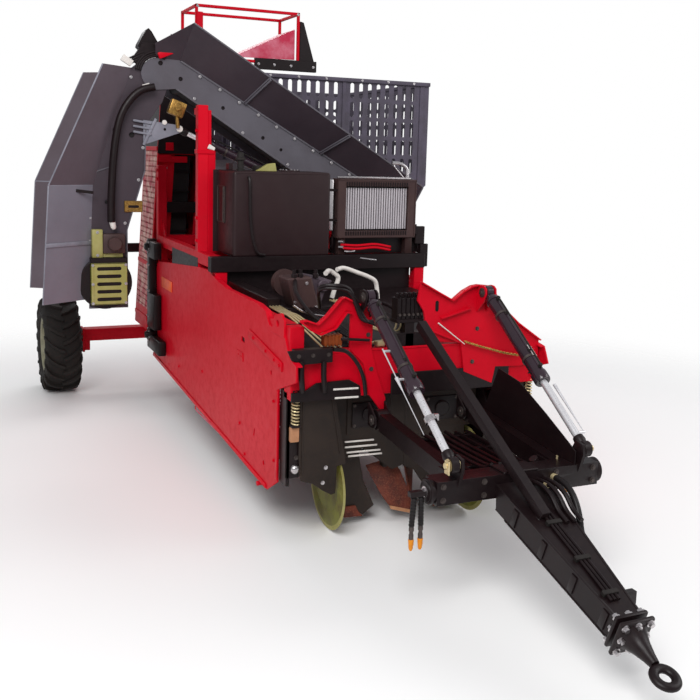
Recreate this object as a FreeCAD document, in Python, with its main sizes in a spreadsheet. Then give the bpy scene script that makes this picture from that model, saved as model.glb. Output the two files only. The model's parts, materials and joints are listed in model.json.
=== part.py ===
"""Trailed sugar beet harvester with bunker, built as a parametric FreeCAD document.

The machine faces -Y. X = 0 is its centre line, -X is its right-hand side, Z = 0 is the ground.
Every shape is then set back by mid_x and mid_y, so that the origin is the bottom centre of its box.
Lengths are in millimetres.
"""
import FreeCAD, Part
import math
import os
import re

import Sketcher

Vector = FreeCAD.Vector

# ---------------------------------------------------------------- driving dimensions
SIZES = {
    # wheels and axle
    "wheel_half_track": 1870, "wheel_y": 2310, "tyre_radius": 524, "tyre_width": 400,
    "tyre_corner": 70, "rim_radius": 290, "rim_width": 330, "rim_wall": 10, "rim_dish": 60,
    "hub_radius": 110, "hub_length": 190, "hub_flange_radius": 150, "hub_flange": 18,
    "stub_radius": 45, "run_clear": 0.05, "seat_clear": 0.3, "move_clear": 8,
    "axle_size": 160, "axle_half_length": 1600,
    # side panels and main frame
    "panel_half": 990, "panel_thick": 12, "panel_front_y": -2500, "panel_rear_y": 1490,
    "panel_front_low": 430, "panel_keel": 300, "panel_rear_low": 500, "panel_rear_high": 1530,
    "panel_top": 1700, "panel_top_y": -1050, "panel_nose_high": 1600, "cheek_front_y": -2830,
    "cheek_low": 1210, "cheek_high": 1350,
    "rail_wide": 100, "rail_high": 130, "rail_top": 1550, "rail_rear_y": 3250, "cross_deep": 120,
    "rear_rail_x": -470,
    "head_front_y": -2700, "head_deep": 140, "head_low": 1050, "head_high": 1370,
    "deck_low": 1700, "deck_high": 1810, "column_size": 90, "column_front_y": -260,
    "column_rear_y": 1330, "column_front_top": 3080, "column_rear_top": 2530, "column_x": 933,
    # drawbar and its cylinders
    "draw_hinge_y": -2790, "draw_hinge_z": 900, "draw_pin_radius": 25, "arm_x": 350, "arm_wide": 80,
    "arm_high": 120, "ear_thick": 20, "ear_radius": 70,
    "yoke_y": -3900, "yoke_z": 800, "yoke_half": 560, "yoke_size": 140,
    "tongue_slope": 20.5, "tongue_front_y": -4950, "tongue_front_z": 370, "tongue_wide": 150,
    "tongue_root_wide": 340, "tongue_high": 150,
    "flange_size": 210, "flange_thick": 25, "eye_reach": 300, "eye_radius": 85, "eye_bore": 25,
    "eye_thick": 42,
    "ram_x": 460, "ram_top_y": -2790, "ram_top_z": 1750, "ram_low_y": -3960, "ram_low_z": 960,
    "ram_barrel_radius": 48, "ram_barrel_length": 860, "ram_rod_radius": 24, "ram_eye_radius": 48,
    "ram_eye_wide": 50, "ram_pin_radius": 20, "ram_bore_radius": 40,
    # lifting unit
    "disc_x": 570, "disc_y": -2400, "disc_radius": 330, "disc_thick": 10, "disc_lift": 6,
    "disc_hub_radius": 60, "disc_shaft_radius": 20, "share_y": -2290, "share_long": 430,
    "share_high": 330, "share_thick": 12, "share_outer_x": 350, "share_inner_x": 90,
    "tool_bar_y": -2330, "tool_bar_z": 860, "tool_bar_size": 120,
    # sieve web
    "web_half": 860, "web_front_y": -1930, "web_front_z": 520, "web_rear_y": 1150,
    "web_rear_z": 1010, "web_roller": 110, "web_thick": 14, "web_rod": 9, "web_belt": 60,
    # tank, cooler, gearbox
    "tank_left_x": 40, "tank_right_x": -830, "tank_front_y": -880, "tank_rear_y": -380,
    "tank_high": 2530, "cooler_x": 120, "cooler_wide": 770, "cooler_front_y": -850,
    "cooler_deep": 130, "cooler_low": 1960, "cooler_high": 2480, "cooler_rim": 80,
    "gear_x": -560, "gear_y": -1790, "gear_long": 520, "gear_wide": 400, "gear_high": 360,
    # bunker and elevator
    "bunker_front_y": 670, "bunker_rear_y": 3100, "bunker_right_x": -350, "bunker_left_x": 1800,
    "bunker_high": 3470, "bunker_wall": 8, "floor_high": 2600, "floor_low": 2150,
    "floor_low_x": 900, "floor_far_x": 1500, "chamfer_high": 2380,
    "lift_front_y": 1490, "lift_rear_y": 2120, "lift_low": 780, "lift_high": 3640,
    "lift_low_x": -1060, "lift_lean": 180, "lift_wide": 480, "lift_wall": 10,
    "hood_right_x": -540, "hood_left_x": 620, "hood_high": 4200, "hood_bar": 60,
    # unloading conveyor
    "near_y": -50, "far_y": 550, "side_thick": 8, "fold_x": -1280, "fold_z": 3340,
    "fold_radius": 137, "inner_foot_x": 1250, "inner_top_z": 3471, "inner_low_z": 3218,
    "inner_top_slope": 0.5695, "inner_low_slope": 0.6295, "flare_out": 250, "flare_rise_high": 330,
    "flare_rise_low": 250,
    "outer_low": 1290, "knee_z": 2370, "outer_edge_top_x": -1787, "outer_edge_knee_x": -2237,
    "outer_edge_low_x": -2300,
    "fold_pin_x": -1080, "fold_pin_z": 2873, "fold_anchor_x": 250, "fold_anchor_z": 2290,
    "fold_barrel_radius": 40, "fold_barrel_length": 1180, "fold_rod_radius": 22,
    "fold_eye_radius": 40, "fold_pin_radius": 16, "fold_ram_y": 10,
    # hoses, coupler caps and chain
    "hose_radius": 10, "hose_exit_z": 780, "hose_end_z": 600, "coupler_radius": 17,
    "coupler_long": 85, "cap_long": 75, "boss_radius": 62, "boss_long": 40,
    "sleeve_radius": 20, "chain_radius": 8, "chain_y": -2745,
    # valve bank, row housings and guides
    "valve_x": -95, "valve_wide": 210, "valve_low": 1540, "valve_high": 1760,
    "housing_inner_x": 120, "housing_outer_x": 470, "housing_low": 610, "housing_high": 1070,
    "guide_x": 915, "guide_y": -2600, "guide_low": 620, "guide_radius": 26,
}

# Sizes and places that follow from the driving dimensions.
DERIVED = {
    "mid_x": "(wheel_half_track + tyre_width/2 + outer_edge_low_x)/2",
    "mid_y": "(rail_rear_y + light_deep + eye_tip_y)/2",
    "light_deep": "80",
    "eye_tip_y": "tongue_front_y - (eye_reach + eye_radius)*cos(tongue_slope)"
                 " - eye_thick/2*sin(tongue_slope)",
}

DOC = FreeCAD.newDocument("BeetHarvester")
SHEET = DOC.addObject("Spreadsheet::Sheet", "Sizes")
for row, (alias, number) in enumerate(SIZES.items(), start=1):
    SHEET.set("A%d" % row, alias)
    SHEET.set("B%d" % row, str(number))
    SHEET.setAlias("B%d" % row, alias)
DOC.recompute()

NAMES = re.compile(r"[A-Za-z_][A-Za-z_0-9]*")
EXPORTS = []


def bind(text):
    """Turn plain size names in a formula into references to the sheet's cells."""
    def swap(match):
        word = match.group(0)
        if word in DERIVED:
            return "(" + bind(DERIVED[word]) + ")"
        if word in SIZES:
            return "Sizes." + word
        return word
    return NAMES.sub(swap, str(text))


def value(text):
    """The number that a formula of size names gives now."""
    return float(SHEET.evalExpression(bind(text).replace("Sizes.", "")))


def points(*pairs):
    """The numbers of a list of formula pairs or triples."""
    return [tuple(value(part) for part in pair) for pair in pairs]


def length_formula(start, end):
    """The formula for the distance between two points given as formulas."""
    return "sqrt(" + " + ".join("((%s) - (%s))^2" % (b, a) for a, b in zip(start, end)) + ")"


def place(thing, base, rotation=None):
    """Bind a placement to formulas, counted from the machine's own datum."""
    if rotation is not None:
        thing.Placement = FreeCAD.Placement(Vector(0, 0, 0), rotation)
    offsets = ("mid_x", "mid_y", "0")
    for axis, formula, offset in zip("xyz", base, offsets):
        thing.setExpression("Placement.Base." + axis, bind("(%s) - (%s)" % (formula, offset)))
    return thing


def box(low, high):
    """An upright box between two corners."""
    thing = DOC.addObject("Part::Box", "Block")
    for name, a, b in zip(("Length", "Width", "Height"), low, high):
        thing.setExpression(name, bind("(%s) - (%s)" % (b, a)))
    return place(thing, low)


TURNS = {"x": FreeCAD.Rotation(Vector(0, 1, 0), 90), "y": FreeCAD.Rotation(Vector(1, 0, 0), -90),
         "z": FreeCAD.Rotation()}


def rod(start, radius, length, axis):
    """A round bar from a start point along X, Y or Z."""
    thing = DOC.addObject("Part::Cylinder", "Round")
    thing.setExpression("Radius", bind(radius))
    thing.setExpression("Height", bind(length))
    return place(thing, start, TURNS[axis])


def toward(start, end):
    """The turn that lays local Z along the line between two points, local X kept level."""
    a, b = points(start, end)
    line = (Vector(*b) - Vector(*a)).normalize()
    level = Vector(1, 0, 0) if abs(line.x) < 0.9 else Vector(0, 1, 0)
    side = level - line * level.dot(line)
    return FreeCAD.Rotation(side, Vector(0, 0, 0), line, "ZXY")


def bar(start, end, radius):
    """A round bar between two points."""
    thing = DOC.addObject("Part::Cylinder", "Bar")
    thing.setExpression("Radius", bind(radius))
    thing.setExpression("Height", bind(length_formula(start, end)))
    return place(thing, start, toward(start, end))


def tube_beam(start, end, wide, high):
    """A square beam whose middle line joins two points; its width stays level."""
    thing = DOC.addObject("Part::Box", "Beam")
    thing.setExpression("Length", bind(wide))
    thing.setExpression("Width", bind(high))
    thing.setExpression("Height", bind(length_formula(start, end)))
    turn = toward(start, end)
    place(thing, start, turn)
    shift = turn.multVec(Vector(-value(wide) / 2, -value(high) / 2, 0))
    for axis, formula, offset, move in zip("xyz", start, ("mid_x", "mid_y", "0"), shift):
        thing.setExpression("Placement.Base." + axis,
                            bind("(%s) - (%s) + (%.6f)" % (formula, offset, move)))
    return thing


PLANES = {"xy": ("XY_Plane", 2), "xz": ("XZ_Plane", 1), "yz": ("YZ_Plane", 0)}


def sketch(body, plane, outline, holes=()):
    """A closed sketch whose corners are bound to formulas, with round holes."""
    role = PLANES[plane][0]
    drawing = body.newObject("Sketcher::SketchObject", "Profile")
    origin = [f for f in body.Origin.OriginFeatures if f.Role == role][0]
    drawing.AttachmentSupport = [(origin, "")]
    drawing.MapMode = "FlatFace"
    corners = points(*outline)
    count = len(corners)
    for index in range(count):
        a, b = corners[index], corners[(index + 1) % count]
        drawing.addGeometry(Part.LineSegment(Vector(*a, 0), Vector(*b, 0)), False)
    for index in range(count):
        drawing.addConstraint(Sketcher.Constraint("Coincident", index, 2, (index + 1) % count, 1))
    for index, (across, up) in enumerate(outline):
        pin_point(drawing, index, 1, across, up)
    for middle, radius in holes:
        spot = points(middle)[0]
        circle = Part.Circle(Vector(*spot, 0), Vector(0, 0, 1), value(radius))
        index = drawing.addGeometry(circle, False)
        number = drawing.addConstraint(Sketcher.Constraint("Radius", index, value(radius)))
        drawing.setExpression("Constraints[%d]" % number, bind(radius))
        pin_point(drawing, index, 3, *middle)
    return drawing


def pin_point(drawing, index, corner, across, up):
    """Fix one sketch point at the place that two formulas give."""
    for kind, formula in (("DistanceX", across), ("DistanceY", up)):
        number = drawing.addConstraint(
            Sketcher.Constraint(kind, -1, 1, index, corner, value(formula)))
        drawing.setExpression("Constraints[%d]" % number, bind(formula))


def plate(plane, outline, start, thick, holes=()):
    """A flat plate: an outline on a plane, from start along the third axis."""
    body = DOC.addObject("PartDesign::Body", "Plate")
    drawing = sketch(body, plane, outline, holes)
    pad = body.newObject("PartDesign::Pad", "Pad")
    pad.Profile = drawing
    pad.setExpression("Length", bind(thick))
    pad.Reversed = plane == "xz"
    base = ["0", "0", "0"]
    base[PLANES[plane][1]] = start
    return place(body, base)


def turned(outline, x_start, y_middle, z_middle, flip=False):
    """A piece turned about X: the outline gives (distance along X, radius)."""
    body = DOC.addObject("PartDesign::Body", "Turned")
    drawing = sketch(body, "xy", outline)
    turn = body.newObject("PartDesign::Revolution", "Turn")
    turn.Profile = drawing
    turn.ReferenceAxis = (drawing, ["H_Axis"])
    turn.Angle = 360
    rotation = FreeCAD.Rotation(Vector(0, 0, 1), 180) if flip else None
    return place(body, (x_start, y_middle, z_middle), rotation)


def hose(name, route, radius):
    """A tube along straight runs, joined by arcs as large as the runs allow; prints their radii."""
    shift = Vector(-value("mid_x"), -value("mid_y"), 0)
    spots = [Vector(*spot) + shift for spot in points(*route)]
    edges, last, bends = [], spots[0], []
    for before, corner, after in zip(spots, spots[1:], spots[2:]):
        back, ahead = before - corner, after - corner
        half_turn = (math.pi - back.getAngle(ahead)) / 2
        reach = 0.45 * min(back.Length, ahead.Length)
        bend = reach / math.tan(half_turn)
        first = corner + back.normalize() * reach
        second = corner + ahead.normalize() * reach
        inward = (back + ahead).normalize()
        middle = corner + inward * (bend / math.cos(half_turn) - bend)
        edges.append(Part.LineSegment(last, first).toShape())
        edges.append(Part.Arc(first, middle, second).toShape())
        last = second
        bends.append(round(bend))
    edges.append(Part.LineSegment(last, spots[-1]).toShape())
    path = Part.Wire(edges)
    size = value(radius)
    ring = Part.Wire([Part.makeCircle(size, spots[0], spots[1] - spots[0])])
    thing = DOC.addObject("Part::Feature", "Hose")
    thing.Shape = path.makePipeShell([ring], True, False)
    share = thing.Shape.Volume / (math.pi * size * size * path.Length)
    print("%s: length %.0f, arc radii %s, volume share %.4f" % (name, path.Length, bends, share))
    piece(name, thing)


def joined(kind, things):
    """Several shapes as one object: a fusion or a loose group."""
    if len(things) == 1:
        return things[0]
    name = {"fuse": "Part::MultiFuse", "group": "Part::Compound"}[kind]
    thing = DOC.addObject(name, "Joined")
    if kind == "fuse":
        thing.Shapes = things
        thing.Refine = True
    else:
        thing.Links = things
    return thing


def less(base, *tools):
    """A shape with others cut out of it."""
    thing = DOC.addObject("Part::Cut", "Cut")
    thing.Base = base
    thing.Tool = joined("group", list(tools))
    return thing


def piece(node, *things, kind="fuse"):
    """Name a finished sub-part; its label is its file's name."""
    thing = joined(kind, list(things))
    thing.Label = node
    EXPORTS.append(thing)
    return thing


def both_sides(side):
    """The sign of a side, as a formula."""
    return {"right": "-1", "left": "1"}[side]


# ---------------------------------------------------------------- wheels and axle
def wheels():
    """The cross axle with its stub axles, and a hub, rim and tyre on each side."""
    half = "axle_half_length"
    beam = box(("-%s" % half, "wheel_y - axle_size/2", "tyre_radius - axle_size/2"),
               (half, "wheel_y + axle_size/2", "tyre_radius + axle_size/2"))
    stub_end = "wheel_half_track + 40"
    pieces = [beam]
    for sign in ("-1", "1"):
        start = half if sign == "1" else "-(%s)" % stub_end
        pieces.append(rod((start, "wheel_y", "tyre_radius"), "stub_radius",
                          "%s - %s" % (stub_end, half), "x"))
        post = "rear_rail_x" if sign == "-1" else "panel_half - panel_thick - rail_wide/2"
        pieces.append(box((post + " - 60", "wheel_y - 60", "tyre_radius + axle_size/2 - 20"),
                          (post + " + 60", "wheel_y + 60", "rail_top - rail_high")))
    piece("axle_beam", *pieces)
    bore = "stub_radius + run_clear"
    edge = "tyre_width/2"
    corner = "tyre_corner"
    for side, flip in (("right", True), ("left", False)):
        middle = "wheel_half_track" if side == "left" else "-wheel_half_track"
        spot = (middle, "wheel_y", "tyre_radius")
        tread = [("-%s" % edge, "rim_radius + 40"), ("-rim_width/2", "rim_radius"),
                 ("rim_width/2", "rim_radius"), (edge, "rim_radius + 40"),
                 (edge, "tyre_radius - %s" % corner), ("%s - %s/2" % (edge, corner), "tyre_radius"),
                 ("-%s + %s/2" % (edge, corner), "tyre_radius"),
                 ("-%s" % edge, "tyre_radius - %s" % corner)]
        piece("tyre_" + side, turned(tread, *spot, flip=flip))
        rim_out = "rim_radius - 0.3"
        dish = [("-rim_width/2", rim_out), ("-rim_width/2", "rim_radius - 0.3 - rim_wall - 15"),
                ("rim_dish - rim_wall", "rim_radius - 0.3 - rim_wall - 15"),
                ("rim_dish - rim_wall", "hub_radius*0.7"), ("rim_dish", "hub_radius*0.7"),
                ("rim_dish", "rim_radius - 0.3 - rim_wall - 15"),
                ("rim_width/2", "rim_radius - 0.3 - rim_wall - 15"), ("rim_width/2", rim_out)]
        piece("rim_" + side, turned(dish, *spot, flip=flip))
        face = "rim_dish - rim_wall"
        hub = [("%s - hub_length" % face, bore), ("%s - hub_length" % face, "hub_radius*0.8"),
               ("%s - hub_flange" % face, "hub_radius*0.8"),
               ("%s - hub_flange" % face, "hub_flange_radius"), (face, "hub_flange_radius"),
               (face, "hub_radius*0.7 - 0.5"), ("%s + 60" % face, "hub_radius*0.7 - 0.5"),
               ("%s + 60" % face, "0"), ("50", "0"), ("50", bore)]
        piece("hub_" + side, turned(hub, *spot, flip=flip))


# ---------------------------------------------------------------- frame
DECK_FRONT = "tank_front_y + 45"


def panel_outline():
    """The side panel's outline along Y and Z, from its keel round to its nose."""
    return [("panel_front_y", "panel_front_low"), ("panel_front_y + 220", "panel_keel"),
            ("panel_rear_y", "panel_rear_low"), ("panel_rear_y - 60", "panel_rear_high - 60"),
            ("panel_rear_y - 280", "panel_rear_high + 20"), ("panel_top_y", "panel_top"),
            ("panel_front_y + 40", "panel_nose_high"), ("cheek_front_y", "cheek_high"),
            ("cheek_front_y", "cheek_low"), ("panel_front_y", "cheek_low - 120")]


def frame():
    """Side panels, rails, cross members, deck and columns."""
    piece("side_panel_right", plate("yz", panel_outline(), "-panel_half", "panel_thick"))
    piece("side_panel_left",
          plate("yz", panel_outline(), "panel_half - panel_thick", "panel_thick"))
    inner = "panel_half - panel_thick"
    rails = []
    for sign in ("-1", "1"):
        low_x = "-(%s)" % inner if sign == "-1" else "%s - rail_wide" % inner
        high_x = "-(%s) + rail_wide" % inner if sign == "-1" else inner
        rear = "panel_rear_y" if sign == "-1" else "rail_rear_y"
        rails.append(box((low_x, "head_front_y + head_deep - 10", "rail_top - rail_high"),
                         (high_x, rear, "rail_top")))
        for y in (DECK_FRONT, "column_front_y", "column_rear_y"):
            rails.append(box((low_x, "%s - 45" % y, "rail_top - 5"),
                             (high_x, "%s + 45" % y, "deck_low + 5")))
    for y in ("gear_y - 200", "gear_y + 200", "panel_rear_y - 90"):
        rails.append(box(("-(%s) + 5" % inner, y, "rail_top - rail_high + 10"),
                         ("%s - 5" % inner, "%s + 80" % y, "rail_top - 10")))
    rails.append(box(("rear_rail_x - rail_wide/2", "panel_rear_y - 50", "rail_top - rail_high"),
                     ("rear_rail_x + rail_wide/2", "rail_rear_y", "rail_top")))
    rails.append(box(("rear_rail_x", "rail_rear_y - cross_deep", "rail_top - rail_high + 10"),
                     ("%s - 5" % inner, "rail_rear_y - cross_deep + 80", "rail_top - 10")))
    piece("main_frame", *rails)
    span = inner
    head = box(("-(%s)" % span, "head_front_y", "head_low"),
               (span, "head_front_y + head_deep", "head_high"))
    up = box(("-(%s)" % span, "head_front_y + 20", "head_high - 5"),
             ("-(%s) + rail_wide" % span, "head_front_y + head_deep", "rail_top"))
    up_left = box(("%s - rail_wide" % span, "head_front_y + 20", "head_high - 5"),
                  (span, "head_front_y + head_deep", "rail_top"))
    piece("headstock", less(joined("fuse", [head, up, up_left]),
                            box(("-(%s) - 1" % span, "head_front_y + head_deep - 10", "head_low - 1"),
                                ("%s + 1" % span, "head_front_y + head_deep + 1", "rail_top + 1"))))
    deck = []
    for y in (DECK_FRONT, "column_front_y", "column_rear_y"):
        deck.append(box(("-(%s)" % inner, "%s - 45" % y, "deck_low + 5"),
                        (inner, "%s + 45" % y, "deck_high")))
    for sign in ("-1", "1"):
        deck.append(box(("%s*column_x - 45" % sign, "tank_front_y", "deck_low + 5"),
                        ("%s*column_x + 45" % sign, "column_rear_y", "deck_high")))
        deck.append(box(("%s*column_x - 45" % sign, "column_rear_y - 45", "deck_high - 5"),
                        ("%s*column_x + 45" % sign, "column_rear_y + 45",
                         "column_rear_top" if sign == "-1" else "floor_low")))
    deck.append(box(("-column_x - 45", "column_front_y - 45", "deck_high - 5"),
                    ("-column_x + 45", "column_front_y + 45", "column_front_top")))
    piece("deck_frame", *deck)
    cradle = []
    for y in ("column_rear_y + 45", "bunker_rear_y - 250"):
        start = "-column_x + 45" if y.startswith("column") else "rear_rail_x - 45"
        cradle.append(box((start, y, "floor_low - 110"),
                          ("bunker_left_x - 310", "%s + 90" % y, "floor_low")))
    for x in ("rear_rail_x", "column_x"):
        cradle.append(box(("%s - 45" % x, "bunker_rear_y - 250", "rail_top"),
                          ("%s + 45" % x, "bunker_rear_y - 160", "floor_low - 10")))
    cradle.append(box(("bunker_left_x - 400", "column_rear_y + 45", "floor_low - 109"),
                      ("bunker_left_x - 311", "bunker_rear_y - 160", "floor_low - 1")))
    piece("bunker_cradle", *cradle)


CHAIN_ENDS = [("296", "1402"), ("800", "1265")]


def bracket(side):
    """The splayed gusset and the two pairs of ears that carry one lift cylinder and the drawbar."""
    sign = both_sides(side)
    outline = [("968", "1560"), ("590", "1800"), ("400", "1800"), ("375", "1700"), ("290", "860"),
               ("410", "860"), ("500", "1380"), ("540", "1620"), ("900", "1440"), ("968", "1440")]
    if side == "right":
        outline = [("-" + x, z) for x, z in outline]
    web = plate("xz", outline, "head_front_y - 20", "20")
    parts = [web]
    for offset in ("-(ram_eye_wide/2 + 6 + 16)", "ram_eye_wide/2 + 6"):
        x = "%s*ram_x + %s" % (sign, offset)
        ear = [("head_front_y - 15", "ram_top_z - 90"), ("ram_top_y", "ram_top_z - 55"),
               ("ram_top_y - 45", "ram_top_z - 30"), ("ram_top_y - 45", "ram_top_z + 30"),
               ("ram_top_y", "ram_top_z + 50"), ("head_front_y - 15", "ram_top_z + 50")]
        parts.append(plate("yz", ear, x, "16"))
    parts.append(rod(("%s*ram_x - ram_eye_wide/2 - 30" % sign, "ram_top_y", "ram_top_z"),
                     "ram_pin_radius", "ram_eye_wide + 60", "x"))
    for offset in ("-(arm_wide/2 + 6 + ear_thick)", "arm_wide/2 + 6"):
        x = "%s*arm_x + %s" % (sign, offset)
        ear = [("head_front_y - 15", "draw_hinge_z - 60"),
               ("draw_hinge_y", "draw_hinge_z - ear_radius"),
               ("draw_hinge_y - 50", "draw_hinge_z - 50"),
               ("draw_hinge_y - ear_radius", "draw_hinge_z"),
               ("draw_hinge_y - 50", "draw_hinge_z + 50"), ("head_front_y - 15", "head_high - 60")]
        parts.append(plate("yz", ear, x, "ear_thick"))
    parts.append(rod(("%s*arm_x - arm_wide/2 - 40" % sign, "draw_hinge_y", "draw_hinge_z"),
                     "draw_pin_radius", "arm_wide + 80", "x"))
    if side == "left":
        for x, z in CHAIN_ENDS:
            knob = DOC.addObject("Part::Sphere", "Knob")
            knob.Radius = 14
            parts.append(place(knob, (x, "chain_y", z)))
            parts.append(rod((x, "chain_y", z), "8", "head_front_y - chain_y", "y"))
        x, z = CHAIN_ENDS[0]
        parts.append(rod((x, "head_front_y - 10", z), "8", "70", "x"))
    piece("cylinder_bracket_" + side, *parts)


def stay_chain():
    """The short chain across the left bracket, as one tube from eye to eye."""
    (x0, z0), (x1, z1) = CHAIN_ENDS
    hose("stay_chain", [("%s + 14*cos(15)" % x0, "chain_y", "%s - 14*sin(15)" % z0),
                        ("%s + 118" % x0, "chain_y - 1", "%s - 40" % z0),
                        ("%s + 248" % x0, "chain_y - 3", "%s - 76" % z0),
                        ("%s - 132" % x1, "chain_y - 1", "%s + 23" % z1),
                        ("%s - 14*cos(10)" % x1, "chain_y", "%s + 14*sin(10)" % z1)], "chain_radius")


# ---------------------------------------------------------------- drawbar
def drawbar():
    """Two arms, the cross yoke and the tapered tongue, with the bolted towing eye."""
    parts = []
    for sign in ("-1", "1"):
        x = "%s*arm_x" % sign
        arm = tube_beam((x, "draw_hinge_y - 60", "draw_hinge_z - 5"), (x, "yoke_y", "yoke_z"),
                        "arm_wide", "arm_high")
        boss = rod(("%s - arm_wide/2" % x, "draw_hinge_y", "draw_hinge_z"), "ear_radius",
                   "arm_wide", "x")
        hole = rod(("%s - arm_wide/2 - 1" % x, "draw_hinge_y", "draw_hinge_z"),
                   "draw_pin_radius + run_clear", "arm_wide + 2", "x")
        parts.append(less(joined("fuse", [arm, boss]), hole))
    parts.append(box(("-yoke_half", "yoke_y - yoke_size/2", "yoke_z - yoke_size/2"),
                     ("yoke_half", "yoke_y + yoke_size/2", "yoke_z + yoke_size/2")))
    for side in ("right", "left"):
        sign = both_sides(side)
        inboard = "ram_eye_wide/2 + 6"
        low = "%s*ram_x - (%s) - 20" % (sign, inboard) if side == "left" \
            else "-ram_x + %s" % inboard
        ear = [("yoke_y + 60", "yoke_z + yoke_size/2 - 10"), ("yoke_y - 70", "yoke_z + 20"),
               ("ram_low_y - 50", "ram_low_z - 20"), ("ram_low_y - 40", "ram_low_z + 40"),
               ("ram_low_y + 30", "ram_low_z + 50")]
        parts.append(plate("yz", ear, low, "20"))
        start = "-yoke_half - boss_long" if side == "right" else "yoke_half - 10"
        parts.append(rod((start, "yoke_y", "yoke_z"), "boss_radius", "boss_long + 10", "x"))
    parts.append(bar(("arm_x - 150", "yoke_y + 100", "yoke_z + 80"),
                     ("arm_x + 70", "yoke_y + 100", "yoke_z - 283"), "28"))
    parts.append(box(("-yoke_half - boss_long - 100", "yoke_y - 20", "hose_exit_z"),
                     ("-yoke_half - boss_long + 10", "yoke_y + 20", "hose_exit_z + 30")))
    parts.append(rod(("230", "yoke_y - yoke_size/2 - 25", "yoke_z + 15"), "20", "40", "y"))
    piece("drawbar_frame", *parts)
    tongue()
    drawbar_hoses()


def drawbar_hoses():
    """Two hanging hoses with their capped couplers, and the sleeved hose beside the tongue."""
    for name, x, lean in (("a", "-yoke_half - boss_long - 70", "-1"),
                          ("b", "-yoke_half - boss_long - 25", "0.4")):
        hose("coupler_hose_" + name, [(x, "yoke_y", "hose_exit_z"),
                                      (x, "yoke_y", "hose_exit_z - 60"),
                                      ("%s + 10*(%s)" % (x, lean), "yoke_y - 3", "hose_exit_z - 122"),
                                      ("%s + 10*(%s)" % (x, lean), "yoke_y - 3", "hose_end_z")],
             "hose_radius")
        foot = ("%s + 10*(%s)" % (x, lean), "yoke_y - 3")
        body = rod((foot[0], foot[1], "hose_end_z - coupler_long"), "coupler_radius - 3",
                   "coupler_long", "z")
        cap = rod((foot[0], foot[1], "hose_end_z - coupler_long - cap_long"), "coupler_radius",
                  "cap_long + 5", "z")
        piece("coupler_cap_" + name, body, cap)
    side = "tongue_wide/2 + 50"
    hose("tongue_hose", [("230", "yoke_y - yoke_size/2 - 25", "yoke_z + 15"),
                         ("230", "yoke_y - 190", "yoke_z + 15"),
                         ("222", "yoke_y - 285", "yoke_z - 29"),
                         ("212", "yoke_y - 355", "yoke_z - 113"),
                         ("203", "yoke_y - 398", "yoke_z - 220"),
                         ("194", "yoke_y - 472", "yoke_z - 308"),
                         ("176", "yoke_y - 579", "yoke_z - 351"),
                         ("154", "yoke_y - 684", "yoke_z - 358"),
                         (side, "yoke_y - 790", "yoke_z - 342"),
                         (side, "yoke_y - 890", "yoke_z - 342")], "sleeve_radius")


def tongue():
    """The tapered tongue, its end flange and the towing eye."""
    slope = value("tongue_slope")
    turn = FreeCAD.Rotation(Vector(1, 0, 0), slope)
    body = DOC.addObject("PartDesign::Body", "Tongue")
    root = "(yoke_y - yoke_size/2 - tongue_front_y)/cos(tongue_slope) + 30"
    outline = [("-tongue_wide/2", "0"), ("tongue_wide/2", "0"), ("tongue_root_wide/2", root),
               ("-tongue_root_wide/2", root)]
    drawing = sketch(body, "xy", outline)
    pad = body.newObject("PartDesign::Pad", "Pad")
    pad.Profile = drawing
    pad.setExpression("Length", bind("tongue_high"))
    pad.Midplane = True
    place(body, ("0", "tongue_front_y", "tongue_front_z"), turn)
    yoke = box(("-yoke_half", "yoke_y - yoke_size/2", "yoke_z - yoke_size"),
               ("yoke_half", "yoke_y + yoke_size", "yoke_z + yoke_size"))
    carrier = tube_beam(("-50", "yoke_y - 390", "yoke_z - 78"), ("-153", "yoke_y + 950", "yoke_z + 781"),
                        "60", "60")
    clamp = box(("tongue_wide/2 - 10", "yoke_y - 930", "yoke_z - 377"),
                ("tongue_wide/2 + 80", "yoke_y - 890", "yoke_z - 307"))
    piece("tongue", less(body, yoke), carrier, clamp)
    eye_parts = []
    flange = DOC.addObject("Part::Box", "Flange")
    for name, formula in (("Length", "flange_size"), ("Width", "2*flange_thick"),
                          ("Height", "flange_size")):
        flange.setExpression(name, bind(formula))
    local = [(flange, ("-flange_size/2", "-2*flange_thick", "-flange_size/2"), FreeCAD.Rotation())]
    shank = DOC.addObject("Part::Cone", "Shank")
    shank.setExpression("Radius1", bind("flange_size*0.36"))
    shank.setExpression("Radius2", bind("eye_thick*0.6"))
    shank.setExpression("Height", bind("eye_reach - 2*flange_thick - eye_radius*0.6"))
    local.append((shank, ("0", "-2*flange_thick", "0"), FreeCAD.Rotation(Vector(1, 0, 0), 90)))
    ring = DOC.addObject("Part::Cylinder", "Ring")
    ring.setExpression("Radius", bind("eye_radius"))
    ring.setExpression("Height", bind("eye_thick"))
    local.append((ring, ("0", "-eye_reach", "-eye_thick/2"), FreeCAD.Rotation()))
    hole = DOC.addObject("Part::Cylinder", "EyeBore")
    hole.setExpression("Radius", bind("eye_bore"))
    hole.setExpression("Height", bind("eye_thick*4"))
    local.append((hole, ("0", "-eye_reach", "-eye_thick*2"), FreeCAD.Rotation()))
    for thing, spot, own in local:
        x, y, z = points(spot)[0]
        moved = turn.multVec(Vector(x, y, z))
        place(thing, ("0 + (%.6f)" % moved.x, "tongue_front_y + (%.6f)" % moved.y,
                      "tongue_front_z + (%.6f)" % moved.z), turn.multiply(own))
        eye_parts.append(thing)
    piece("tow_eye", less(joined("fuse", eye_parts[:3]), eye_parts[3]))


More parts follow.
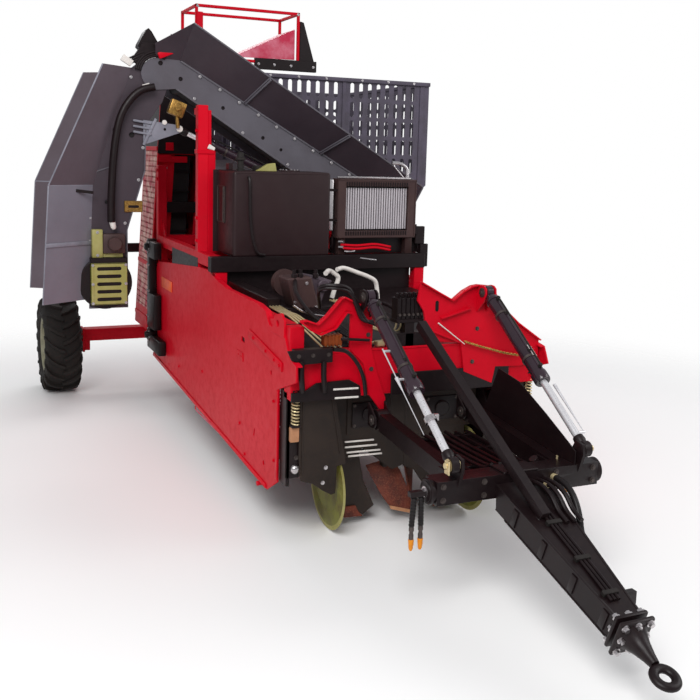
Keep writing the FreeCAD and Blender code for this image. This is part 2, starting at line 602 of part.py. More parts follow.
def cylinder_ram(node, eye, far, lane, sizes, pin_from, pin_to, bore_length, rod_inside):
    """A hydraulic cylinder between two pins: a barrel with its eye and a rod with its own eye."""
    radius, length, rod_radius, eye_radius, eye_wide, pin_radius, bore = sizes
    a, b = points(eye, far)
    line = (Vector(*b) - Vector(*a)).normalize()

    def along(start, distance):
        offset = line * distance
        return tuple("(%s) + (%.6f)" % (text, move) for text, move in zip(start, offset))

    barrel_length = value(length)
    body_start = value(eye_radius) * 1.9
    neck = bar(along(eye, value(eye_radius) * 0.8), along(eye, body_start + 5),
               "%s*0.45" % eye_wide)
    body = bar(along(eye, body_start), along(eye, barrel_length), radius)
    axis = lane
    shift = {"x": ("-(%s)/2" % eye_wide, "0", "0"), "y": ("0", "-(%s)/2" % eye_wide, "0")}[axis]
    spot = tuple("(%s) + %s" % pair for pair in zip(eye, shift))
    knuckle = rod(spot, eye_radius, eye_wide, axis)
    hole = rod(tuple("(%s) - 1*%s" % (text, "1" if name == axis else "0")
                     for text, name in zip(spot, "xyz")),
               "%s + run_clear" % pin_radius, "%s + 2" % eye_wide, axis)
    inside = bar(along(eye, barrel_length - bore_length), along(eye, barrel_length + 1),
                 "%s + 0.1" % rod_radius)
    piece(node + "_barrel", less(joined("fuse", [body, neck, knuckle]), hole, inside))
    total = (Vector(*b) - Vector(*a)).Length
    stem = bar(along(eye, barrel_length - rod_inside),
               along(eye, total - value(eye_radius) * 0.7), rod_radius)
    spot_far = tuple("(%s) + %s" % pair for pair in zip(far, shift))
    end = rod(spot_far, eye_radius, eye_wide, axis)
    pin_spot = tuple(pin_from if name == axis else text for text, name in zip(far, "xyz"))
    pin = rod(pin_spot, pin_radius, "(%s) - (%s)" % (pin_to, pin_from), axis)
    piece(node + "_rod", stem, end, pin)


def lift_cylinders():
    """The two cylinders from the headstock down to the yoke."""
    for side in ("right", "left"):
        sign = both_sides(side)
        x = "%s*ram_x" % sign
        ear_face = "ram_x - ram_eye_wide/2 - 6 + seat_clear"
        pin = ("-(ram_x + ram_eye_wide/2 + 15)", "-(%s)" % ear_face) if side == "right" \
            else (ear_face, "ram_x + ram_eye_wide/2 + 15")
        cylinder_ram("lift_" + side, (x, "ram_top_y", "ram_top_z"), (x, "ram_low_y", "ram_low_z"),
                     "x", ("ram_barrel_radius", "ram_barrel_length", "ram_rod_radius",
                           "ram_eye_radius", "ram_eye_wide", "ram_pin_radius", "ram_bore_radius"),
                     pin[0], pin[1], 720, 430)


# ---------------------------------------------------------------- lifting unit
def lifting_unit():
    """Tool bar, legs, shares, shields and the two rolling discs."""
    bar_low = "tool_bar_z - tool_bar_size/2"
    parts = [box(("-(panel_half - panel_thick)", "tool_bar_y - tool_bar_size/2", bar_low),
                 ("panel_half - panel_thick", "tool_bar_y + tool_bar_size/2",
                  "tool_bar_z + tool_bar_size/2"))]
    for x in ("-share_outer_x", "-share_inner_x", "share_inner_x", "share_outer_x"):
        parts.append(box((x + " - 15", "tool_bar_y - 40", "share_high - 60"),
                         (x + " + 15", "tool_bar_y + 50", bar_low + " + 10")))
    for sign in ("-1", "1"):
        x = "%s*disc_x" % sign
        z = "disc_radius + disc_lift"
        inner = "%s + disc_hub_radius*0.5 + 22" % x if sign == "-1" \
            else "%s - disc_hub_radius*0.5 - 22 - 30" % x
        parts.append(box((inner, "disc_y - 45", z + " - 45"),
                         ("%s + 30" % inner, "disc_y + 45", bar_low + " + 10")))
        shaft_from = "%s - 40" % x if sign == "-1" else inner
        parts.append(rod((shaft_from, "disc_y", z), "disc_shaft_radius",
                         "disc_hub_radius*0.5 + 22 + 45", "x"))
    piece("tool_bar", *parts)
    shares = []
    for x, turn in (("-share_outer_x", 12), ("-share_inner_x", -20), ("share_inner_x", 20),
                    ("share_outer_x", -12)):
        body = DOC.addObject("PartDesign::Body", "Share")
        outline = [("-share_long*0.5", "0"), ("share_long*0.35", "0"),
                   ("share_long*0.5", "share_high"), ("share_long*0.1", "share_high*1.05"),
                   ("-share_long*0.2", "share_high*0.55")]
        drawing = sketch(body, "yz", outline)
        pad = body.newObject("PartDesign::Pad", "Pad")
        pad.Profile = drawing
        pad.setExpression("Length", bind("share_thick"))
        shift = "15.3" if not x.startswith("-") else "-15.3 - share_thick"
        place(body, ("%s + %s" % (x, shift), "share_y", "0"))
        shares.append(body)
    piece("lifting_shares", *shares, kind="group")
    for side in ("right", "left"):
        sign = both_sides(side)
        half = "disc_thick/2"
        profile = [("-disc_hub_radius*0.5", "disc_shaft_radius + run_clear"),
                   ("-disc_hub_radius*0.5", "disc_hub_radius"), ("-" + half, "disc_hub_radius"),
                   ("-" + half, "disc_radius - 30"), ("0", "disc_radius"),
                   (half, "disc_radius - 30"), (half, "disc_hub_radius"),
                   ("disc_hub_radius*0.5", "disc_hub_radius"),
                   ("disc_hub_radius*0.5", "disc_shaft_radius + run_clear")]
        piece("lifting_disc_" + side, turned(profile, "%s*disc_x" % sign, "disc_y",
                                             "disc_radius + disc_lift"))
    shields = []
    for sign in ("-1", "1"):
        x = "-disc_x - 60" if sign == "-1" else "disc_x + 48"
        leaf = [("disc_y - 230", "620"), ("disc_y - 120", "480"), ("disc_y + 110", "470"),
                ("disc_y + 220", "640"), ("disc_y + 190", "900"), ("disc_y + 40", "1060"),
                ("disc_y - 120", "1030"), ("disc_y - 215", "850")]
        notch = box(("-panel_half", "tool_bar_y - tool_bar_size/2 - 0.3", bar_low + " - 0.3"),
                    ("panel_half", "tool_bar_y + tool_bar_size/2 + 0.3",
                     "tool_bar_z + tool_bar_size/2 + 0.3"))
        shields.append(less(plate("yz", leaf, x, "12"), notch))
        low, high = (x + " + 12", "-share_outer_x") if sign == "-1" else ("share_outer_x", x)
        shields.append(box((low, "tool_bar_y + 60.3", "900"),
                           (high, "tool_bar_y + 80", "940")))
    piece("disc_shields", *shields, kind="fuse")
    row_housings()


def row_housings():
    """The drive housing of each row, and the sprung guide at each panel's front."""
    front = "tool_bar_y - tool_bar_size/2"
    outline = [(front, "housing_low"), (front + " - 40", "housing_low"),
               (front + " - 95", "housing_low + 110"), (front + " - 95", "housing_high - 60"),
               (front + " - 45", "housing_high"), (front, "housing_high")]
    wide = "housing_outer_x - housing_inner_x"
    piece("row_housings", plate("yz", outline, "-housing_outer_x", wide),
          plate("yz", outline, "housing_inner_x", wide), kind="group")
    inner = "panel_half - panel_thick"
    guides = []
    for sign in ("-1", "1"):
        low_x, high_x = ("-(%s)" % inner, "-(%s) + 38" % inner) if sign == "-1" \
            else ("%s - 38" % inner, inner)
        post = box((low_x, "guide_y - 40", "guide_low - 180"), (high_x, "guide_y + 95", "head_low"))
        lug_low, lug_high = ("-guide_x - 30", "-guide_x + 30") if sign == "-1" \
            else ("guide_x - 30", "guide_x + 30")
        lugs = [box((lug_low, "guide_y - 35", z), (lug_high, "guide_y + 35", "%s + 25" % z))
                for z in ("guide_low", "head_low - 25")]
        spring = rod(("%s*guide_x" % sign, "guide_y", "guide_low + 5"), "guide_radius",
                     "head_low - guide_low - 10", "z")
        guides.append(joined("fuse", [post, *lugs, spring]))
    piece("row_guides", *guides, kind="group")


# ---------------------------------------------------------------- sieve web
def sieve_web():
    """The rod web that carries the beets up between the panels, and its two rollers."""
    ends = [("web_front_y", "web_front_z"), ("web_rear_y", "web_rear_z")]
    (y0, z0), (y1, z1) = points(*ends)
    run = math.hypot(y1 - y0, z1 - z0)
    along = Vector(0, y1 - y0, z1 - z0) / run
    radius = value("web_roller + web_thick/2 + 1.5")
    normal = Vector(0, -along.z, along.y)
    start, end = Vector(0, y0, z0), Vector(0, y1, z1)
    shift = Vector(-value("mid_x"), -value("mid_y"), 0)

    def loop(grow, low_x, high_x):
        """A closed belt outline, extruded across the web."""
        size = radius + grow
        corners = [start + normal * size, end + normal * size, end + along * size,
                   end - normal * size, start - normal * size, start - along * size]
        edges = [Part.makeLine(corners[0], corners[1]),
                 Part.Arc(corners[1], corners[2], corners[3]).toShape(),
                 Part.makeLine(corners[3], corners[4]),
                 Part.Arc(corners[4], corners[5], corners[0]).toShape()]
        face = Part.Face(Part.Wire(edges))
        face.translate(Vector(low_x, 0, 0))
        return face.extrude(Vector(high_x - low_x, 0, 0))

    half = value("web_half")
    belt = value("web_belt")
    thick = value("web_thick")
    solids = []
    for low in (-half, half - belt, -belt / 2):
        outer = loop(thick / 2, low, low + belt)
        solids.append(outer.cut(loop(-thick / 2, low - 1, low + belt + 1)))
    around = 2 * run + 2 * math.pi * radius
    count = int(around / 75)
    for index in range(count):
        distance = index * around / count
        if distance < run:
            middle = start + along * distance + normal * radius
        elif distance < run + math.pi * radius:
            angle = (distance - run) / radius
            middle = end + normal * (radius * math.cos(angle)) + along * (radius * math.sin(angle))
        elif distance < 2 * run + math.pi * radius:
            middle = end - along * (distance - run - math.pi * radius) - normal * radius
        else:
            angle = (distance - 2 * run - math.pi * radius) / radius
            middle = start - normal * (radius * math.cos(angle)) \
                - along * (radius * math.sin(angle))
        stick = Part.makeCylinder(value("web_rod") / 2, 2 * half - 2,
                                  middle - Vector(half - 1, 0, 0), Vector(1, 0, 0))
        solids.append(stick)
    shape = solids[0].multiFuse(solids[1:])
    shape.translate(shift)
    thing = DOC.addObject("Part::Feature", "Web")
    thing.Shape = shape
    piece("sieve_web", thing)
    rollers = []
    inner = "panel_half - panel_thick"
    for y, z in ends:
        rollers.append(rod(("-web_half - 20", y, z), "web_roller", "2*web_half + 40", "x"))
        rollers.append(rod(("-(%s)" % inner, y, z), "30", "2*(%s)" % inner, "x"))
    front = joined("fuse", rollers[:2])
    rear = joined("fuse", rollers[2:])
    piece("web_rollers", front, rear, kind="group")


# ---------------------------------------------------------------- hydraulics on the deck
def services():
    """Oil tank, cooler, gearbox, pipes and the web drive."""
    piece("oil_tank", box(("tank_right_x", "tank_front_y", "deck_high"),
                          ("tank_left_x", "tank_rear_y", "tank_high")))
    frame_box = box(("cooler_x", "cooler_front_y", "cooler_low"),
                    ("cooler_x + cooler_wide", "cooler_front_y + cooler_deep", "cooler_high"))
    window = box(("cooler_x + cooler_rim", "cooler_front_y - 1", "cooler_low + cooler_rim*0.8"),
                 ("cooler_x + cooler_wide - cooler_rim", "cooler_front_y + cooler_deep + 1",
                  "cooler_high - cooler_rim*0.8"))
    legs = []
    for x in ("cooler_x + 20", "cooler_x + cooler_wide - 90"):
        legs.append(box((x, "cooler_front_y + 20", "deck_high"),
                        ("%s + 70" % x, "cooler_front_y + cooler_deep - 20", "cooler_low + 20")))
    piece("cooler_frame", less(frame_box, window), *legs)
    piece("cooler_core", box(("cooler_x + cooler_rim", "cooler_front_y + 25",
                              "cooler_low + cooler_rim*0.8"),
                             ("cooler_x + cooler_wide - cooler_rim",
                              "cooler_front_y + cooler_deep - 25", "cooler_high - cooler_rim*0.8")))
    low = "rail_top - 10"
    body = box(("gear_x - gear_wide/2", "gear_y - gear_long/2", low),
               ("gear_x + gear_wide/2", "gear_y + gear_long/2", "%s + gear_high" % low))
    pillar = box(("valve_x - 35", "head_front_y + 10", "head_high"),
                 ("valve_x + 35", "head_front_y + 110", "valve_low + 5"))
    bank = box(("valve_x - valve_wide/2", "head_front_y + 5", "valve_low"),
               ("valve_x + valve_wide/2", "head_front_y + 120", "valve_high"))
    piece("hydraulic_block", body, joined("fuse", [pillar, bank]), kind="group")
    pipes = []
    for index in range(4):
        shift = index * 27
        bend = ("-851 + %d" % (shift * 0.9), "gear_y - 275", "rail_top + 5")
        start = ("-860 + %d" % shift, "tank_front_y - 70", "rail_top + 50")
        end = ("-720 + %d" % (shift * 1.6), "head_front_y + 60", "head_high + 11")
        elbow = DOC.addObject("Part::Sphere", "Elbow")
        elbow.Radius = 11
        place(elbow, bend)
        pipes.append(joined("fuse", [bar(start, bend, "11"), elbow, bar(bend, end, "11")]))
    piece("hydraulic_pipes", *pipes, kind="group")
    drive = box(("-panel_half - 85", "panel_rear_y - 190", "640"),
                ("-panel_half", "panel_rear_y - 70", "deck_high"))
    hubs = [rod(("-panel_half - 120", "panel_rear_y - 130", z), "55", "36", "x")
            for z in ("760", "deck_high - 120")]
    piece("web_drive", drive, *hubs)
    bar_y = "head_front_y - 60"
    hanger = [box(("-900", bar_y, "head_high - 60"), ("-480", "head_front_y - 20.2", "head_high"))]
    for x in ("-800", "-650"):
        hanger.append(box((x, "%s - 12" % bar_y, "1000"),
                          ("%s + 28" % x, "%s + 16" % bar_y, "head_high - 20")))
    piece("hose_rail", *hanger)


# ---------------------------------------------------------------- bunker
def bunker():
    """Four upright walls and a trough floor, each a plate of its own."""
    wall = "bunker_wall"
    right, left = "bunker_right_x", "bunker_left_x"
    front = [(right, "bunker_high"), (right, "floor_high"), ("floor_low_x", "floor_low"),
             ("floor_far_x", "floor_low"), (left, "chamfer_high"), (left, "bunker_high")]
    gate = box(("floor_low_x + 30", "bunker_front_y - 1", "floor_low + 20"),
               ("floor_far_x - 30", "bunker_front_y + bunker_wall + 1", "floor_low + 330"))
    ends = [less(plate("xz", front, "bunker_front_y", wall), gate),
            plate("xz", front, "bunker_rear_y - %s" % wall, wall)]
    long_y = ("bunker_front_y + %s" % wall, "bunker_rear_y - %s" % wall)
    sides = [box(("%s - %s" % (left, wall), long_y[0], "chamfer_high + 12"),
                 (left, long_y[1], "bunker_high")),
             box((right, long_y[0], "floor_high + 12"),
                 ("%s + %s" % (right, wall), long_y[1], "bunker_high"))]
    piece("bunker_walls", *ends, *sides, kind="group")
    floor = [(right, "floor_high"), ("floor_low_x", "floor_low"), ("floor_far_x", "floor_low"),
             (left, "chamfer_high"), (left, "chamfer_high + 11.5"),
             ("floor_far_x - 4", "floor_low + 11.5"), ("floor_low_x + 3", "floor_low + 11.5"),
             (right, "floor_high + 11.5")]
    piece("bunker_floor", plate("xz", floor, long_y[0], "(%s) - (%s)" % (long_y[1], long_y[0])))


def elevator():
    """The upright bucket elevator in its slotted casing, and the open hood over the bunker."""
    def at(height, side):
        share = "((%s) - lift_low)/(lift_high - lift_low)" % height
        extra = " + lift_wide" if side == "inner" else ""
        return "lift_low_x + lift_lean*%s%s" % (share, extra)

    outline = [(at("lift_low", "outer"), "lift_low"), (at("lift_low", "inner"), "lift_low"),
               (at("lift_high", "inner"), "lift_high"), (at("lift_high", "outer"), "lift_high")]
    wall = "lift_wall"
    inside = [("%s + %s" % (outline[0][0], wall), "lift_low - 1"),
              ("%s - %s" % (outline[1][0], wall), "lift_low - 1"),
              ("%s - %s" % (outline[2][0], wall), "lift_high + 1"),
              ("%s + %s" % (outline[3][0], wall), "lift_high + 1")]
    deep = "lift_rear_y - lift_front_y"
    shell = plate("xz", outline, "lift_front_y", deep)
    hollow = plate("xz", inside, "lift_front_y + %s" % wall, "%s - 2*%s" % (deep, wall))
    mouth = box((at("lift_low", "inner") + " - 60", "lift_front_y + 60", "lift_low + 40"),
                (at("lift_low", "inner") + " + 60", "lift_rear_y - 60", "lift_low + 480"))
    piece("elevator_casing", less(shell, hollow, mouth))
    chain = [("%s + 110" % at("lift_low", "outer"), "lift_low + 90"),
             ("%s - 110" % at("lift_low", "inner"), "lift_low + 90"),
             ("%s - 110" % at("lift_high", "inner"), "lift_high - 60"),
             ("%s + 110" % at("lift_high", "outer"), "lift_high - 60")]
    slab = plate("xz", chain, "lift_front_y + 60", "%s - 120" % deep)
    axles = [rod(("%s + lift_wide/2" % at(z, "outer"), "lift_front_y + lift_wall", z), "25",
                 "%s - 2*lift_wall" % deep, "y") for z in ("lift_low + 150", "lift_high - 130")]
    piece("elevator_chain", slab, *axles)
    parts = []
    hood_low = "lift_high"
    for y in ("lift_front_y", "lift_rear_y - hood_bar"):
        for x in ("hood_right_x", "hood_left_x - hood_bar"):
            parts.append(box((x, y, hood_low), ("%s + hood_bar" % x, "%s + hood_bar" % y,
                                                "hood_high")))
        for z in (hood_low, "hood_high - hood_bar"):
            parts.append(box(("hood_right_x", y, z),
                             ("hood_left_x", "%s + hood_bar" % y, "%s + hood_bar" % z)))
    for x in ("hood_right_x", "hood_left_x - hood_bar"):
        for z in (hood_low, "hood_high - hood_bar"):
            parts.append(box((x, "lift_front_y", z),
                             ("%s + hood_bar" % x, "lift_rear_y", "%s + hood_bar" % z)))
    slide = [("hood_right_x + 350", "lift_high + hood_bar"), ("hood_left_x - 5", "lift_high + 330"),
             ("hood_left_x - 5", "lift_high + 342"),
             ("hood_right_x + 330", "lift_high + hood_bar + 8")]
    parts.append(plate("xz", slide, "lift_front_y + 30", "%s - 60" % deep))
    shelf = box(("lift_low_x + lift_lean - 10", "lift_front_y + 5", "lift_high"),
                ("hood_right_x + 30", "lift_rear_y - 5", "lift_high + 12"))
    parts.append(shelf)
    piece("elevator_hood", *parts)
    cross = [rod(("-360", y, "lift_low + 100"), "60", "1220", "x")
             for y in ("lift_front_y + 90", "lift_rear_y - 90")]
    belt = box(("-340", "lift_front_y + 90", "lift_low + 50"),
               ("840", "lift_rear_y - 90", "lift_low + 150"))
    sides = [box((x, "panel_rear_y - 90", "lift_low"), ("%s + 20" % x, "lift_rear_y - 30",
                                                       "lift_low + 300")) for x in ("-380", "850")]
    legs = [box((x, "panel_rear_y - 90", "lift_low + 280"),
                ("%s + 20" % x, "panel_rear_y - 20", "rail_top - rail_high + 10"))
            for x in ("-380", "850")]
    piece("cross_conveyor", *cross, belt, *sides, *legs)


# ---------------------------------------------------------------- unloading conveyor
def inner_top(x):
    """The height of the inner section's side plate at a place across."""
    return "(inner_top_z - inner_top_slope*((%s) + 1077))" % x


def inner_low(x):
    """The height of the inner section's lower edge at a place across."""
    return "(inner_low_z - inner_low_slope*((%s) + 1118))" % x


def ruled(lines_low, lines_high, thick, toward_x):
    """A thin bent wall between two rows of points; it thickens towards +X or -X."""
    low, high = points(*lines_low), points(*lines_high)
    shift = Vector(-value("mid_x"), -value("mid_y"), 0)
    solids = []
    for index in range(len(low) - 1):
        a, b = Vector(*low[index]), Vector(*low[index + 1])
        c, d = Vector(*high[index + 1]), Vector(*high[index])
        normal = (b - a).cross(d - a).normalize()
        normal = normal if normal.x * toward_x > 0 else -normal
        off = normal * value(thick)
        faces = [(a, b, c), (a, c, d)]
        for face in faces:
            wire = Part.makePolygon(list(face) + [face[0]])
            solids.append(Part.Face(wire).extrude(off))
    shape = solids[0].multiFuse(solids[1:]).removeSplitter()
    shape.translate(shift)
    thing = DOC.addObject("Part::Feature", "Ruled")
    thing.Shape = shape
    return thing


def inner_conveyor():
    """The fixed section: two side plates, the near flare, and the belt on its rollers."""
    foot = "inner_foot_x"
    bend = "-1077"
    side = [("fold_x", "fold_z + fold_radius"), (bend, "inner_top_z"), (foot, inner_top(foot)),
            (foot, inner_low(foot)), ("-1118", "inner_low_z"), ("fold_x", "fold_z - fold_radius")]
    near = plate("xz", side, "near_y", "side_thick")
    disc = rod(("fold_x", "near_y", "fold_z"), "fold_radius", "side_thick", "y")
    flare_low = [(bend, "near_y + 4", "inner_top_z - 4"), (foot, "near_y + 4", inner_top(foot) + " - 4")]
    flare_high = [(bend + " + 60", "near_y - flare_out", "inner_top_z + flare_rise_high - 40"),
                  (foot, "near_y - flare_out", inner_top(foot) + " + flare_rise_low")]
    horn = [("-1062", "3400"), ("-1062", "3440"), ("-1180", "3545"), ("-1262", "3560"),
            ("-1330", "3605"), ("-1372", "3680"), ("-1398", "3668"), ("-1362", "3585"),
            ("-1290", "3528"), ("-1190", "3512"), ("-1090", "3425"), ("-1090", "3400")]
    guard = plate("xz", horn, "near_y + 30", "140")
    guard_bar = box(("-1090", "near_y + 4", "3400"), ("-1062", "far_y", "3430"))
    near_side = joined("fuse", [near, disc, ruled(flare_low, flare_high, "side_thick", 1),
                                guard, guard_bar])
    tall = [("fold_x", "fold_z + fold_radius"), (bend, "inner_top_z"),
            (bend + " + 60", "inner_top_z + flare_rise_high - 40"),
            (foot, inner_top(foot) + " + flare_rise_low"), (foot, inner_low(foot)),
            ("-1118", "inner_low_z"), ("fold_x", "fold_z - fold_radius")]
    far = plate("xz", tall, "far_y", "side_thick")
    far_disc = rod(("fold_x", "far_y", "fold_z"), "fold_radius", "side_thick", "y")
    piece("inner_conveyor_sides", near_side, joined("fuse", [far, far_disc]), kind="group")
    gap = "near_y + side_thick"
    ends = [("-985", inner_low("-985") + " + 118"), ("inner_foot_x - 110",
                                                     inner_low("inner_foot_x - 110") + " + 118")]
    slab = [(x, "%s %s 45" % (z, sign)) for (x, z), sign in
            ((ends[0], "-"), (ends[1], "-"), (ends[1], "+"), (ends[0], "+"))]
    belt = plate("xz", slab, "%s + 12" % gap, "far_y - near_y - side_thick - 24")
    rollers = [rod((x, gap, z), "22", "far_y - near_y - side_thick", "y") for x, z in ends]
    drums = [rod((x, "%s + 12" % gap, z), "52", "far_y - near_y - side_thick - 24", "y")
             for x, z in ends]
    piece("inner_belt", belt, *rollers, *drums)
    post = box(("-column_x - 40", "column_front_y + 45", "column_front_top - 60"),
               ("-column_x + 40", "near_y", "column_front_top"))
    lug = box(("-column_x - 40", "near_y - 10", "column_front_top - 60"),
              ("-column_x + 40", "near_y", inner_low("-column_x") + " + 60"))
    foot_leg = box(("column_x - 60", "near_y - 12", "deck_high"),
                   ("column_x - 10", "near_y", inner_low("column_x - 60") + " + 60"))
    anchor = [box(("fold_anchor_x - 40", y, "fold_anchor_z - 40"),
                  ("fold_anchor_x + 40", "%s + 14" % y, inner_low("fold_anchor_x + 40") + " + 30"))
              for y in ("fold_ram_y - 46", "fold_ram_y + 32")]
    pin = rod(("fold_anchor_x", "fold_ram_y - 48", "fold_anchor_z"), "fold_pin_radius", "96", "y")
    tie = box(("fold_anchor_x - 40", "near_y + side_thick", inner_low("fold_anchor_x + 40") + " + 4"),
              ("fold_anchor_x + 40", "far_y", inner_low("fold_anchor_x + 40") + " + 24"))
    piece("conveyor_stand", joined("fuse", [post, lug]), foot_leg,
          joined("fuse", [tie, *anchor, pin]), kind="group")


def outer_conveyor():
    """The folding section, hung from the fold hinge, with its drive and guard."""
    near = "near_y + side_thick + 4"
    far = "far_y - 4 - side_thick"
    right = [("-1160", "3300"), ("-1230", "3100"), ("-1370", "2900"), ("-1380", "2500"),
             ("-1540", "1980"), ("-1540", "outer_low")]
    left = [("-1880", "outer_low"), ("-1836", "knee_z"), ("-1500", "3380"),
            ("fold_x - 60", "fold_z + 110"), ("fold_x + 60", "fold_z + 110"),
            ("fold_x + 120", "fold_z")]
    outline = right + left
    edge = [("outer_edge_low_x", "outer_low"), ("outer_edge_knee_x", "knee_z"),
            ("outer_edge_top_x", "3380")]
    inner_edge = [("-1880", "outer_low"), ("-1836", "knee_z"), ("-1500", "3380")]
    sides = []
    for name, y, out in (("near", near, "-"), ("far", far, "+")):
        body = plate("xz", outline, y, "side_thick")
        base = "%s + side_thick/2" % y
        low = [(x, base, z) for x, z in inner_edge]
        high = [(x, "%s %s flare_out" % (base, out), z) for x, z in edge]
        parts = [body, ruled(low, high, "side_thick", 1)]
        if name == "near":
            lug = [("-1390", "2930"), ("fold_pin_x + 10", "fold_pin_z + 32"),
                   ("fold_pin_x + 30", "fold_pin_z"), ("fold_pin_x + 10", "fold_pin_z - 32"),
                   ("-1390", "2730")]
            parts.append(plate("xz", lug, y, "side_thick"))
        sides.append(joined("fuse", parts))
    piece("outer_conveyor_sides", *sides, kind="group")
    gap = "near_y + 2*side_thick + 4"
    wide = "far_y - near_y - 3*side_thick - 8"
    middle = [("-1450", "2850"), ("-1480", "2500"), ("-1640", "1960"), ("-1650", "outer_low + 130")]
    belt = [(x, z) for x, z in middle] + [("-1740", "outer_low + 130"), ("-1730", "1980"),
                                         ("-1570", "2520"), ("-1540", "2880"),
                                         ("-1380", "3200"), ("-1300", "3160")]
    slab = plate("xz", belt, "%s + 12" % gap, "%s - 24" % wide)
    rollers = [rod((x, gap, z), "24", wide, "y") for x, z in (("-1345", "3160"),
                                                              ("-1695", "outer_low + 150"))]
    piece("outer_belt", slab, *rollers)
    guard = box(("-1855", "near_y - 90", "1240"), ("-1520", "%s" % near, "1690"))
    motor = box(("-1828", "near_y - 70", "1720"), ("-1550", "%s" % near, "1990"))
    piece("belt_drive", guard, motor, kind="group")


def fold_cylinder():
    """The cylinder under the fixed section that swings the folding section out."""
    y = "fold_ram_y"
    lug_back = "near_y + 2*side_thick + 4 + seat_clear"
    cylinder_ram("fold", ("fold_anchor_x", y, "fold_anchor_z"), ("fold_pin_x", y, "fold_pin_z"),
                 "y", ("fold_barrel_radius", "fold_barrel_length", "fold_rod_radius",
                       "fold_eye_radius", "50", "fold_pin_radius", "40"),
                 lug_back, "fold_ram_y + 30", 1050, 1000)


# ---------------------------------------------------------------- rear lights and hoses
def rear_bar():
    """The cross bar with its two lamp units."""
    bar_box = box(("-1150", "rail_rear_y", "rail_top - 120"),
                  ("1150", "rail_rear_y + light_deep - 30", "rail_top - 10"))
    lamps = [box(("%s*1000 - 110" % sign, "rail_rear_y + light_deep - 30", "rail_top - 110"),
                 ("%s*1000 + 110" % sign, "rail_rear_y + light_deep", "rail_top - 20"))
             for sign in ("-1", "1")]
    piece("light_bar", bar_box, *lamps, kind="fuse")


def finish():
    """Check every object and every piece, then write one file for each node."""
    DOC.recompute()
    failed = [thing.Name for thing in DOC.Objects
              if "Invalid" in thing.State or "Error" in thing.State]
    if failed:
        raise RuntimeError("failed objects: %s" % ", ".join(failed))
    for thing in EXPORTS:
        if thing.Shape.isNull() or not thing.Shape.isValid() or not thing.Shape.Solids:
            raise RuntimeError("bad shape in " + thing.Label)
    os.makedirs("parts", exist_ok=True)
    for thing in EXPORTS:
        thing.Shape.exportStep(os.path.join("parts", thing.Label + ".step"))
        print("%-24s %3d solids %10.1f cm3" % (thing.Label, len(thing.Shape.Solids),
                                               thing.Shape.Volume / 1000))


def build():
    """Make every sub-part in order."""
    wheels()
    frame()
    for side in ("right", "left"):
        bracket(side)
    stay_chain()
    drawbar()
    lift_cylinders()
    lifting_unit()
    sieve_web()
    services()
    bunker()
    elevator()
    inner_conveyor()
    outer_conveyor()
    fold_cylinder()
    rear_bar()
    finish()


build()
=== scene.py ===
"""Looks of a trailed sugar beet harvester with a bunker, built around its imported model.

Sizes and places are the machine's own millimetres: X = 0 is its centre line, -X its right-hand
side, it faces -Y, and the ground is Z = 0.  at() turns them into the frame's metres.
"""
import json
import logging
import math
from dataclasses import dataclass
from enum import Enum
from typing import Callable, Dict, Iterable, List, Optional, Sequence, Tuple

import bmesh
import bpy
from mathutils import Matrix, Vector

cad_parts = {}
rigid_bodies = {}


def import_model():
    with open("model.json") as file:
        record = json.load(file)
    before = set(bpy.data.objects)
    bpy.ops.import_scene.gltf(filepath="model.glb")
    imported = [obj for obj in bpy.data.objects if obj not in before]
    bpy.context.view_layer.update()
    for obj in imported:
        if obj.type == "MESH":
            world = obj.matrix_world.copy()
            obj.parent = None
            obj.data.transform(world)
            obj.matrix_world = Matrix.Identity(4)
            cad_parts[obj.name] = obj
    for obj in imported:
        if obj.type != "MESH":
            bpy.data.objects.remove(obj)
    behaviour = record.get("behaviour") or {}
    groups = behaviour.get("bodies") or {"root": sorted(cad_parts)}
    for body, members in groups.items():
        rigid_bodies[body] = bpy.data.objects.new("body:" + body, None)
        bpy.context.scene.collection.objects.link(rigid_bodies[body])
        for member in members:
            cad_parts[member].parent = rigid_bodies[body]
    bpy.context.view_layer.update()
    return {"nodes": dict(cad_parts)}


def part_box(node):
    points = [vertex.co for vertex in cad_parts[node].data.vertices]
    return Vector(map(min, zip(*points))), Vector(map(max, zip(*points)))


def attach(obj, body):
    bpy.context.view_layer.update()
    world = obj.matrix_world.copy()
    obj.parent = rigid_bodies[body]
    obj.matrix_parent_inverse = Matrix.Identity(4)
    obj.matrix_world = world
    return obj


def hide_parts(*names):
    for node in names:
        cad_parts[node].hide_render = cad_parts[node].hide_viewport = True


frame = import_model()

LOG = logging.getLogger("beet_harvester")
MM = 0.001
EASE_ANGLE = math.radians(28)
FLAT_ANGLE = math.radians(1)
WELD = 0.00005
SHEET_EASE = 1.5
STEEP = 0.95
RIGHT_PANEL, LEFT_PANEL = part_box("side_panel_right"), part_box("side_panel_left")
DATUM = Vector(((RIGHT_PANEL[0].x + LEFT_PANEL[1].x) / 2, RIGHT_PANEL[1].y - 1.490, 0.0))
TO_FRAME = Matrix.Translation(DATUM) @ Matrix.Scale(MM, 4)

# Where the noise that a finish draws from starts and stops counting, and how far it goes.
CLOUD_RANGE = (0.38, 0.66)
SPECK_RANGE = (0.5, 0.74)
GLOSS_RANGE = (0.35, 0.7)
SPECKS_PER_GRAIN = 9
DIRTY_BELOW = 1.6
DIRT_LEFT_ABOVE = 0.35
RELIEF_STRENGTH = 0.6
COAT_ROUGHNESS = 0.15

Point = Sequence[float]
Flat = Sequence[Tuple[float, float]]

# The ways that the machine's pieces face.
AHEAD, BACK = (0, -1, 0), (0, 1, 0)
RIGHT, LEFT = (-1, 0, 0), (1, 0, 0)
UP = (0, 0, 1)
SIDES = (("right", -1), ("left", 1))


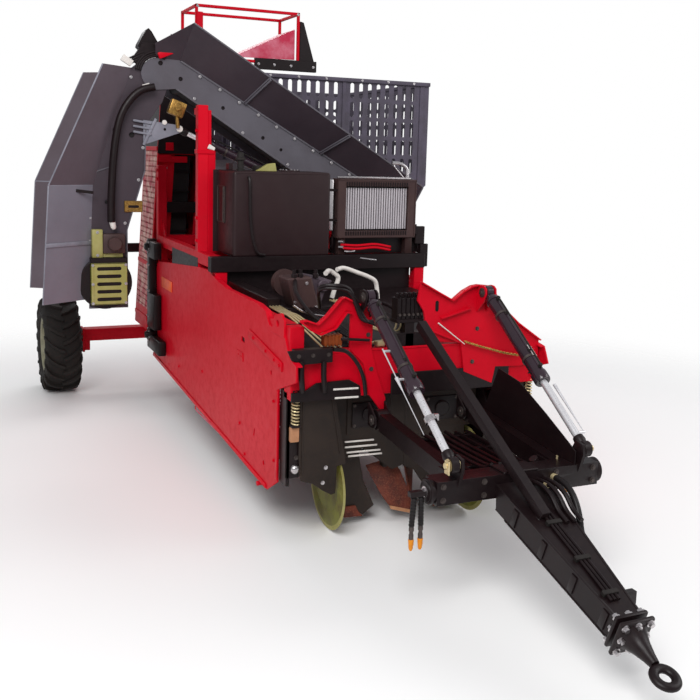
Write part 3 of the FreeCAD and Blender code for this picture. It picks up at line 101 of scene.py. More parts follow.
def at(x: float, y: float, z: float) -> Vector:
    """A place on the machine, in the frame's metres.

    Args:
        x, y, z: millimetres from the centre line, the datum across and the ground.

    Returns:
        The same place in metres.
    """
    return TO_FRAME @ Vector((x, y, z))


def linear(code: str) -> Tuple[float, float, float, float]:
    """Turns an sRGB hex colour into linear RGBA.

    Args:
        code: the colour, as "#RRGGBB".

    Returns:
        Four linear values.
    """
    def one(pair: str) -> float:
        """One channel, from its two hex digits."""
        share = int(pair, 16) / 255
        return share / 12.92 if share <= 0.04045 else ((share + 0.055) / 1.055) ** 2.4

    return (one(code[1:3]), one(code[3:5]), one(code[5:7]), 1.0)


def node(tree: bpy.types.NodeTree, kind: str, settings: Optional[Dict] = None,
         links: Optional[Dict] = None) -> bpy.types.Node:
    """Adds a node with its settings and links.

    Args:
        tree: the tree that it goes in.
        kind: the node's type name.
        settings: properties and input values, by name or number.
        links: the outputs that feed its inputs, by name or number.

    Returns:
        The new node.
    """
    made = tree.nodes.new(kind)
    for key, value in (settings or {}).items():
        if isinstance(key, str) and hasattr(made, key):
            setattr(made, key, value)
        else:
            made.inputs[key].default_value = value
    for key, source in (links or {}).items():
        tree.links.new(source, made.inputs[key])
    return made


# ------------------------------------------------------------------ finishes
@dataclass(frozen=True)
class Finish:
    """A surface: its colours, gloss, mottle, dirt and fine relief. Lengths are in metres."""

    name: str
    slot: str
    colour: str
    shade: str
    roughness: float = 0.4
    metallic: float = 0.0
    grain: float = 0.3
    mottle: float = 0.5
    stretch: Tuple[float, float, float] = (1.0, 1.0, 1.0)
    dirt: str = "#4A3B30"
    dirt_share: float = 0.25
    spread: float = 0.08
    bump: float = 0.0002
    bump_size: float = 0.006
    coat: float = 0.0
    specular: float = 0.3

    def material(self) -> bpy.types.Material:
        """Makes the node material the first time, and returns the same one after that."""
        known = bpy.data.materials.get(self.name)
        if known is not None:
            return known
        made = bpy.data.materials.new(self.name)
        made.use_nodes = True
        tree = made.node_tree
        tree.nodes.clear()
        coords = node(tree, "ShaderNodeTexCoord")
        turned = node(tree, "ShaderNodeMapping", {"Scale": self.stretch},
                      {"Vector": coords.outputs["Object"]})
        cloud = node(tree, "ShaderNodeTexNoise",
                     {"Scale": 1 / self.grain, "Detail": 5.0, "Roughness": 0.6},
                     {"Vector": turned.outputs[0]})
        blotch = node(tree, "ShaderNodeMapRange",
                      {"From Min": CLOUD_RANGE[0], "From Max": CLOUD_RANGE[1], "To Max": self.mottle},
                      {"Value": cloud.outputs["Fac"]})
        paint = node(tree, "ShaderNodeMix", {"data_type": "RGBA", 6: linear(self.colour),
                                             7: linear(self.shade)}, {0: blotch.outputs[0]})
        specks = node(tree, "ShaderNodeTexNoise",
                      {"Scale": SPECKS_PER_GRAIN / self.grain, "Detail": 8.0, "Roughness": 0.7},
                      {"Vector": turned.outputs[0]})
        height = node(tree, "ShaderNodeSeparateXYZ", {}, {0: coords.outputs["Object"]})
        low = node(tree, "ShaderNodeMapRange",
                   {"From Max": DIRTY_BELOW, "To Min": 1.0, "To Max": DIRT_LEFT_ABOVE},
                   {"Value": height.outputs["Z"]})
        dust = node(tree, "ShaderNodeMapRange",
                    {"From Min": SPECK_RANGE[0], "From Max": SPECK_RANGE[1], "To Max": self.dirt_share},
                    {"Value": specks.outputs["Fac"]})
        share = node(tree, "ShaderNodeMath", {"operation": "MULTIPLY"},
                     {0: low.outputs[0], 1: dust.outputs[0]})
        worn = node(tree, "ShaderNodeMix", {"data_type": "RGBA", 7: linear(self.dirt)},
                    {0: share.outputs[0], 6: paint.outputs[2]})
        gloss = node(tree, "ShaderNodeMapRange",
                     {"From Min": GLOSS_RANGE[0], "From Max": GLOSS_RANGE[1],
                      "To Min": max(0.02, self.roughness - self.spread),
                      "To Max": min(1.0, self.roughness + self.spread)},
                     {"Value": specks.outputs["Fac"]})
        relief = node(tree, "ShaderNodeTexNoise", {"Scale": 1 / self.bump_size, "Detail": 2.0},
                      {"Vector": turned.outputs[0]})
        bump = node(tree, "ShaderNodeBump", {"Strength": RELIEF_STRENGTH, "Distance": self.bump},
                    {"Height": relief.outputs["Fac"]})
        shader = node(tree, "ShaderNodeBsdfPrincipled",
                      {"Metallic": self.metallic, "Specular IOR Level": self.specular,
                       "Coat Weight": self.coat, "Coat Roughness": COAT_ROUGHNESS},
                      {"Base Color": worn.outputs[2], "Roughness": gloss.outputs[0],
                       "Normal": bump.outputs[0]})
        node(tree, "ShaderNodeOutputMaterial", {}, {"Surface": shader.outputs[0]})
        return made


class Look(Enum):
    """The harvester's finishes, by the piece that they are known from."""

    # Two-pack machine enamel: a deep even red, specked with a darker crimson that thickens towards the
    # bottom.
    RED = Finish("Red_machine_enamel", "red_enamel", "#C6021C", "#CE1026", 0.42, mottle=0.7,
                 grain=0.55, dirt="#8A0818", dirt_share=0.4, bump_size=0.012, specular=0.1)
    # The same enamel inside the hood, where beets have rubbed and bleached it.
    PINK = Finish("Rubbed_red_enamel", "red_enamel", "#C02648", "#DC8496", 0.5, mottle=0.9,
                  grain=0.22, dirt="#7A2030", dirt_share=0.5)
    # Red enamel on the elevator's slotted strip, mottled with a pale cream pink that is painted light:
    # the light that shows through the slots.
    SLOT_LIGHT = Finish("Red_enamel_painted_slot_light", "red_enamel", "#B8384A", "#E6C4B4", 0.55, mottle=1.0,
                      grain=0.12, dirt="#8A2434", dirt_share=0.5)
    # Chassis enamel: near black with a brown cast, half gloss, catching thin light edges.
    BLACK = Finish("Black_chassis_enamel", "black_enamel", "#150B0D", "#201416", 0.42,
                   dirt="#31231C", dirt_share=0.3, specular=0.25)
    # Guard enamel: the same black under dried earth, matt brown-black.
    EARTHY = Finish("Earth_stained_guard_enamel", "black_enamel", "#2A1F19", "#1C1310", 0.6,
                    grain=0.25, mottle=0.8, dirt="#463628", dirt_share=0.4)
    # Conveyor enamel: warm mid grey, satin, with soft cloudy patches.
    GREY = Finish("Grey_conveyor_enamel", "grey_enamel", "#524D53", "#636068", 0.42,
                  mottle=0.8, grain=0.6, dirt="#3A3233", dirt_share=0.35)
    # The flare walls and the folding section's near plate: the conveyor's grey made darker and browner
    # than the frames that carry them, as painted shade.
    SHADE_GREY = Finish("Grey_enamel_painted_shade", "grey_enamel", "#3A3037", "#463C43", 0.5, mottle=0.8,
                   grain=0.7, dirt="#2A2426", dirt_share=0.3)
    # The folding section's upper flare: brown grey, lighter than the flare beside it.
    UMBER = Finish("Brown_grey_flare_enamel", "grey_enamel", "#574B51", "#625860", 0.5,
                   mottle=0.8, grain=0.7, dirt="#3A3034", dirt_share=0.3)
    # Its lower near flare, in a paler grey than the flares beside it.
    PALE_GREY = Finish("Pale_grey_flare_enamel", "grey_enamel", "#6E6A74", "#7A7680", 0.46,
                    mottle=0.8, grain=0.7, dirt="#4A444A", dirt_share=0.3)
    # Bunker sheet: lilac grey, dry and grainy after a season of stones.
    BUNKER = Finish("Stone_scuffed_bunker_enamel", "grey_enamel", "#544D5C", "#454048", 0.6,
                    mottle=0.8, grain=0.16, dirt="#33302F", dirt_share=0.5, bump=0.0006)
    # Tank enamel: black-brown and satin, almost one flat dark field.
    TANK = Finish("Brown_black_tank_enamel", "tank_paint", "#2B191B", "#221517", 0.45,
                  grain=0.8, dirt="#3C2A24", dirt_share=0.2)
    # Cooler surround and gear case: the same brown enamel, redder, greyed by dust.
    SURROUND = Finish("Dusty_cooler_enamel", "tank_paint", "#44302E", "#38262A", 0.5,
                      grain=0.2, dirt="#5A463A", dirt_share=0.4)
    # Pump casting: greyish purple, thinly painted aluminium.
    PUMP = Finish("Grey_purple_pump_enamel", "hub_iron", "#4A3E46", "#5A4F58", 0.5, 0.2,
                  grain=0.1, dirt="#2A2024", dirt_share=0.4)
    # Tyre rubber: charcoal, matt, with earth in the tread.
    TYRE = Finish("Tread_rubber", "tyre_rubber", "#1A1716", "#26211E", 0.78, grain=0.12,
                  dirt="#4B4034", dirt_share=0.5, bump=0.0009, bump_size=0.005)
    # Rim enamel: cream gone grey-green.
    RIM = Finish("Cream_rim_enamel", "rim_paint", "#8F8B74", "#6F6B58", 0.5, grain=0.1,
                 dirt="#3F382E", dirt_share=0.6)
    # Cast iron hub: dark, pebbly and dry.
    HUB = Finish("Sand_cast_iron", "hub_iron", "#2E2B2A", "#3B3634", 0.66, 0.6, grain=0.05,
                 bump=0.0008, bump_size=0.004)
    # Cylinder enamel: aubergine black, glossy, drawing one long highlight down the barrel.
    BARREL = Finish("Aubergine_cylinder_enamel", "cylinder_paint", "#2A1C24", "#3C2C36", 0.2,
                    grain=0.2, dirt="#1C1014", dirt_share=0.3, coat=0.4)
    # Hard chrome: a bright even mirror with a film of oil.
    CHROME = Finish("Hard_chrome_plate", "rod_chrome", "#F2F0F2", "#DCD8DC", 0.3, 0.7,
                    grain=0.08, dirt="#9A9296", dirt_share=0.2, spread=0.04, bump=0.00002)
    # Bright zinc plate: bolt heads, nipples and clips, small cold sparks.
    ZINC = Finish("Bright_zinc_plate", "rod_chrome", "#CFCACB", "#A9A3A5", 0.3, 1.0,
                  grain=0.03, dirt="#6E655F", dirt_share=0.3)
    # Phosphated steel: bolt heads gone dark and dull among the soil.
    DULL = Finish("Phosphated_steel", "hub_iron", "#4E4644", "#6A605C", 0.5, 0.7,
                  grain=0.03, dirt="#2E2420", dirt_share=0.4)
    # Yellow chromate over zinc: the straw-gold of hydraulic pipes.
    GOLD = Finish("Yellow_chromate_plate", "zinc_steel", "#D9C79C", "#BFA675", 0.36, 0.6,
                  grain=0.06, dirt="#5D4A2E", dirt_share=0.4)
    # Old brass-plated chain: dull ochre with black in its corners.
    BRASS = Finish("Tarnished_brass_plate", "zinc_steel", "#B48C4A", "#7A5A2E", 0.42, 0.8,
                   grain=0.015, mottle=0.9, dirt="#2A1C12", dirt_share=0.7)
    # Copper-painted valve section: orange brown under oil.
    COPPER = Finish("Oiled_copper_enamel", "zinc_steel", "#9C4A20", "#7A2C1A", 0.4, 0.4,
                    grain=0.03, dirt="#C09A60", dirt_share=0.6)
    # Ribbed carrying belt: black rubber greyed with soil.
    BELT = Finish("Ribbed_belt_rubber", "belt_rubber", "#1B1819", "#292425", 0.72, grain=0.09,
                  dirt="#4C3E33", dirt_share=0.6, bump=0.0008)
    # Cooler fins: bare rolled aluminium, pale, streaked from top to bottom.
    FIN = Finish("Rolled_aluminium_fin", "fin_aluminium", "#D2CBCF", "#AAA3AA", 0.38, 0.35,
                 grain=0.02, stretch=(1.0, 1.0, 0.06), dirt="#7A7276", dirt_share=0.4)
    # Share steel: forged, rubbed red-brown by soil, tan along its lower edge.
    RUST = Finish("Soil_rubbed_share_steel", "worn_steel", "#6A2C1C", "#441A14", 0.5, 0.15,
                  grain=0.07, mottle=0.95, dirt="#A86A4C", dirt_share=0.7, bump=0.0006)
    # Share edge: the same steel, scoured bright and stained tan.
    SCOURED = Finish("Scoured_share_edge_steel", "worn_steel", "#B98562", "#9A6A48", 0.45, 0.2,
                     grain=0.05, dirt="#6A3A24", dirt_share=0.4)
    # Rolling disc: olive paint worn through in rings to brown.
    OLIVE = Finish("Olive_disc_enamel", "olive_steel", "#74761E", "#4A3A14", 0.4, 0.1,
                   grain=0.16, mottle=0.9, dirt="#9DA457", dirt_share=0.4)
    # Motor enamel: cream-green, satin and chalky.
    CREAM = Finish("Cream_motor_enamel", "cream_paint", "#969050", "#A8A26A", 0.5, grain=0.2,
                   mottle=0.8, dirt="#5E5328", dirt_share=0.5)
    # Moulded polyethylene cap: flat orange with a waxy sheen.
    CAP = Finish("Moulded_orange_polyethylene", "cap_plastic", "#E08A10", "#C06A0C", 0.46,
                 grain=0.02, dirt="#5A3A14", dirt_share=0.4)
    # Acrylic reflector: soft amber, its edges lost in the red around it.
    AMBER = Finish("Amber_acrylic_reflector", "cap_plastic", "#F06428", "#E03C1C", 0.4,
                   grain=0.06, mottle=0.9, dirt_share=0.1)
    # Braided hose cover: black nitrile, slightly shiny along its back.
    HOSE = Finish("Nitrile_hose_cover", "hose_rubber", "#120D0E", "#1D1719", 0.46, grain=0.03,
                  dirt="#2C221B", dirt_share=0.4, bump=0.0005, bump_size=0.003)
    # Bracket enamel: blue-grey, thin over bright steel.
    LUG = Finish("Blue_grey_bracket_enamel", "grey_enamel", "#75757F", "#8C8B96", 0.42,
                 grain=0.2, mottle=0.8, dirt="#4A4648", dirt_share=0.3)
    # Blank vinyl patch and painted pipes: off-white, gone chalky.
    VINYL = Finish("Chalky_white_enamel", "rim_paint", "#E2DCD6", "#C9C0BA", 0.6, grain=0.03,
                   dirt="#8A8078", dirt_share=0.3)

    def material(self) -> bpy.types.Material:
        """The node material of this finish."""
        return self.value.material()


# ------------------------------------------------------------------ meshes
def smooth_path(points: Sequence[Point], steps: int = 6) -> List[Vector]:
    """A smooth line through points.

    Args:
        points: places that it passes.
        steps: how many pieces each stretch is cut into.

    Returns:
        The line's own points.
    """
    spots = [Vector(p) for p in points]
    ends = [2 * spots[0] - spots[1]] + spots + [2 * spots[-1] - spots[-2]]
    line = []
    for a, b, c, d in zip(ends, ends[1:], ends[2:], ends[3:]):
        for step in range(steps):
            t = step / steps
            line.append(0.5 * (2 * b + (c - a) * t + (2 * a - 5 * b + 4 * c - d) * t ** 2
                               + (3 * b - a - 3 * c + d) * t ** 3))
    return line + [spots[-1]]


def circle(across: float, up: float, radius: float, sides: int = 14) -> List[Tuple[float, float]]:
    """The outline of a round hole or disc."""
    return [(across + radius * math.cos(2 * math.pi * k / sides),
             up + radius * math.sin(2 * math.pi * k / sides)) for k in range(sides)]


def rectangle(left: float, low: float, right: float, high: float) -> Flat:
    """The outline of a rectangle."""
    return [(left, low), (right, low), (right, high), (left, high)]


def bolt_circle(centre: Point, facing: int, radius: float, count: int,
                start: float = 0.0) -> List[Tuple[Point, Point]]:
    """Places for bolts round an axis along X.

    Args:
        centre: the middle of their circle.
        facing: 1 or -1, the way along X that they face.
        radius: the circle's radius.
        count: how many there are.
        start: the first one's angle in radians.

    Returns:
        (place, direction) pairs.
    """
    x, y, z = centre
    angles = [2 * math.pi * k / count + start for k in range(count)]
    return [((x, y + radius * math.cos(a), z + radius * math.sin(a)), (facing, 0, 0))
            for a in angles]


def ease_edges(part: bmesh.types.BMesh, wide: float, rounds: int) -> None:
    """Cuts back every sharp edge of a solid.

    Args:
        part: the solid.
        wide: how far the edges are cut back.
        rounds: how many faces each of them gets.
    """
    sharp = [e for e in part.edges if len(e.link_faces) == 2 and e.calc_face_angle() > EASE_ANGLE]
    bmesh.ops.bevel(part, geom=sharp, offset=wide, segments=rounds, profile=0.5,
                    affect="EDGES", clamp_overlap=True)


def slotted(across: float, up: float, wide: float, high: float, turn: float = 0.0) -> Flat:
    """The outline of a round-ended slot.

    Args:
        across, up: its middle.
        wide, high: its sizes; the ends are rounded along the longer one.
        turn: degrees that it leans.

    Returns:
        The outline's corners.
    """
    small, run = min(wide, high) / 2, abs(high - wide) / 2
    spots, sides = [], 12
    for k in range(sides):
        angle = 2 * math.pi * (k + 0.5) / sides
        a, b = small * math.cos(angle), small * math.sin(angle)
        if high >= wide:
            b += math.copysign(run, b)
        else:
            a += math.copysign(run, a)
        lean = math.radians(turn)
        spots.append((across + a * math.cos(lean) - b * math.sin(lean),
                      up + a * math.sin(lean) + b * math.cos(lean)))
    return spots


class Shape:
    """One mesh, grown solid by solid in the machine's own millimetres."""

    def __init__(self) -> None:
        """Starts with nothing."""
        self.mesh = bmesh.new()

    def take(self, part: bmesh.types.BMesh, ease: float = 0.0, rounds: int = 1) -> "Shape":
        """Adds one closed solid and eases its edges.

        Args:
            part: the solid, which is used up.
            ease: how wide its edges are cut back.
            rounds: how many faces each eased edge has.

        Returns:
            This shape, so that calls can be chained.
        """
        bmesh.ops.remove_doubles(part, verts=part.verts, dist=0.01)
        bmesh.ops.recalc_face_normals(part, faces=part.faces)
        if ease:
            ease_edges(part, ease, rounds)
        scratch = bpy.data.meshes.new("scratch")
        part.to_mesh(scratch)
        part.free()
        self.mesh.from_mesh(scratch)
        bpy.data.meshes.remove(scratch)
        return self

    def box(self, low: Point, high: Point, ease: float = 2.0, rounds: int = 1,
            turn: Optional[Matrix] = None) -> "Shape":
        """A block between two corners.

        Args:
            low, high: opposite corners, either way round.
            ease: how wide its edges are cut back.
            rounds: how many faces each eased edge has.
            turn: how it is turned about its own middle.

        Returns:
            This shape.
        """
        part = bmesh.new()
        bmesh.ops.create_cube(part, size=1.0)
        size = Vector([abs(b - a) for a, b in zip(low, high)])
        middle = (Vector(low) + Vector(high)) / 2
        spin = turn if turn is not None else Matrix.Identity(4)
        bmesh.ops.transform(part, verts=part.verts,
                            matrix=Matrix.Translation(middle) @ spin @ Matrix.Diagonal((*size, 1)))
        return self.take(part, ease, rounds)

    def beam(self, start: Point, end: Point, wide: float, high: float,
             ease: float = 5.0) -> "Shape":
        """A square tube's outside between two points, its width level.

        Args:
            start, end: the middles of its ends.
            wide, high: its section.
            ease: how wide its edges are cut back.

        Returns:
            This shape.
        """
        line = Vector(end) - Vector(start)
        along = line.normalized()
        up = Vector(UP) if abs(along.z) < STEEP else Vector(BACK)
        side = along.cross(up).normalized()
        top = side.cross(along)
        turn = Matrix((side, along, top)).transposed().to_4x4()
        part = bmesh.new()
        bmesh.ops.create_cube(part, size=1.0)
        middle = (Vector(start) + Vector(end)) / 2
        bmesh.ops.transform(part, verts=part.verts, matrix=Matrix.Translation(middle) @ turn
                            @ Matrix.Diagonal((wide, line.length, high, 1)))
        return self.take(part, ease, rounds=2)

    def plate(self, plane: str, outline: Flat, start: float, thick: float,
              holes: Sequence[Flat] = (), ease: float = SHEET_EASE) -> "Shape":
        """A flat plate with real holes.

        Args:
            plane: "xy", "xz" or "yz".
            outline: its corners on that plane.
            start: where it begins along the third axis.
            thick: how far it goes from there.
            holes: outlines cut out of it.
            ease: how wide its edges are cut back.

        Returns:
            This shape.
        """
        order = {"xy": (0, 1, 2), "xz": (0, 2, 1), "yz": (1, 2, 0)}[plane]
        part = bmesh.new()
        edges = []
        for loop in [outline, *holes]:
            ring = []
            for a, b in loop:
                spot = [0.0, 0.0, 0.0]
                spot[order[0]], spot[order[1]], spot[order[2]] = a, b, start
                ring.append(part.verts.new(spot))
            edges += [part.edges.new(pair) for pair in zip(ring, ring[1:] + ring[:1])]
        if holes:
            bmesh.ops.triangle_fill(part, edges=edges, use_beauty=True, use_dissolve=False)
        else:
            part.faces.new(part.verts[:])
        shift = Vector((0.0, 0.0, 0.0))
        shift[order[2]] = thick
        flats, rims = part.faces[:], [e for e in part.edges if len(e.link_faces) == 1]
        twin = {v: part.verts.new(v.co + shift) for v in part.verts[:]}
        for face in flats:
            part.faces.new([twin[v] for v in face.verts])
        for edge in rims:
            a, b = edge.verts
            part.faces.new((a, b, twin[b], twin[a]))
        return self.take(part, ease)

    def rod(self, start: Point, end: Point, radius: float, tip: Optional[float] = None,
            sides: int = 20) -> "Shape":
        """A round bar or cone between two points.

        Args:
            start, end: the middles of its ends.
            radius: its radius, at the start where it is a cone.
            tip: a cone's radius at the end.
            sides: how many faces go round.

        Returns:
            This shape.
        """
        line = Vector(end) - Vector(start)
        part = bmesh.new()
        bmesh.ops.create_cone(part, cap_ends=True, segments=sides, radius1=radius,
                              radius2=radius if tip is None else tip, depth=line.length)
        middle = (Vector(start) + Vector(end)) / 2
        bmesh.ops.transform(part, verts=part.verts, matrix=Matrix.Translation(middle)
                            @ line.to_track_quat("Z", "Y").to_matrix().to_4x4())
        return self.take(part)

    def lathe(self, profile: Flat, spot: Point, axis: Point = LEFT,
              sides: int = 48) -> "Shape":
        """A solid turned about an axis.

        Args:
            profile: (distance along the axis, radius) in order, a ring unless it starts
                and ends on the axis.
            spot: where distance 0 is.
            axis: the direction that the distance runs.
            sides: how many faces go round.

        Returns:
            This shape.
        """
        spin = Vector(axis).to_track_quat("Z", "Y").to_matrix()
        part = bmesh.new()
        rings = []
        for along, radius in profile:
            count = sides if radius else 1
            rings.append([part.verts.new(Vector(spot) + spin @ Vector(
                (radius * math.cos(2 * math.pi * k / sides),
                 radius * math.sin(2 * math.pi * k / sides), along))) for k in range(count)])
        closed = profile[0][1] or profile[-1][1]
        pairs = list(zip(rings, rings[1:])) + ([(rings[-1], rings[0])] if closed else [])
        for a, b in pairs:
            for k in range(sides):
                n = (k + 1) % sides
                ring = [a[k % len(a)], a[n % len(a)], b[n % len(b)], b[k % len(b)]]
                kept = [v for i, v in enumerate(ring) if v not in ring[:i]]
                if len(kept) > 2:
                    part.faces.new(kept)
        return self.take(part)

    def sweep(self, line: Sequence[Point], radius: float, sides: int = 10) -> "Shape":
        """A round tube along the points of a line, closed at both ends.

        Args:
            line: the points.
            radius: the tube's radius.
            sides: how many faces go round.

        Returns:
            This shape.
        """
        spots = [Vector(p) for p in line]
        part = bmesh.new()
        ahead = (spots[1] - spots[0]).normalized()
        side = ahead.orthogonal().normalized()
        rings = []
        for k, spot in enumerate(spots):
            near, far = spots[max(0, k - 1)], spots[min(len(spots) - 1, k + 1)]
            turned = (far - near).normalized()
            side = (side - turned * side.dot(turned)).normalized()
            up = turned.cross(side)
            rings.append([part.verts.new(spot + radius * (
                side * math.cos(2 * math.pi * n / sides)
                + up * math.sin(2 * math.pi * n / sides))) for n in range(sides)])
        for a, b in zip(rings, rings[1:]):
            for n in range(sides):
                m = (n + 1) % sides
                part.faces.new((a[n], a[m], b[m], b[n]))
        part.faces.new(rings[0])
        part.faces.new(rings[-1])
        return self.take(part)

    def pipe(self, points: Sequence[Point], radius: float, sides: int = 10) -> "Shape":
        """A bent pipe that passes smoothly through points."""
        return self.sweep(smooth_path(points), radius, sides)

    def wall(self, low: Sequence[Point], high: Sequence[Point], thick: float) -> "Shape":
        """A bent sheet between two rows of points, thickened across its own faces.

        Args:
            low, high: the rows, with as many points each.
            thick: the sheet's thickness, half of it to each side.

        Returns:
            This shape.
        """
        part = bmesh.new()
        rows = [[Vector(p) for p in low], [Vector(p) for p in high]]
        offs = []
        for k in range(len(low)):
            a, b = max(0, k - 1), min(len(low) - 1, k + 1)
            offs.append((rows[0][b] - rows[0][a]).cross(rows[1][k] - rows[0][k]).normalized()
                        * thick / 2)
        grid = [[[part.verts.new(spot + off * sign) for spot, off in zip(row, offs)]
                 for row in rows] for sign in (-1, 1)]
        last = len(low) - 1
        for k in range(last):
            for face in grid:
                part.faces.new((face[0][k], face[0][k + 1], face[1][k + 1], face[1][k]))
            for row in (0, 1):
                part.faces.new((grid[0][row][k], grid[0][row][k + 1],
                                grid[1][row][k + 1], grid[1][row][k]))
        for k in (0, last):
            part.faces.new((grid[0][0][k], grid[0][1][k], grid[1][1][k], grid[1][0][k]))
        return self.take(part, SHEET_EASE)

    def data(self, name: str) -> bpy.types.Mesh:
        """The finished mesh, in the frame's metres.

        Args:
            name: the mesh's name.

        Returns:
            The mesh; the shape itself is used up.
        """
        made = bpy.data.meshes.new(name)
        bmesh.ops.transform(self.mesh, matrix=TO_FRAME, verts=self.mesh.verts)
        self.mesh.to_mesh(made)
        self.mesh.free()
        return made

    def make(self, name: str, look: Look, body: str = "chassis",
             replaces: Sequence[str] = (), smooth: float = 32.0) -> bpy.types.Object:
        """Turns the shape into a dressed piece that rides on a body."""
        return settle(name, self.data(name), look, body, replaces, smooth)


def settle(name: str, data: bpy.types.Mesh, look: Look, body: str,
           replaces: Sequence[str] = (), smooth: float = 32.0) -> bpy.types.Object:
    """Makes a mesh a piece of the machine.

    Args:
        name: the piece's name.
        data: its mesh, in the frame's metres.
        look: its finish.
        body: the CAD body that it rides on.
        replaces: CAD nodes that it stands for.
        smooth: the angle in degrees below which edges are shaded round.

    Returns:
        The piece.
    """
    data.materials.clear()
    data.materials.append(look.material())
    data.shade_smooth()
    data.set_sharp_from_angle(angle=math.radians(smooth))
    made = bpy.data.objects.new(name, data)
    bpy.context.scene.collection.objects.link(made)
    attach(made, body)
    if replaces:
        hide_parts(*replaces)
    LOG.info("%s: %d faces on %s", name, len(data.polygons), body)
    return made


def refined(source: str, look: Look, body: str = "chassis",
            ease: float = 2.5) -> bpy.types.Object:
    """Makes a piece from a CAD node's own shape, with its edges eased.

    Args:
        source: the CAD node.
        look: the finish.
        body: the body that it rides on.
        ease: how wide its edges are cut back, in millimetres.

    Returns:
        The piece.
    """
    part = bmesh.new()
    part.from_mesh(frame["nodes"][source].data)
    bmesh.ops.remove_doubles(part, verts=part.verts, dist=WELD)
    bmesh.ops.dissolve_limit(part, angle_limit=FLAT_ANGLE, verts=part.verts,
                             edges=part.edges)
    ease_edges(part, ease * MM, 1)
    data = bpy.data.meshes.new(source)
    part.to_mesh(data)
    part.free()
    return settle(source + "_shell", data, look, body, [source])


# ------------------------------------------------------------------ repeats
class Pattern:
    """A Geometry Nodes tree with named inputs, which repeats something over the machine."""

    def __init__(self, name: str, sockets: Sequence[Tuple[str, str]]) -> None:
        """Makes the tree and its sockets.

        Args:
            name: what it lays.
            sockets: (input's name, socket type) pairs after the geometry.
        """
        self.tree = bpy.data.node_groups.new(name, "GeometryNodeTree")
        faces = self.tree.interface
        faces.new_socket("Geometry", in_out="INPUT", socket_type="NodeSocketGeometry")
        for label, kind in [*sockets, ("Material", "NodeSocketMaterial")]:
            faces.new_socket(label, in_out="INPUT", socket_type=kind)
        faces.new_socket("Geometry", in_out="OUTPUT", socket_type="NodeSocketGeometry")
        self.ids = {s.name: s.identifier for s in faces.items_tree if s.in_out == "INPUT"}
        self.inputs = node(self.tree, "NodeGroupInput").outputs

    def add(self, kind: str, settings: Optional[Dict] = None,
            links: Optional[Dict] = None) -> bpy.types.Node:
        """Adds a node to this tree.

        Args:
            kind: the node's type name.
            settings: properties and input values, by name or number.
            links: the outputs that feed its inputs, by name or number.

        Returns:
            The new node.
        """
        return node(self.tree, kind, settings, links)

    def close(self, geometry: bpy.types.NodeSocket) -> "Pattern":
        """Ends the tree: real geometry, its material, and out.

        Args:
            geometry: what the tree has made.

        Returns:
            This pattern.
        """
        real = self.add("GeometryNodeRealizeInstances", {}, {0: geometry})
        painted = self.add("GeometryNodeSetMaterial", {},
                           {"Geometry": real.outputs[0], "Material": self.inputs["Material"]})
        self.add("NodeGroupOutput", {}, {0: painted.outputs[0]})
        return self

    def mesh(self, base: bpy.types.Mesh, look: Look, **sizes: object) -> bpy.types.Mesh:
        """Runs the tree on a mesh.

        Args:
            base: what goes in, in the frame's metres.
            look: the material of what comes out.
            sizes: values for the tree's own inputs, with _ for a space.

        Returns:
            A plain mesh.
        """
        holder = bpy.data.objects.new("holder", base)
        changer = holder.modifiers.new("Repeat", "NODES")
        changer.node_group = self.tree
        changer[self.ids["Material"]] = look.material()
        for label, number in sizes.items():
            changer[self.ids[label.replace("_", " ")]] = number
        bpy.context.scene.collection.objects.link(holder)
        graph = bpy.context.evaluated_depsgraph_get()
        made = bpy.data.meshes.new_from_object(holder.evaluated_get(graph))
        bpy.data.objects.remove(holder)
        return made


def bolt_pattern() -> Pattern:
    """Hexagon heads on washers, one at each vertex, standing along its "aim".

    Returns:
        The tree.
    """
    # Shares of the head: how far its middle is raised, and the washer's radius and height.
    lift, washer_wide, washer_high = 0.7, 1.45, 0.5
    made = Pattern("Bolt heads", [("Head", "NodeSocketFloat"), ("Height", "NodeSocketFloat")])
    head, height = made.inputs["Head"], made.inputs["Height"]
    hexagon = made.add("GeometryNodeMeshCylinder", {"Vertices": 6},
                       {"Radius": head, "Depth": height})
    half = made.add("ShaderNodeMath", {"operation": "MULTIPLY", 1: lift}, {0: height})
    raise_by = made.add("ShaderNodeCombineXYZ", {}, {"Z": half.outputs[0]})
    raised = made.add("GeometryNodeTransform", {},
                      {"Geometry": hexagon.outputs[0], "Translation": raise_by.outputs[0]})
    wide = made.add("ShaderNodeMath", {"operation": "MULTIPLY", 1: washer_wide}, {0: head})
    thin = made.add("ShaderNodeMath", {"operation": "MULTIPLY", 1: washer_high}, {0: height})
    washer = made.add("GeometryNodeMeshCylinder", {"Vertices": 14},
                      {"Radius": wide.outputs[0], "Depth": thin.outputs[0]})
    both = made.add("GeometryNodeJoinGeometry")
    made.tree.links.new(raised.outputs[0], both.inputs[0])
    made.tree.links.new(washer.outputs[0], both.inputs[0])
    aim = made.add("GeometryNodeInputNamedAttribute", {"data_type": "FLOAT_VECTOR",
                                                       "Name": "aim"})
    turn = made.add("FunctionNodeAlignRotationToVector", {"axis": "Z"},
                    {"Vector": aim.outputs[0]})
    laid = made.add("GeometryNodeInstanceOnPoints", {},
                    {"Points": made.inputs["Geometry"], "Instance": both.outputs[0],
                     "Rotation": turn.outputs[0]})
    return made.close(laid.outputs[0])


def row_pattern() -> Pattern:
    """The item that comes in, repeated along a straight step.

    Returns:
        The tree.
    """
    made = Pattern("Row", [("Count", "NodeSocketInt"), ("Step", "NodeSocketVector")])
    line = made.add("GeometryNodeMeshLine", {"mode": "OFFSET"},
                    {"Count": made.inputs["Count"], "Offset": made.inputs["Step"]})
    laid = made.add("GeometryNodeInstanceOnPoints", {},
                    {"Points": line.outputs[0], "Instance": made.inputs["Geometry"]})
    return made.close(laid.outputs[0])


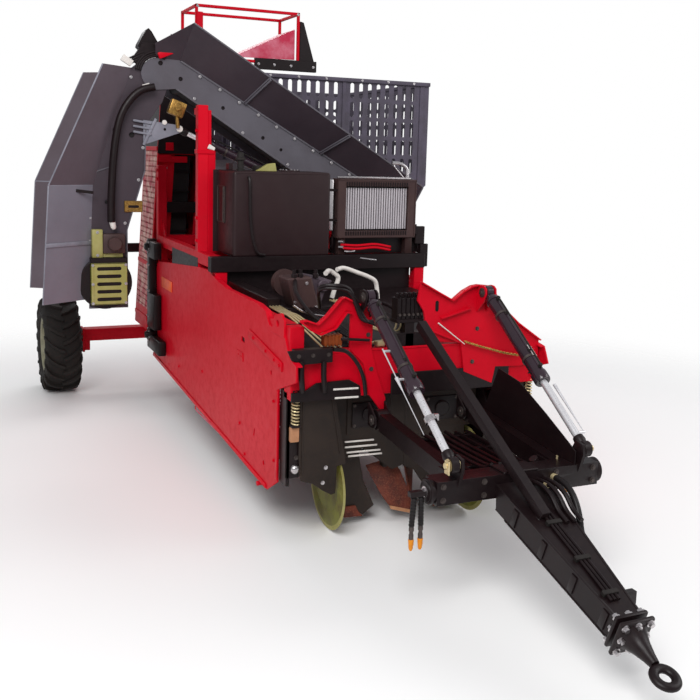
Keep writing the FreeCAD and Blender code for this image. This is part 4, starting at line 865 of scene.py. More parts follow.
def ring_pattern() -> Pattern:
    """The item that comes in, repeated round an axis along X through a centre.

    Returns:
        The tree.
    """
    made = Pattern("Ring", [("Count", "NodeSocketInt"), ("Centre", "NodeSocketVector")])
    count = made.inputs["Count"]
    spots = made.add("GeometryNodePoints", {}, {"Count": count,
                                                "Position": made.inputs["Centre"]})
    index = made.add("GeometryNodeInputIndex")
    share = made.add("ShaderNodeMath", {"operation": "DIVIDE"},
                     {0: index.outputs[0], 1: count})
    angle = made.add("ShaderNodeMath", {"operation": "MULTIPLY", 1: 2 * math.pi},
                     {0: share.outputs[0]})
    turn = made.add("ShaderNodeCombineXYZ", {}, {"X": angle.outputs[0]})
    laid = made.add("GeometryNodeInstanceOnPoints", {},
                    {"Points": spots.outputs[0], "Instance": made.inputs["Geometry"],
                     "Rotation": turn.outputs[0]})
    return made.close(laid.outputs[0])


def grid_pattern() -> Pattern:
    """The tile that comes in, laid edge to edge in columns and rows and welded into one sheet.

    Returns:
        The tree.
    """
    made = Pattern("Tiles", [("Columns", "NodeSocketInt"), ("Rows", "NodeSocketInt"),
                             ("Across", "NodeSocketVector"), ("Up", "NodeSocketVector")])
    row = made.add("GeometryNodeMeshLine", {"mode": "OFFSET"},
                   {"Count": made.inputs["Columns"], "Offset": made.inputs["Across"]})
    first = made.add("GeometryNodeInstanceOnPoints", {},
                     {"Points": row.outputs[0], "Instance": made.inputs["Geometry"]})
    strip = made.add("GeometryNodeRealizeInstances", {}, {0: first.outputs[0]})
    column = made.add("GeometryNodeMeshLine", {"mode": "OFFSET"},
                      {"Count": made.inputs["Rows"], "Offset": made.inputs["Up"]})
    second = made.add("GeometryNodeInstanceOnPoints", {},
                      {"Points": column.outputs[0], "Instance": strip.outputs[0]})
    real = made.add("GeometryNodeRealizeInstances", {}, {0: second.outputs[0]})
    welded = made.add("GeometryNodeMergeByDistance", {"Distance": 0.0002}, {0: real.outputs[0]})
    return made.close(welded.outputs[0])


def coil_pattern() -> Pattern:
    """A coil spring that stands at every vertex.

    Returns:
        The tree.
    """
    made = Pattern("Coil", [("Radius", "NodeSocketFloat"), ("Height", "NodeSocketFloat"),
                            ("Turns", "NodeSocketFloat"), ("Wire", "NodeSocketFloat")])
    spiral = made.add("GeometryNodeCurveSpiral", {"Resolution": 20},
                      {"Start Radius": made.inputs["Radius"], "End Radius": made.inputs["Radius"],
                       "Height": made.inputs["Height"], "Rotations": made.inputs["Turns"]})
    ring = made.add("GeometryNodeCurvePrimitiveCircle", {"Resolution": 8},
                    {"Radius": made.inputs["Wire"]})
    wire = made.add("GeometryNodeCurveToMesh", {"Fill Caps": True},
                    {"Curve": spiral.outputs[0], "Profile Curve": ring.outputs[0]})
    laid = made.add("GeometryNodeInstanceOnPoints", {},
                    {"Points": made.inputs["Geometry"], "Instance": wire.outputs[0]})
    return made.close(laid.outputs[0])


def chain_pattern() -> Pattern:
    """Oval links along the line that comes in, each turned a quarter from the last.

    Returns:
        The tree.
    """
    # The share of the line left bare at each end, and a link's width as a share of its length.
    clear, narrow = 0.033, 0.52
    made = Pattern("Links", [("Count", "NodeSocketInt"), ("Reach", "NodeSocketFloat"),
                             ("Wire", "NodeSocketFloat")])
    curve = made.add("GeometryNodeMeshToCurve", {}, {0: made.inputs["Geometry"]})
    inner = made.add("GeometryNodeTrimCurve", {"Start": clear, "End": 1 - clear},
                     {"Curve": curve.outputs[0]})
    spots = made.add("GeometryNodeResampleCurve", {}, {"Curve": inner.outputs[0],
                                                       "Count": made.inputs["Count"]})
    round_ = made.add("GeometryNodeCurvePrimitiveCircle", {"Resolution": 16},
                      {"Radius": made.inputs["Reach"]})
    oval = made.add("GeometryNodeTransform", {"Scale": (narrow, 1.0, 1.0),
                                              "Rotation": (math.pi / 2, 0.0, 0.0)},
                    {"Geometry": round_.outputs[0]})
    ring = made.add("GeometryNodeCurvePrimitiveCircle", {"Resolution": 6},
                    {"Radius": made.inputs["Wire"]})
    link = made.add("GeometryNodeCurveToMesh", {}, {"Curve": oval.outputs[0],
                                                    "Profile Curve": ring.outputs[0]})
    tangent = made.add("GeometryNodeInputTangent")
    turn = made.add("FunctionNodeAlignRotationToVector", {"axis": "Z"},
                    {"Vector": tangent.outputs[0]})
    index = made.add("GeometryNodeInputIndex")
    roll = made.add("ShaderNodeMath", {"operation": "MULTIPLY_ADD", 1: math.pi / 2, 2: 0.5},
                    {0: index.outputs[0]})
    quarter = made.add("FunctionNodeAxisAngleToRotation", {"Axis": (0.0, 0.0, 1.0)},
                       {"Angle": roll.outputs[0]})
    both = made.add("FunctionNodeRotateRotation", {"rotation_space": "LOCAL"},
                    {"Rotation": turn.outputs[0], "Rotate By": quarter.outputs[0]})
    laid = made.add("GeometryNodeInstanceOnPoints", {},
                    {"Points": spots.outputs[0], "Instance": link.outputs[0],
                     "Rotation": both.outputs[0]})
    return made.close(laid.outputs[0])


PATTERNS: Dict[str, Pattern] = {}


def pattern(maker: Callable[[], Pattern]) -> Pattern:
    """The tree that a maker gives, made once."""
    if maker.__name__ not in PATTERNS:
        PATTERNS[maker.__name__] = maker()
    return PATTERNS[maker.__name__]


def dots(places: Iterable[Tuple[Point, Point]]) -> bpy.types.Mesh:
    """A mesh of loose vertices, each with the direction that it faces.

    Args:
        places: (place in machine millimetres, direction) pairs.

    Returns:
        The mesh, with an "aim" attribute.
    """
    spots = list(places)
    made = bpy.data.meshes.new("dots")
    made.from_pydata([at(*spot) for spot, _ in spots], [], [])
    aims = made.attributes.new("aim", "FLOAT_VECTOR", "POINT")
    for k, (_, aim) in enumerate(spots):
        aims.data[k].vector = Vector(aim).normalized()
    return made


def bolts(name: str, places: Iterable[Tuple[Point, Point]], look: Look = Look.ZINC,
          body: str = "chassis", head: float = 15.0, height: float = 12.0) -> bpy.types.Object:
    """Bolt heads at places on the machine.

    Args:
        name: the piece's name.
        places: (place, direction) pairs in machine millimetres.
        look: their finish.
        body: the body that they ride on.
        head: half a head's width.
        height: how far a head stands out.

    Returns:
        All of them as one piece.
    """
    data = pattern(bolt_pattern).mesh(dots(places), look, Head=head * MM, Height=height * MM)
    return settle(name, data, look, body, smooth=20.0)


def row(name: str, item: Shape, count: int, step: Point, look: Look,
        body: str = "chassis") -> bpy.types.Object:
    """An item repeated along a straight line.

    Args:
        name: the piece's name.
        item: the first one.
        count: how many there are.
        step: from each to the next, in millimetres.
        look: their finish.
        body: the body that they ride on.

    Returns:
        All of them as one piece.
    """
    data = pattern(row_pattern).mesh(item.data(name), look, Count=count,
                                     Step=tuple(v * MM for v in step))
    return settle(name, data, look, body)


def ring(name: str, item: Shape, count: int, centre: Point, look: Look,
         body: str) -> bpy.types.Object:
    """An item repeated round an axis along X.

    Args:
        name: the piece's name.
        item: the first one, shaped as if the axis went through the machine's datum.
        count: how many there are.
        centre: where the axis really is.
        look: their finish.
        body: the body that they ride on.

    Returns:
        All of them as one piece.
    """
    data = item.data(name)
    data.transform(Matrix.Translation(-DATUM))
    made = pattern(ring_pattern).mesh(data, look, Count=count, Centre=tuple(at(*centre)))
    return settle(name, made, look, body)


def perforated(name: str, corner: Point, across: Point, up: Point, counts: Tuple[int, int],
               hole: Tuple[float, float], thick: Point, look: Look) -> bpy.types.Object:
    """A sheet with a slot in each cell of a grid.

    Args:
        name: the piece's name.
        corner: the sheet's first corner.
        across, up: one cell's two sides.
        counts: cells across and up.
        hole: the slot's width and height.
        thick: the sheet's thickness, as a vector.
        look: its finish.

    Returns:
        The sheet.
    """
    side, rise = Vector(across), Vector(up)
    wide, high = side.length, rise.length
    inner = slotted(0.5, 0.5, hole[0], hole[1])
    inner = [(0.5 + (a - 0.5) / wide, 0.5 + (b - 0.5) / high) for a, b in inner]
    outer = [(1, 0.5), (1, 1), (0.5, 1), (0, 1), (0, 0.5), (0, 0), (0.5, 0), (1, 0)]
    part = bmesh.new()
    faces = []
    for level in (0, 1):
        rings = [[part.verts.new(Vector(corner) + side * a + rise * b + Vector(thick) * level)
                  for a, b in loop] for loop in (outer, inner)]
        faces.append(rings)
        edges = [part.edges.new(pair) for loop in rings for pair in zip(loop, loop[1:] + loop[:1])]
        bmesh.ops.triangle_fill(part, edges=edges, use_beauty=True)
    low, top = faces[0][1], faces[1][1]
    for k in range(len(low)):
        n = (k + 1) % len(low)
        part.faces.new((low[k], low[n], top[n], top[k]))
    tile = Shape()
    scratch = bpy.data.meshes.new("scratch")
    part.to_mesh(scratch)
    part.free()
    tile.mesh.from_mesh(scratch)
    data = pattern(grid_pattern).mesh(tile.data(name), look, Columns=counts[0], Rows=counts[1],
                                      Across=tuple(side * MM), Up=tuple(rise * MM))
    whole = bmesh.new()
    whole.from_mesh(data)
    border = [e for e in whole.edges if len(e.link_faces) == 1]
    bmesh.ops.bridge_loops(whole, edges=border)
    bmesh.ops.recalc_face_normals(whole, faces=whole.faces)
    whole.to_mesh(data)
    whole.free()
    return settle(name, data, look, "chassis")


# ------------------------------------------------------------------ camera and light
@dataclass
class Studio:
    """A pale floor, soft light and the camera. Places are machine millimetres."""

    eye: Point = (-3107.0, -8403.0, 2679.0)
    ahead: Point = (0.4028, 0.9037, -0.1454)
    top: Point = (0.0345, 0.1437, 0.9890)
    lens: float = 48.37
    sensor: float = 36.0
    lower: float = -0.08
    target: Point = (0.0, -600.0, 1200.0)
    sky: float = 0.5
    floor_half: float = 60.0
    fade_from: float = 4.5
    fade_to: float = 8.0

    def build(self) -> None:
        """Makes the camera, the lamps, the world and the floor."""
        scene = bpy.context.scene
        scene.view_settings.view_transform = "Standard"
        self.camera(scene)
        self.world(scene)
        self.lamp("key", (-5800, -10000, 9300), (6.0, 6.0), 1080)
        self.lamp("fill", (8200, -6500, 6500), (6.0, 6.0), 340)
        self.lamp("rim", (1000, 9800, 8200), (8.0, 4.0), 420)
        self.floor()

    def camera(self, scene: bpy.types.Scene) -> None:
        """The camera, a little above the tank and to the machine's right.

        Args:
            scene: the scene that it is the camera of.
        """
        view = bpy.data.cameras.new("view")
        view.lens, view.sensor_width, view.shift_y = self.lens, self.sensor, self.lower
        view.clip_start, view.clip_end = 0.1, 200.0
        holder = bpy.data.objects.new("view", view)
        back, up = -Vector(self.ahead).normalized(), Vector(self.top)
        side = up.cross(back).normalized()
        turn = Matrix((side, back.cross(side).normalized(), back)).transposed()
        holder.matrix_world = Matrix.Translation(at(*self.eye)) @ turn.to_4x4()
        scene.collection.objects.link(holder)
        scene.camera = holder

    def world(self, scene: bpy.types.Scene) -> None:
        """A plain sky, and plain white where the camera sees it directly.

        Args:
            scene: the scene that it is the world of.
        """
        scene.world = bpy.data.worlds.new("sky")
        scene.world.use_nodes = True
        tree = scene.world.node_tree
        tree.nodes.clear()
        path = node(tree, "ShaderNodeLightPath")
        seen = node(tree, "ShaderNodeMath", {"operation": "MAXIMUM"},
                    {0: path.outputs["Is Camera Ray"], 1: path.outputs["Is Transmission Ray"]})
        soft = node(tree, "ShaderNodeBackground", {"Color": linear("#F2F4F8"),
                                                   "Strength": self.sky})
        white = node(tree, "ShaderNodeBackground", {"Color": (1, 1, 1, 1), "Strength": 1.0})
        mixed = node(tree, "ShaderNodeMixShader", {},
                     {0: seen.outputs[0], 1: soft.outputs[0], 2: white.outputs[0]})
        node(tree, "ShaderNodeOutputWorld", {}, {0: mixed.outputs[0]})

    def lamp(self, name: str, spot: Point, size: Tuple[float, float], power: float) -> None:
        """One soft rectangular lamp that faces the machine's middle.

        Args:
            name: the lamp's name.
            spot: where it hangs.
            size: its width and height in metres.
            power: its power in watts.
        """
        light = bpy.data.lights.new(name, "AREA")
        light.shape, light.size, light.size_y, light.energy = "RECTANGLE", *size, power
        holder = bpy.data.objects.new(name, light)
        place = at(*spot)
        aim = (at(*self.target) - place).to_track_quat("-Z", "Y")
        holder.matrix_world = Matrix.Translation(place) @ aim.to_matrix().to_4x4()
        bpy.context.scene.collection.objects.link(holder)

    def floor(self) -> None:
        """A wide pale floor that keeps the machine's soft shadow and fades out round it."""
        ground = bpy.data.meshes.new("floor")
        half = self.floor_half
        ground.from_pydata([(x, y, 0) for x, y in rectangle(-half, -half, half, half)], [],
                           [(0, 1, 2, 3)])
        paint = bpy.data.materials.new("Pale_studio_floor")
        paint.use_nodes = True
        tree = paint.node_tree
        tree.nodes.clear()
        coords = node(tree, "ShaderNodeTexCoord")
        reach = node(tree, "ShaderNodeVectorMath", {"operation": "LENGTH"},
                     {0: coords.outputs["Object"]})
        away = node(tree, "ShaderNodeMapRange", {"From Min": self.fade_from,
                                                 "From Max": self.fade_to,
                                                 "interpolation_type": "SMOOTHSTEP"},
                    {"Value": reach.outputs["Value"]})
        shader = node(tree, "ShaderNodeBsdfPrincipled",
                      {"Base Color": linear("#FAF9F8"), "Roughness": 0.9})
        clear = node(tree, "ShaderNodeBsdfTransparent")
        mixed = node(tree, "ShaderNodeMixShader", {},
                     {0: away.outputs[0], 1: shader.outputs[0], 2: clear.outputs[0]})
        node(tree, "ShaderNodeOutputMaterial", {}, {0: mixed.outputs[0]})
        ground.materials.append(paint)
        holder = bpy.data.objects.new("floor", ground)
        bpy.context.scene.collection.objects.link(holder)


# ------------------------------------------------------------------ hoses and chain
@dataclass
class Hoses:
    """The free hoses on the drawbar and the stay chain. Routes are machine millimetres."""

    hose: float = 10.0
    sleeve: float = 20.0
    chain: float = 8.0
    sleeve_turns: int = 9
    sleeve_pitch: float = 19.0
    route_a: Sequence[Point] = ((-670, -3900, 780), (-670, -3900, 720), (-680, -3903, 658),
                                (-680, -3903, 600))
    route_b: Sequence[Point] = ((-625, -3900, 780), (-625, -3900, 720), (-621, -3903, 658),
                                (-621, -3903, 600))
    route_tongue: Sequence[Point] = (
        (230, -3995, 815), (230, -4090, 815), (222, -4185, 771), (212, -4255, 687),
        (203, -4298, 580), (194, -4372, 492), (176, -4479, 449), (154, -4584, 442),
        (125, -4690, 458), (125, -4790, 458))
    route_chain: Sequence[Point] = ((309.5, -2745, 1398.4), (414, -2746, 1362),
                                    (544, -2748, 1326), (668, -2746, 1288),
                                    (786.2, -2745, 1267.4))

    @staticmethod
    def curve(name: str, route: Sequence[Point], radius: float) -> bpy.types.Object:
        """A NURBS tube whose control points are a route.

        Args:
            name: the piece's name.
            route: places in machine millimetres.
            radius: the tube's radius in millimetres.

        Returns:
            The curve object, not yet riding on a body.
        """
        data = bpy.data.curves.new(name, "CURVE")
        data.dimensions, data.bevel_depth, data.bevel_resolution = "3D", radius * MM, 5
        data.resolution_u, data.use_fill_caps = 16, True
        spline = data.splines.new("NURBS")
        spline.points.add(len(route) - 1)
        for dot, spot in zip(spline.points, route):
            dot.co = (*at(*spot), 1.0)
        spline.order_u, spline.use_endpoint_u = 3, True
        made = bpy.data.objects.new(name, data)
        bpy.context.scene.collection.objects.link(made)
        return made

    def build(self) -> None:
        """Makes every cord and the pieces on it."""
        for side, route in (("a", self.route_a), ("b", self.route_b)):
            self.coupler(side, route)
        self.tongue_hose()
        self.stay_chain()

    def dress(self, made: bpy.types.Object, look: Look, body: str, stands_for: str) -> None:
        """Gives a cord its finish and its body.

        Args:
            made: the cord.
            look: its finish.
            body: the body that it rides on.
            stands_for: the CAD node that it replaces.
        """
        made.data.materials.append(look.material())
        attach(made, body)
        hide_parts(stands_for)

    def coupler(self, side: str, route: Sequence[Point]) -> None:
        """One hanging hose with its quick coupler and orange cap.

        Args:
            side: "a" or "b".
            route: the hose's route, from its top.
        """
        hose = self.curve("coupler_hose_" + side + "_cover", route, self.hose)
        self.dress(hose, Look.HOSE, "drawbar", "coupler_hose_" + side)
        x, y, end = route[-1]
        metal = Shape()
        metal.lathe([(24, 0), (24, 12.5), (0, 13), (-4, 15), (-22, 15), (-26, 11.5), (-40, 11.5),
                     (-44, 14), (-80, 14), (-80, 0)], (x, y, end), UP, 24)
        nut = metal.make("coupler_body_" + side, Look.DULL, "drawbar")
        wrap = Shape()
        for k in range(self.sleeve_turns):
            low = end + 4 + self.sleeve_pitch * k
            wrap.lathe([(0, 11), (0, 15), (5, 17), (12, 17), (17, 15), (17, 11)],
                       (x + (route[0][0] - x) * k / self.sleeve_turns, y, low), UP, 18)
        sleeve = wrap.make("coupler_sleeve_" + side, Look.HOSE, "drawbar")
        cap = Shape()
        cap.lathe([(-72, 0), (-72, 15), (-76, 17), (-84, 16), (-88, 15.5), (-128, 12),
                   (-140, 7), (-143, 0)], (x, y, end), UP, 24)
        cap.box((x + 8, y - 3, end - 112), (x + 17, y + 3, end - 80), 1.5)
        lid = cap.make("coupler_lid_" + side, Look.CAP, "drawbar", ["coupler_cap_" + side])
        tuple(at(*route[0]))

    def tongue_hose(self) -> None:
        """The sleeved hose that drops from the yoke and lies beside the tongue."""
        hose = self.curve("tongue_hose_sleeve", self.route_tongue, self.sleeve)
        self.dress(hose, Look.HOSE, "drawbar", "tongue_hose")
        tuple(at(*self.route_tongue[0]))

    def stay_chain(self) -> None:
        """The short chain on the left bracket, as links along its route."""
        line = self.curve("chain_line", self.route_chain, 0.0)
        followed = bpy.data.meshes.new_from_object(line)
        path = [tuple(v.co) for v in followed.vertices]
        bpy.data.objects.remove(line)
        data = pattern(chain_pattern).mesh(followed, Look.BRASS, Count=31, Reach=0.0125,
                                           Wire=0.0036)
        links = settle("stay_chain_links", data, Look.BRASS, "chassis", ["stay_chain"])
        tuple(path[0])


# ------------------------------------------------------------------ wheels and axle
@dataclass
class RunningGear:
    """The two wheels and the cross axle. Sizes in millimetres."""

    track: float = 1870.0
    wheel_y: float = 2310.0
    radius: float = 524.0
    half_wide: float = 200.0
    bead: float = 292.0
    lugs: int = 18
    studs: int = 8
    stud_circle: float = 118.0

    def build(self) -> None:
        """Makes both wheels and dresses the axle."""
        for side, sign in SIDES:
            centre = (sign * self.track, self.wheel_y, self.radius)
            body = "wheel_" + side
            self.tyre(side, centre, body)
            self.rim(side, sign, centre, body)
            self.hub(side, sign, centre, body)
        self.axle()

    def tyre(self, side: str, centre: Point, body: str) -> None:
        """A carcass with shoulder lugs.

        Args:
            side: "right" or "left".
            centre: the wheel's middle.
            body: the body that it rides on.
        """
        edge, bead, top = self.half_wide, self.bead, self.radius
        half = [(0, top - 34), (110, top - 38), (edge - 40, top - 50), (edge - 16, top - 84),
                (edge - 10, top - 106), (edge - 15, top - 112), (edge - 11, top - 120),
                (edge - 14, top - 160), (edge - 22, bead + 44), (edge - 28, bead + 40),
                (edge - 34, bead + 22), (edge - 50, bead)]
        profile = half + [(-a, r) for a, r in reversed(half[1:])]
        carcass = Shape().lathe(profile, centre, sides=96)
        carcass.make("tyre_%s_carcass" % side, Look.TYRE, body, ["tyre_" + side])
        lug = Shape()
        self.lug(lug, 1, 0.0)
        self.lug(lug, -1, 180.0 / self.lugs)
        ring("tyre_%s_lugs" % side, lug, self.lugs, centre, Look.TYRE, body)

    def lug(self, shape: Shape, hand: int, shift: float) -> None:
        """One lug that curves from the middle of the tread over the shoulder.

        Args:
            shape: what it is added to.
            hand: the side of the tread.
            shift: degrees that it is turned on.
        """
        top, edge = self.radius, self.half_wide
        stations = ((-8, top - 42, -8, top - 2, 0), (60, top - 44, 60, top - 1, 3),
                    (120, top - 50, 122, top - 3, 8), (edge - 42, top - 66, edge - 25, top - 17, 14),
                    (edge - 22, top - 96, edge - 4, top - 66, 18),
                    (edge - 20, top - 132, edge - 2, top - 124, 21),
                    (edge - 30, top - 172, edge - 10, top - 168, 22))
        part = bmesh.new()
        rings = []
        for low_x, low_r, top_x, top_r, turn in stations:
            corners = []
            for x, r, spread in ((low_x, low_r, -24), (low_x, low_r, 24), (top_x, top_r, 17),
                                 (top_x, top_r, -17)):
                angle = math.radians(turn + shift) + spread / r
                corners.append(part.verts.new((hand * x, r * math.sin(angle),
                                               r * math.cos(angle))))
            rings.append(corners)
        for a, b in zip(rings, rings[1:]):
            for k in range(4):
                n = (k + 1) % 4
                part.faces.new((a[k], a[n], b[n], b[k]))
        part.faces.new(rings[0])
        part.faces.new(rings[-1])
        shape.take(part, 2.5)

    def rim(self, side: str, sign: int, centre: Point, body: str) -> None:
        """A dished rim with a rolled lip, and its wheel nuts.

        Args:
            side: "right" or "left".
            sign: which way that is along X.
            centre: the wheel's middle.
            body: the body that it rides on.
        """
        bead = self.bead
        profile = [(-165, bead + 8), (-153, bead + 7), (-146, bead - 10), (-60, bead - 17),
                   (60, bead - 17), (146, bead - 10), (153, bead + 7), (165, bead + 8),
                   (167, bead), (157, bead - 18), (124, bead - 27), (78, bead - 30),
                   (72, bead - 52), (56, 188), (60, 168), (60, 62), (50, 62), (50, 168), (46, 190),
                   (60, bead - 48), (48, bead - 30), (-124, bead - 27), (-157, bead - 18),
                   (-167, bead)]
        shape = Shape().lathe(profile, centre, (sign, 0, 0), 72)
        shape.make("rim_%s_dish" % side, Look.RIM, body, ["rim_" + side])
        x, y, z = centre
        studs = bolt_circle((x + sign * 61, y, z), sign, self.stud_circle, self.studs)
        bolts("wheel_nuts_" + side, studs, Look.ZINC, body, 14, 20)

    def hub(self, side: str, sign: int, centre: Point, body: str) -> None:
        """The hub with its cap, and the drum behind it.

        Args:
            side: "right" or "left".
            sign: which way that is along X.
            centre: the wheel's middle.
            body: the body that it rides on.
        """
        profile = [(-110, 47), (-110, 66), (-96, 72), (20, 72), (26, 148), (46, 150), (50, 146),
                   (50, 62), (58, 60), (92, 57), (98, 46), (107, 42), (110, 30), (110, 0), (55, 0),
                   (50, 47)]
        shape = Shape().lathe(profile, centre, (sign, 0, 0), 40)
        drum = [(-98, 74), (-98, 168), (-90, 176), (4, 176), (10, 168), (10, 74)]
        shape.lathe(drum, centre, (sign, 0, 0), 40)
        shape.make("hub_%s_cast" % side, Look.HUB, body, ["hub_" + side])

    def axle(self) -> None:
        """The cross beam with its posts, spindles, end flanges, gussets and bolts."""
        red, heads = Shape(), []
        red.box((-1600, 2236, 545), (1600, 2384, 683), 12, 2)
        for sign in (-1, 1):
            x = sign * 1600
            red.box((x, 2214, 428), (x + sign * 24, 2406, 690), 3)
            red.box((x, 2240, 440), (x - sign * 60, 2380, 560), 6)
            red.rod((sign * 1590, 2310, 524), (sign * 1905, 2310, 524), 45)
            heads += [((x + sign * 24, 2310 + a, 524 + b), (sign, 0, 0))
                      for a in (-72, 72) for b in (-72, 72)]
        for middle in (-470, 928):
            red.box((middle - 60, 2250, 660), (middle + 50, 2370, 1425), 5)
            for hand in (-1, 1):
                if middle > 0 and hand > 0:
                    continue
                edge = middle + hand * 60
                red.plate("xz", [(edge, 680), (edge + hand * 170, 680), (edge + hand * 10, 880),
                                 (edge, 880)], 2304, 12)
        red.make("axle_beam_shell", Look.RED, replaces=["axle_beam"])
        bolts("axle_bolts", heads, Look.DULL, head=17, height=13)


# ------------------------------------------------------------------ side panels
@dataclass
class SidePanels:
    """The two tall side panels with their holes, strips and bolts."""

    half: float = 990.0
    thick: float = 12.0
    keel: Flat = ((-2500, 430), (-2280, 300), (1490, 500), (1430, 1470), (1210, 1550))
    crest_right: Flat = ((-386, 1677), (-720, 1685), (-955, 1639), (-1251, 1607), (-2023, 1608),
                         (-2196, 1585), (-2283, 1500), (-2596, 1486), (-2690, 1352),
                         (-2830, 1318))
    crest_left: Flat = ((-500, 1594), (-830, 1540), (-1400, 1454), (-2400, 1394), (-2770, 1330))
    nose: Flat = ((-2830, 1210), (-2500, 1090))
    bolt_spots: Flat = ((-1754, 402), (-1618, 610), (-511, 772), (341, 631), (1350, 720),
                        (1350, 1340), (-2420, 560), (-2400, 980))
    strip_spots: Flat = ((-1961, 1345), (-2244, 1304), (-2422, 1279), (-2533, 1262))

    def build(self) -> None:
        """Makes both panels and what is fixed on them."""
        holes = [circle(-2204, 476, 18), circle(-2339, 1170, 16),
                 [(-1722, 1258), (-1640, 1264), (-1644, 1300), (-1724, 1294)],
                 slotted(-1980, 640, 18, 60, 20), circle(1180, 1180, 26), circle(760, 560, 15)]
        for side, sign, crest in (("right", -1, self.crest_right), ("left", 1, self.crest_left)):
            start = min(sign * self.half, sign * (self.half - self.thick))
            outline = [*self.keel, *crest, *self.nose]
            sheet = Shape().plate("yz", outline, start, self.thick, holes, 3)
            sheet.make("panel_" + side, Look.RED, replaces=["side_panel_" + side])
            self.trims(side, sign, crest)
        self.right_extras()

    def trims(self, side: str, sign: int, crest: Flat) -> None:
        """The folded top lip, keel bar, nose doubler, raised strip and bolts of one side.

        Args:
            side: "right" or "left".
            sign: which way that is along X.
            crest: the panel's upper edge, from the back to the nose.
        """
        face, lip = sign * (self.half + 5), sign * (self.half - 28)
        shape = Shape()
        upper = [self.keel[-2], self.keel[-1], *crest]
        for a, b in zip(upper, upper[1:]):
            shape.beam((lip, a[0], a[1] - 5), (lip, b[0], b[1] - 5), 34, 9, 2)
        shape.beam((sign * (self.half + 3), -2268, 322), (sign * (self.half + 3), 1478, 522),
                   12, 34, 3)
        shape.beam((face, -1844, 1361), (face, -2573, 1257), 10, 66, 3)
        shape.beam((face, -2492, 445), (face, -2492, 1082), 10, 40, 3)
        shape.make("panel_trims_" + side, Look.RED)
        spots = [((sign * self.half, *s), (sign, 0, 0)) for s in self.bolt_spots]
        spots += [((sign * (self.half + 10), *s), (sign, 0, 0)) for s in self.strip_spots]
        bolts("panel_bolts_" + side, spots, Look.RED, head=11, height=9)

    def right_extras(self) -> None:
        """What only the right-hand panel carries."""
        face = -self.half
        ear = [(-2330, 1460), (-2412, 1594), (-2539, 1623), (-2605, 1574), (-2596, 1460)]
        lug = Shape().plate("yz", ear, face - 4, 16, [circle(-2470, 1540, 24)], 3)
        lug.make("panel_ear", Look.RED)
        backs = Shape()
        for y, z, half in ((-1681, 1279, 56), (-2204, 476, 30), (-2339, 1170, 28),
                           (-1980, 640, 46), (1180, 1180, 40), (760, 560, 28)):
            backs.box((face + 13, y - half, z - half), (face + 16, y + half, z + half), 0.5)
        backs.make("panel_hole_backs", Look.BLACK)
        amber = Shape()
        amber.box((face - 7, 620, 1306), (face, 1060, 1412), 5, 2)
        amber.make("side_reflectors", Look.AMBER)
        small = Shape()
        small.rod((face - 16, -2101, 288), (face + 30, -2101, 288), 17)
        small.box((face - 8, -302, 372), (face, -292, 402), 1)
        small.plate("yz", [(-1700, 1110), (-1560, 1124), (-1548, 1180), (-1690, 1176)],
                    face - 6, 6, [circle(-1660, 1144, 9), circle(-1590, 1150, 9)], 1)
        small.make("panel_tabs", Look.RED)
        dirt = Shape()
        dirt.box((face - 3, -1022, 362), (face, -302, 378), 1)
        dirt.make("panel_wear_strip", Look.PINK)


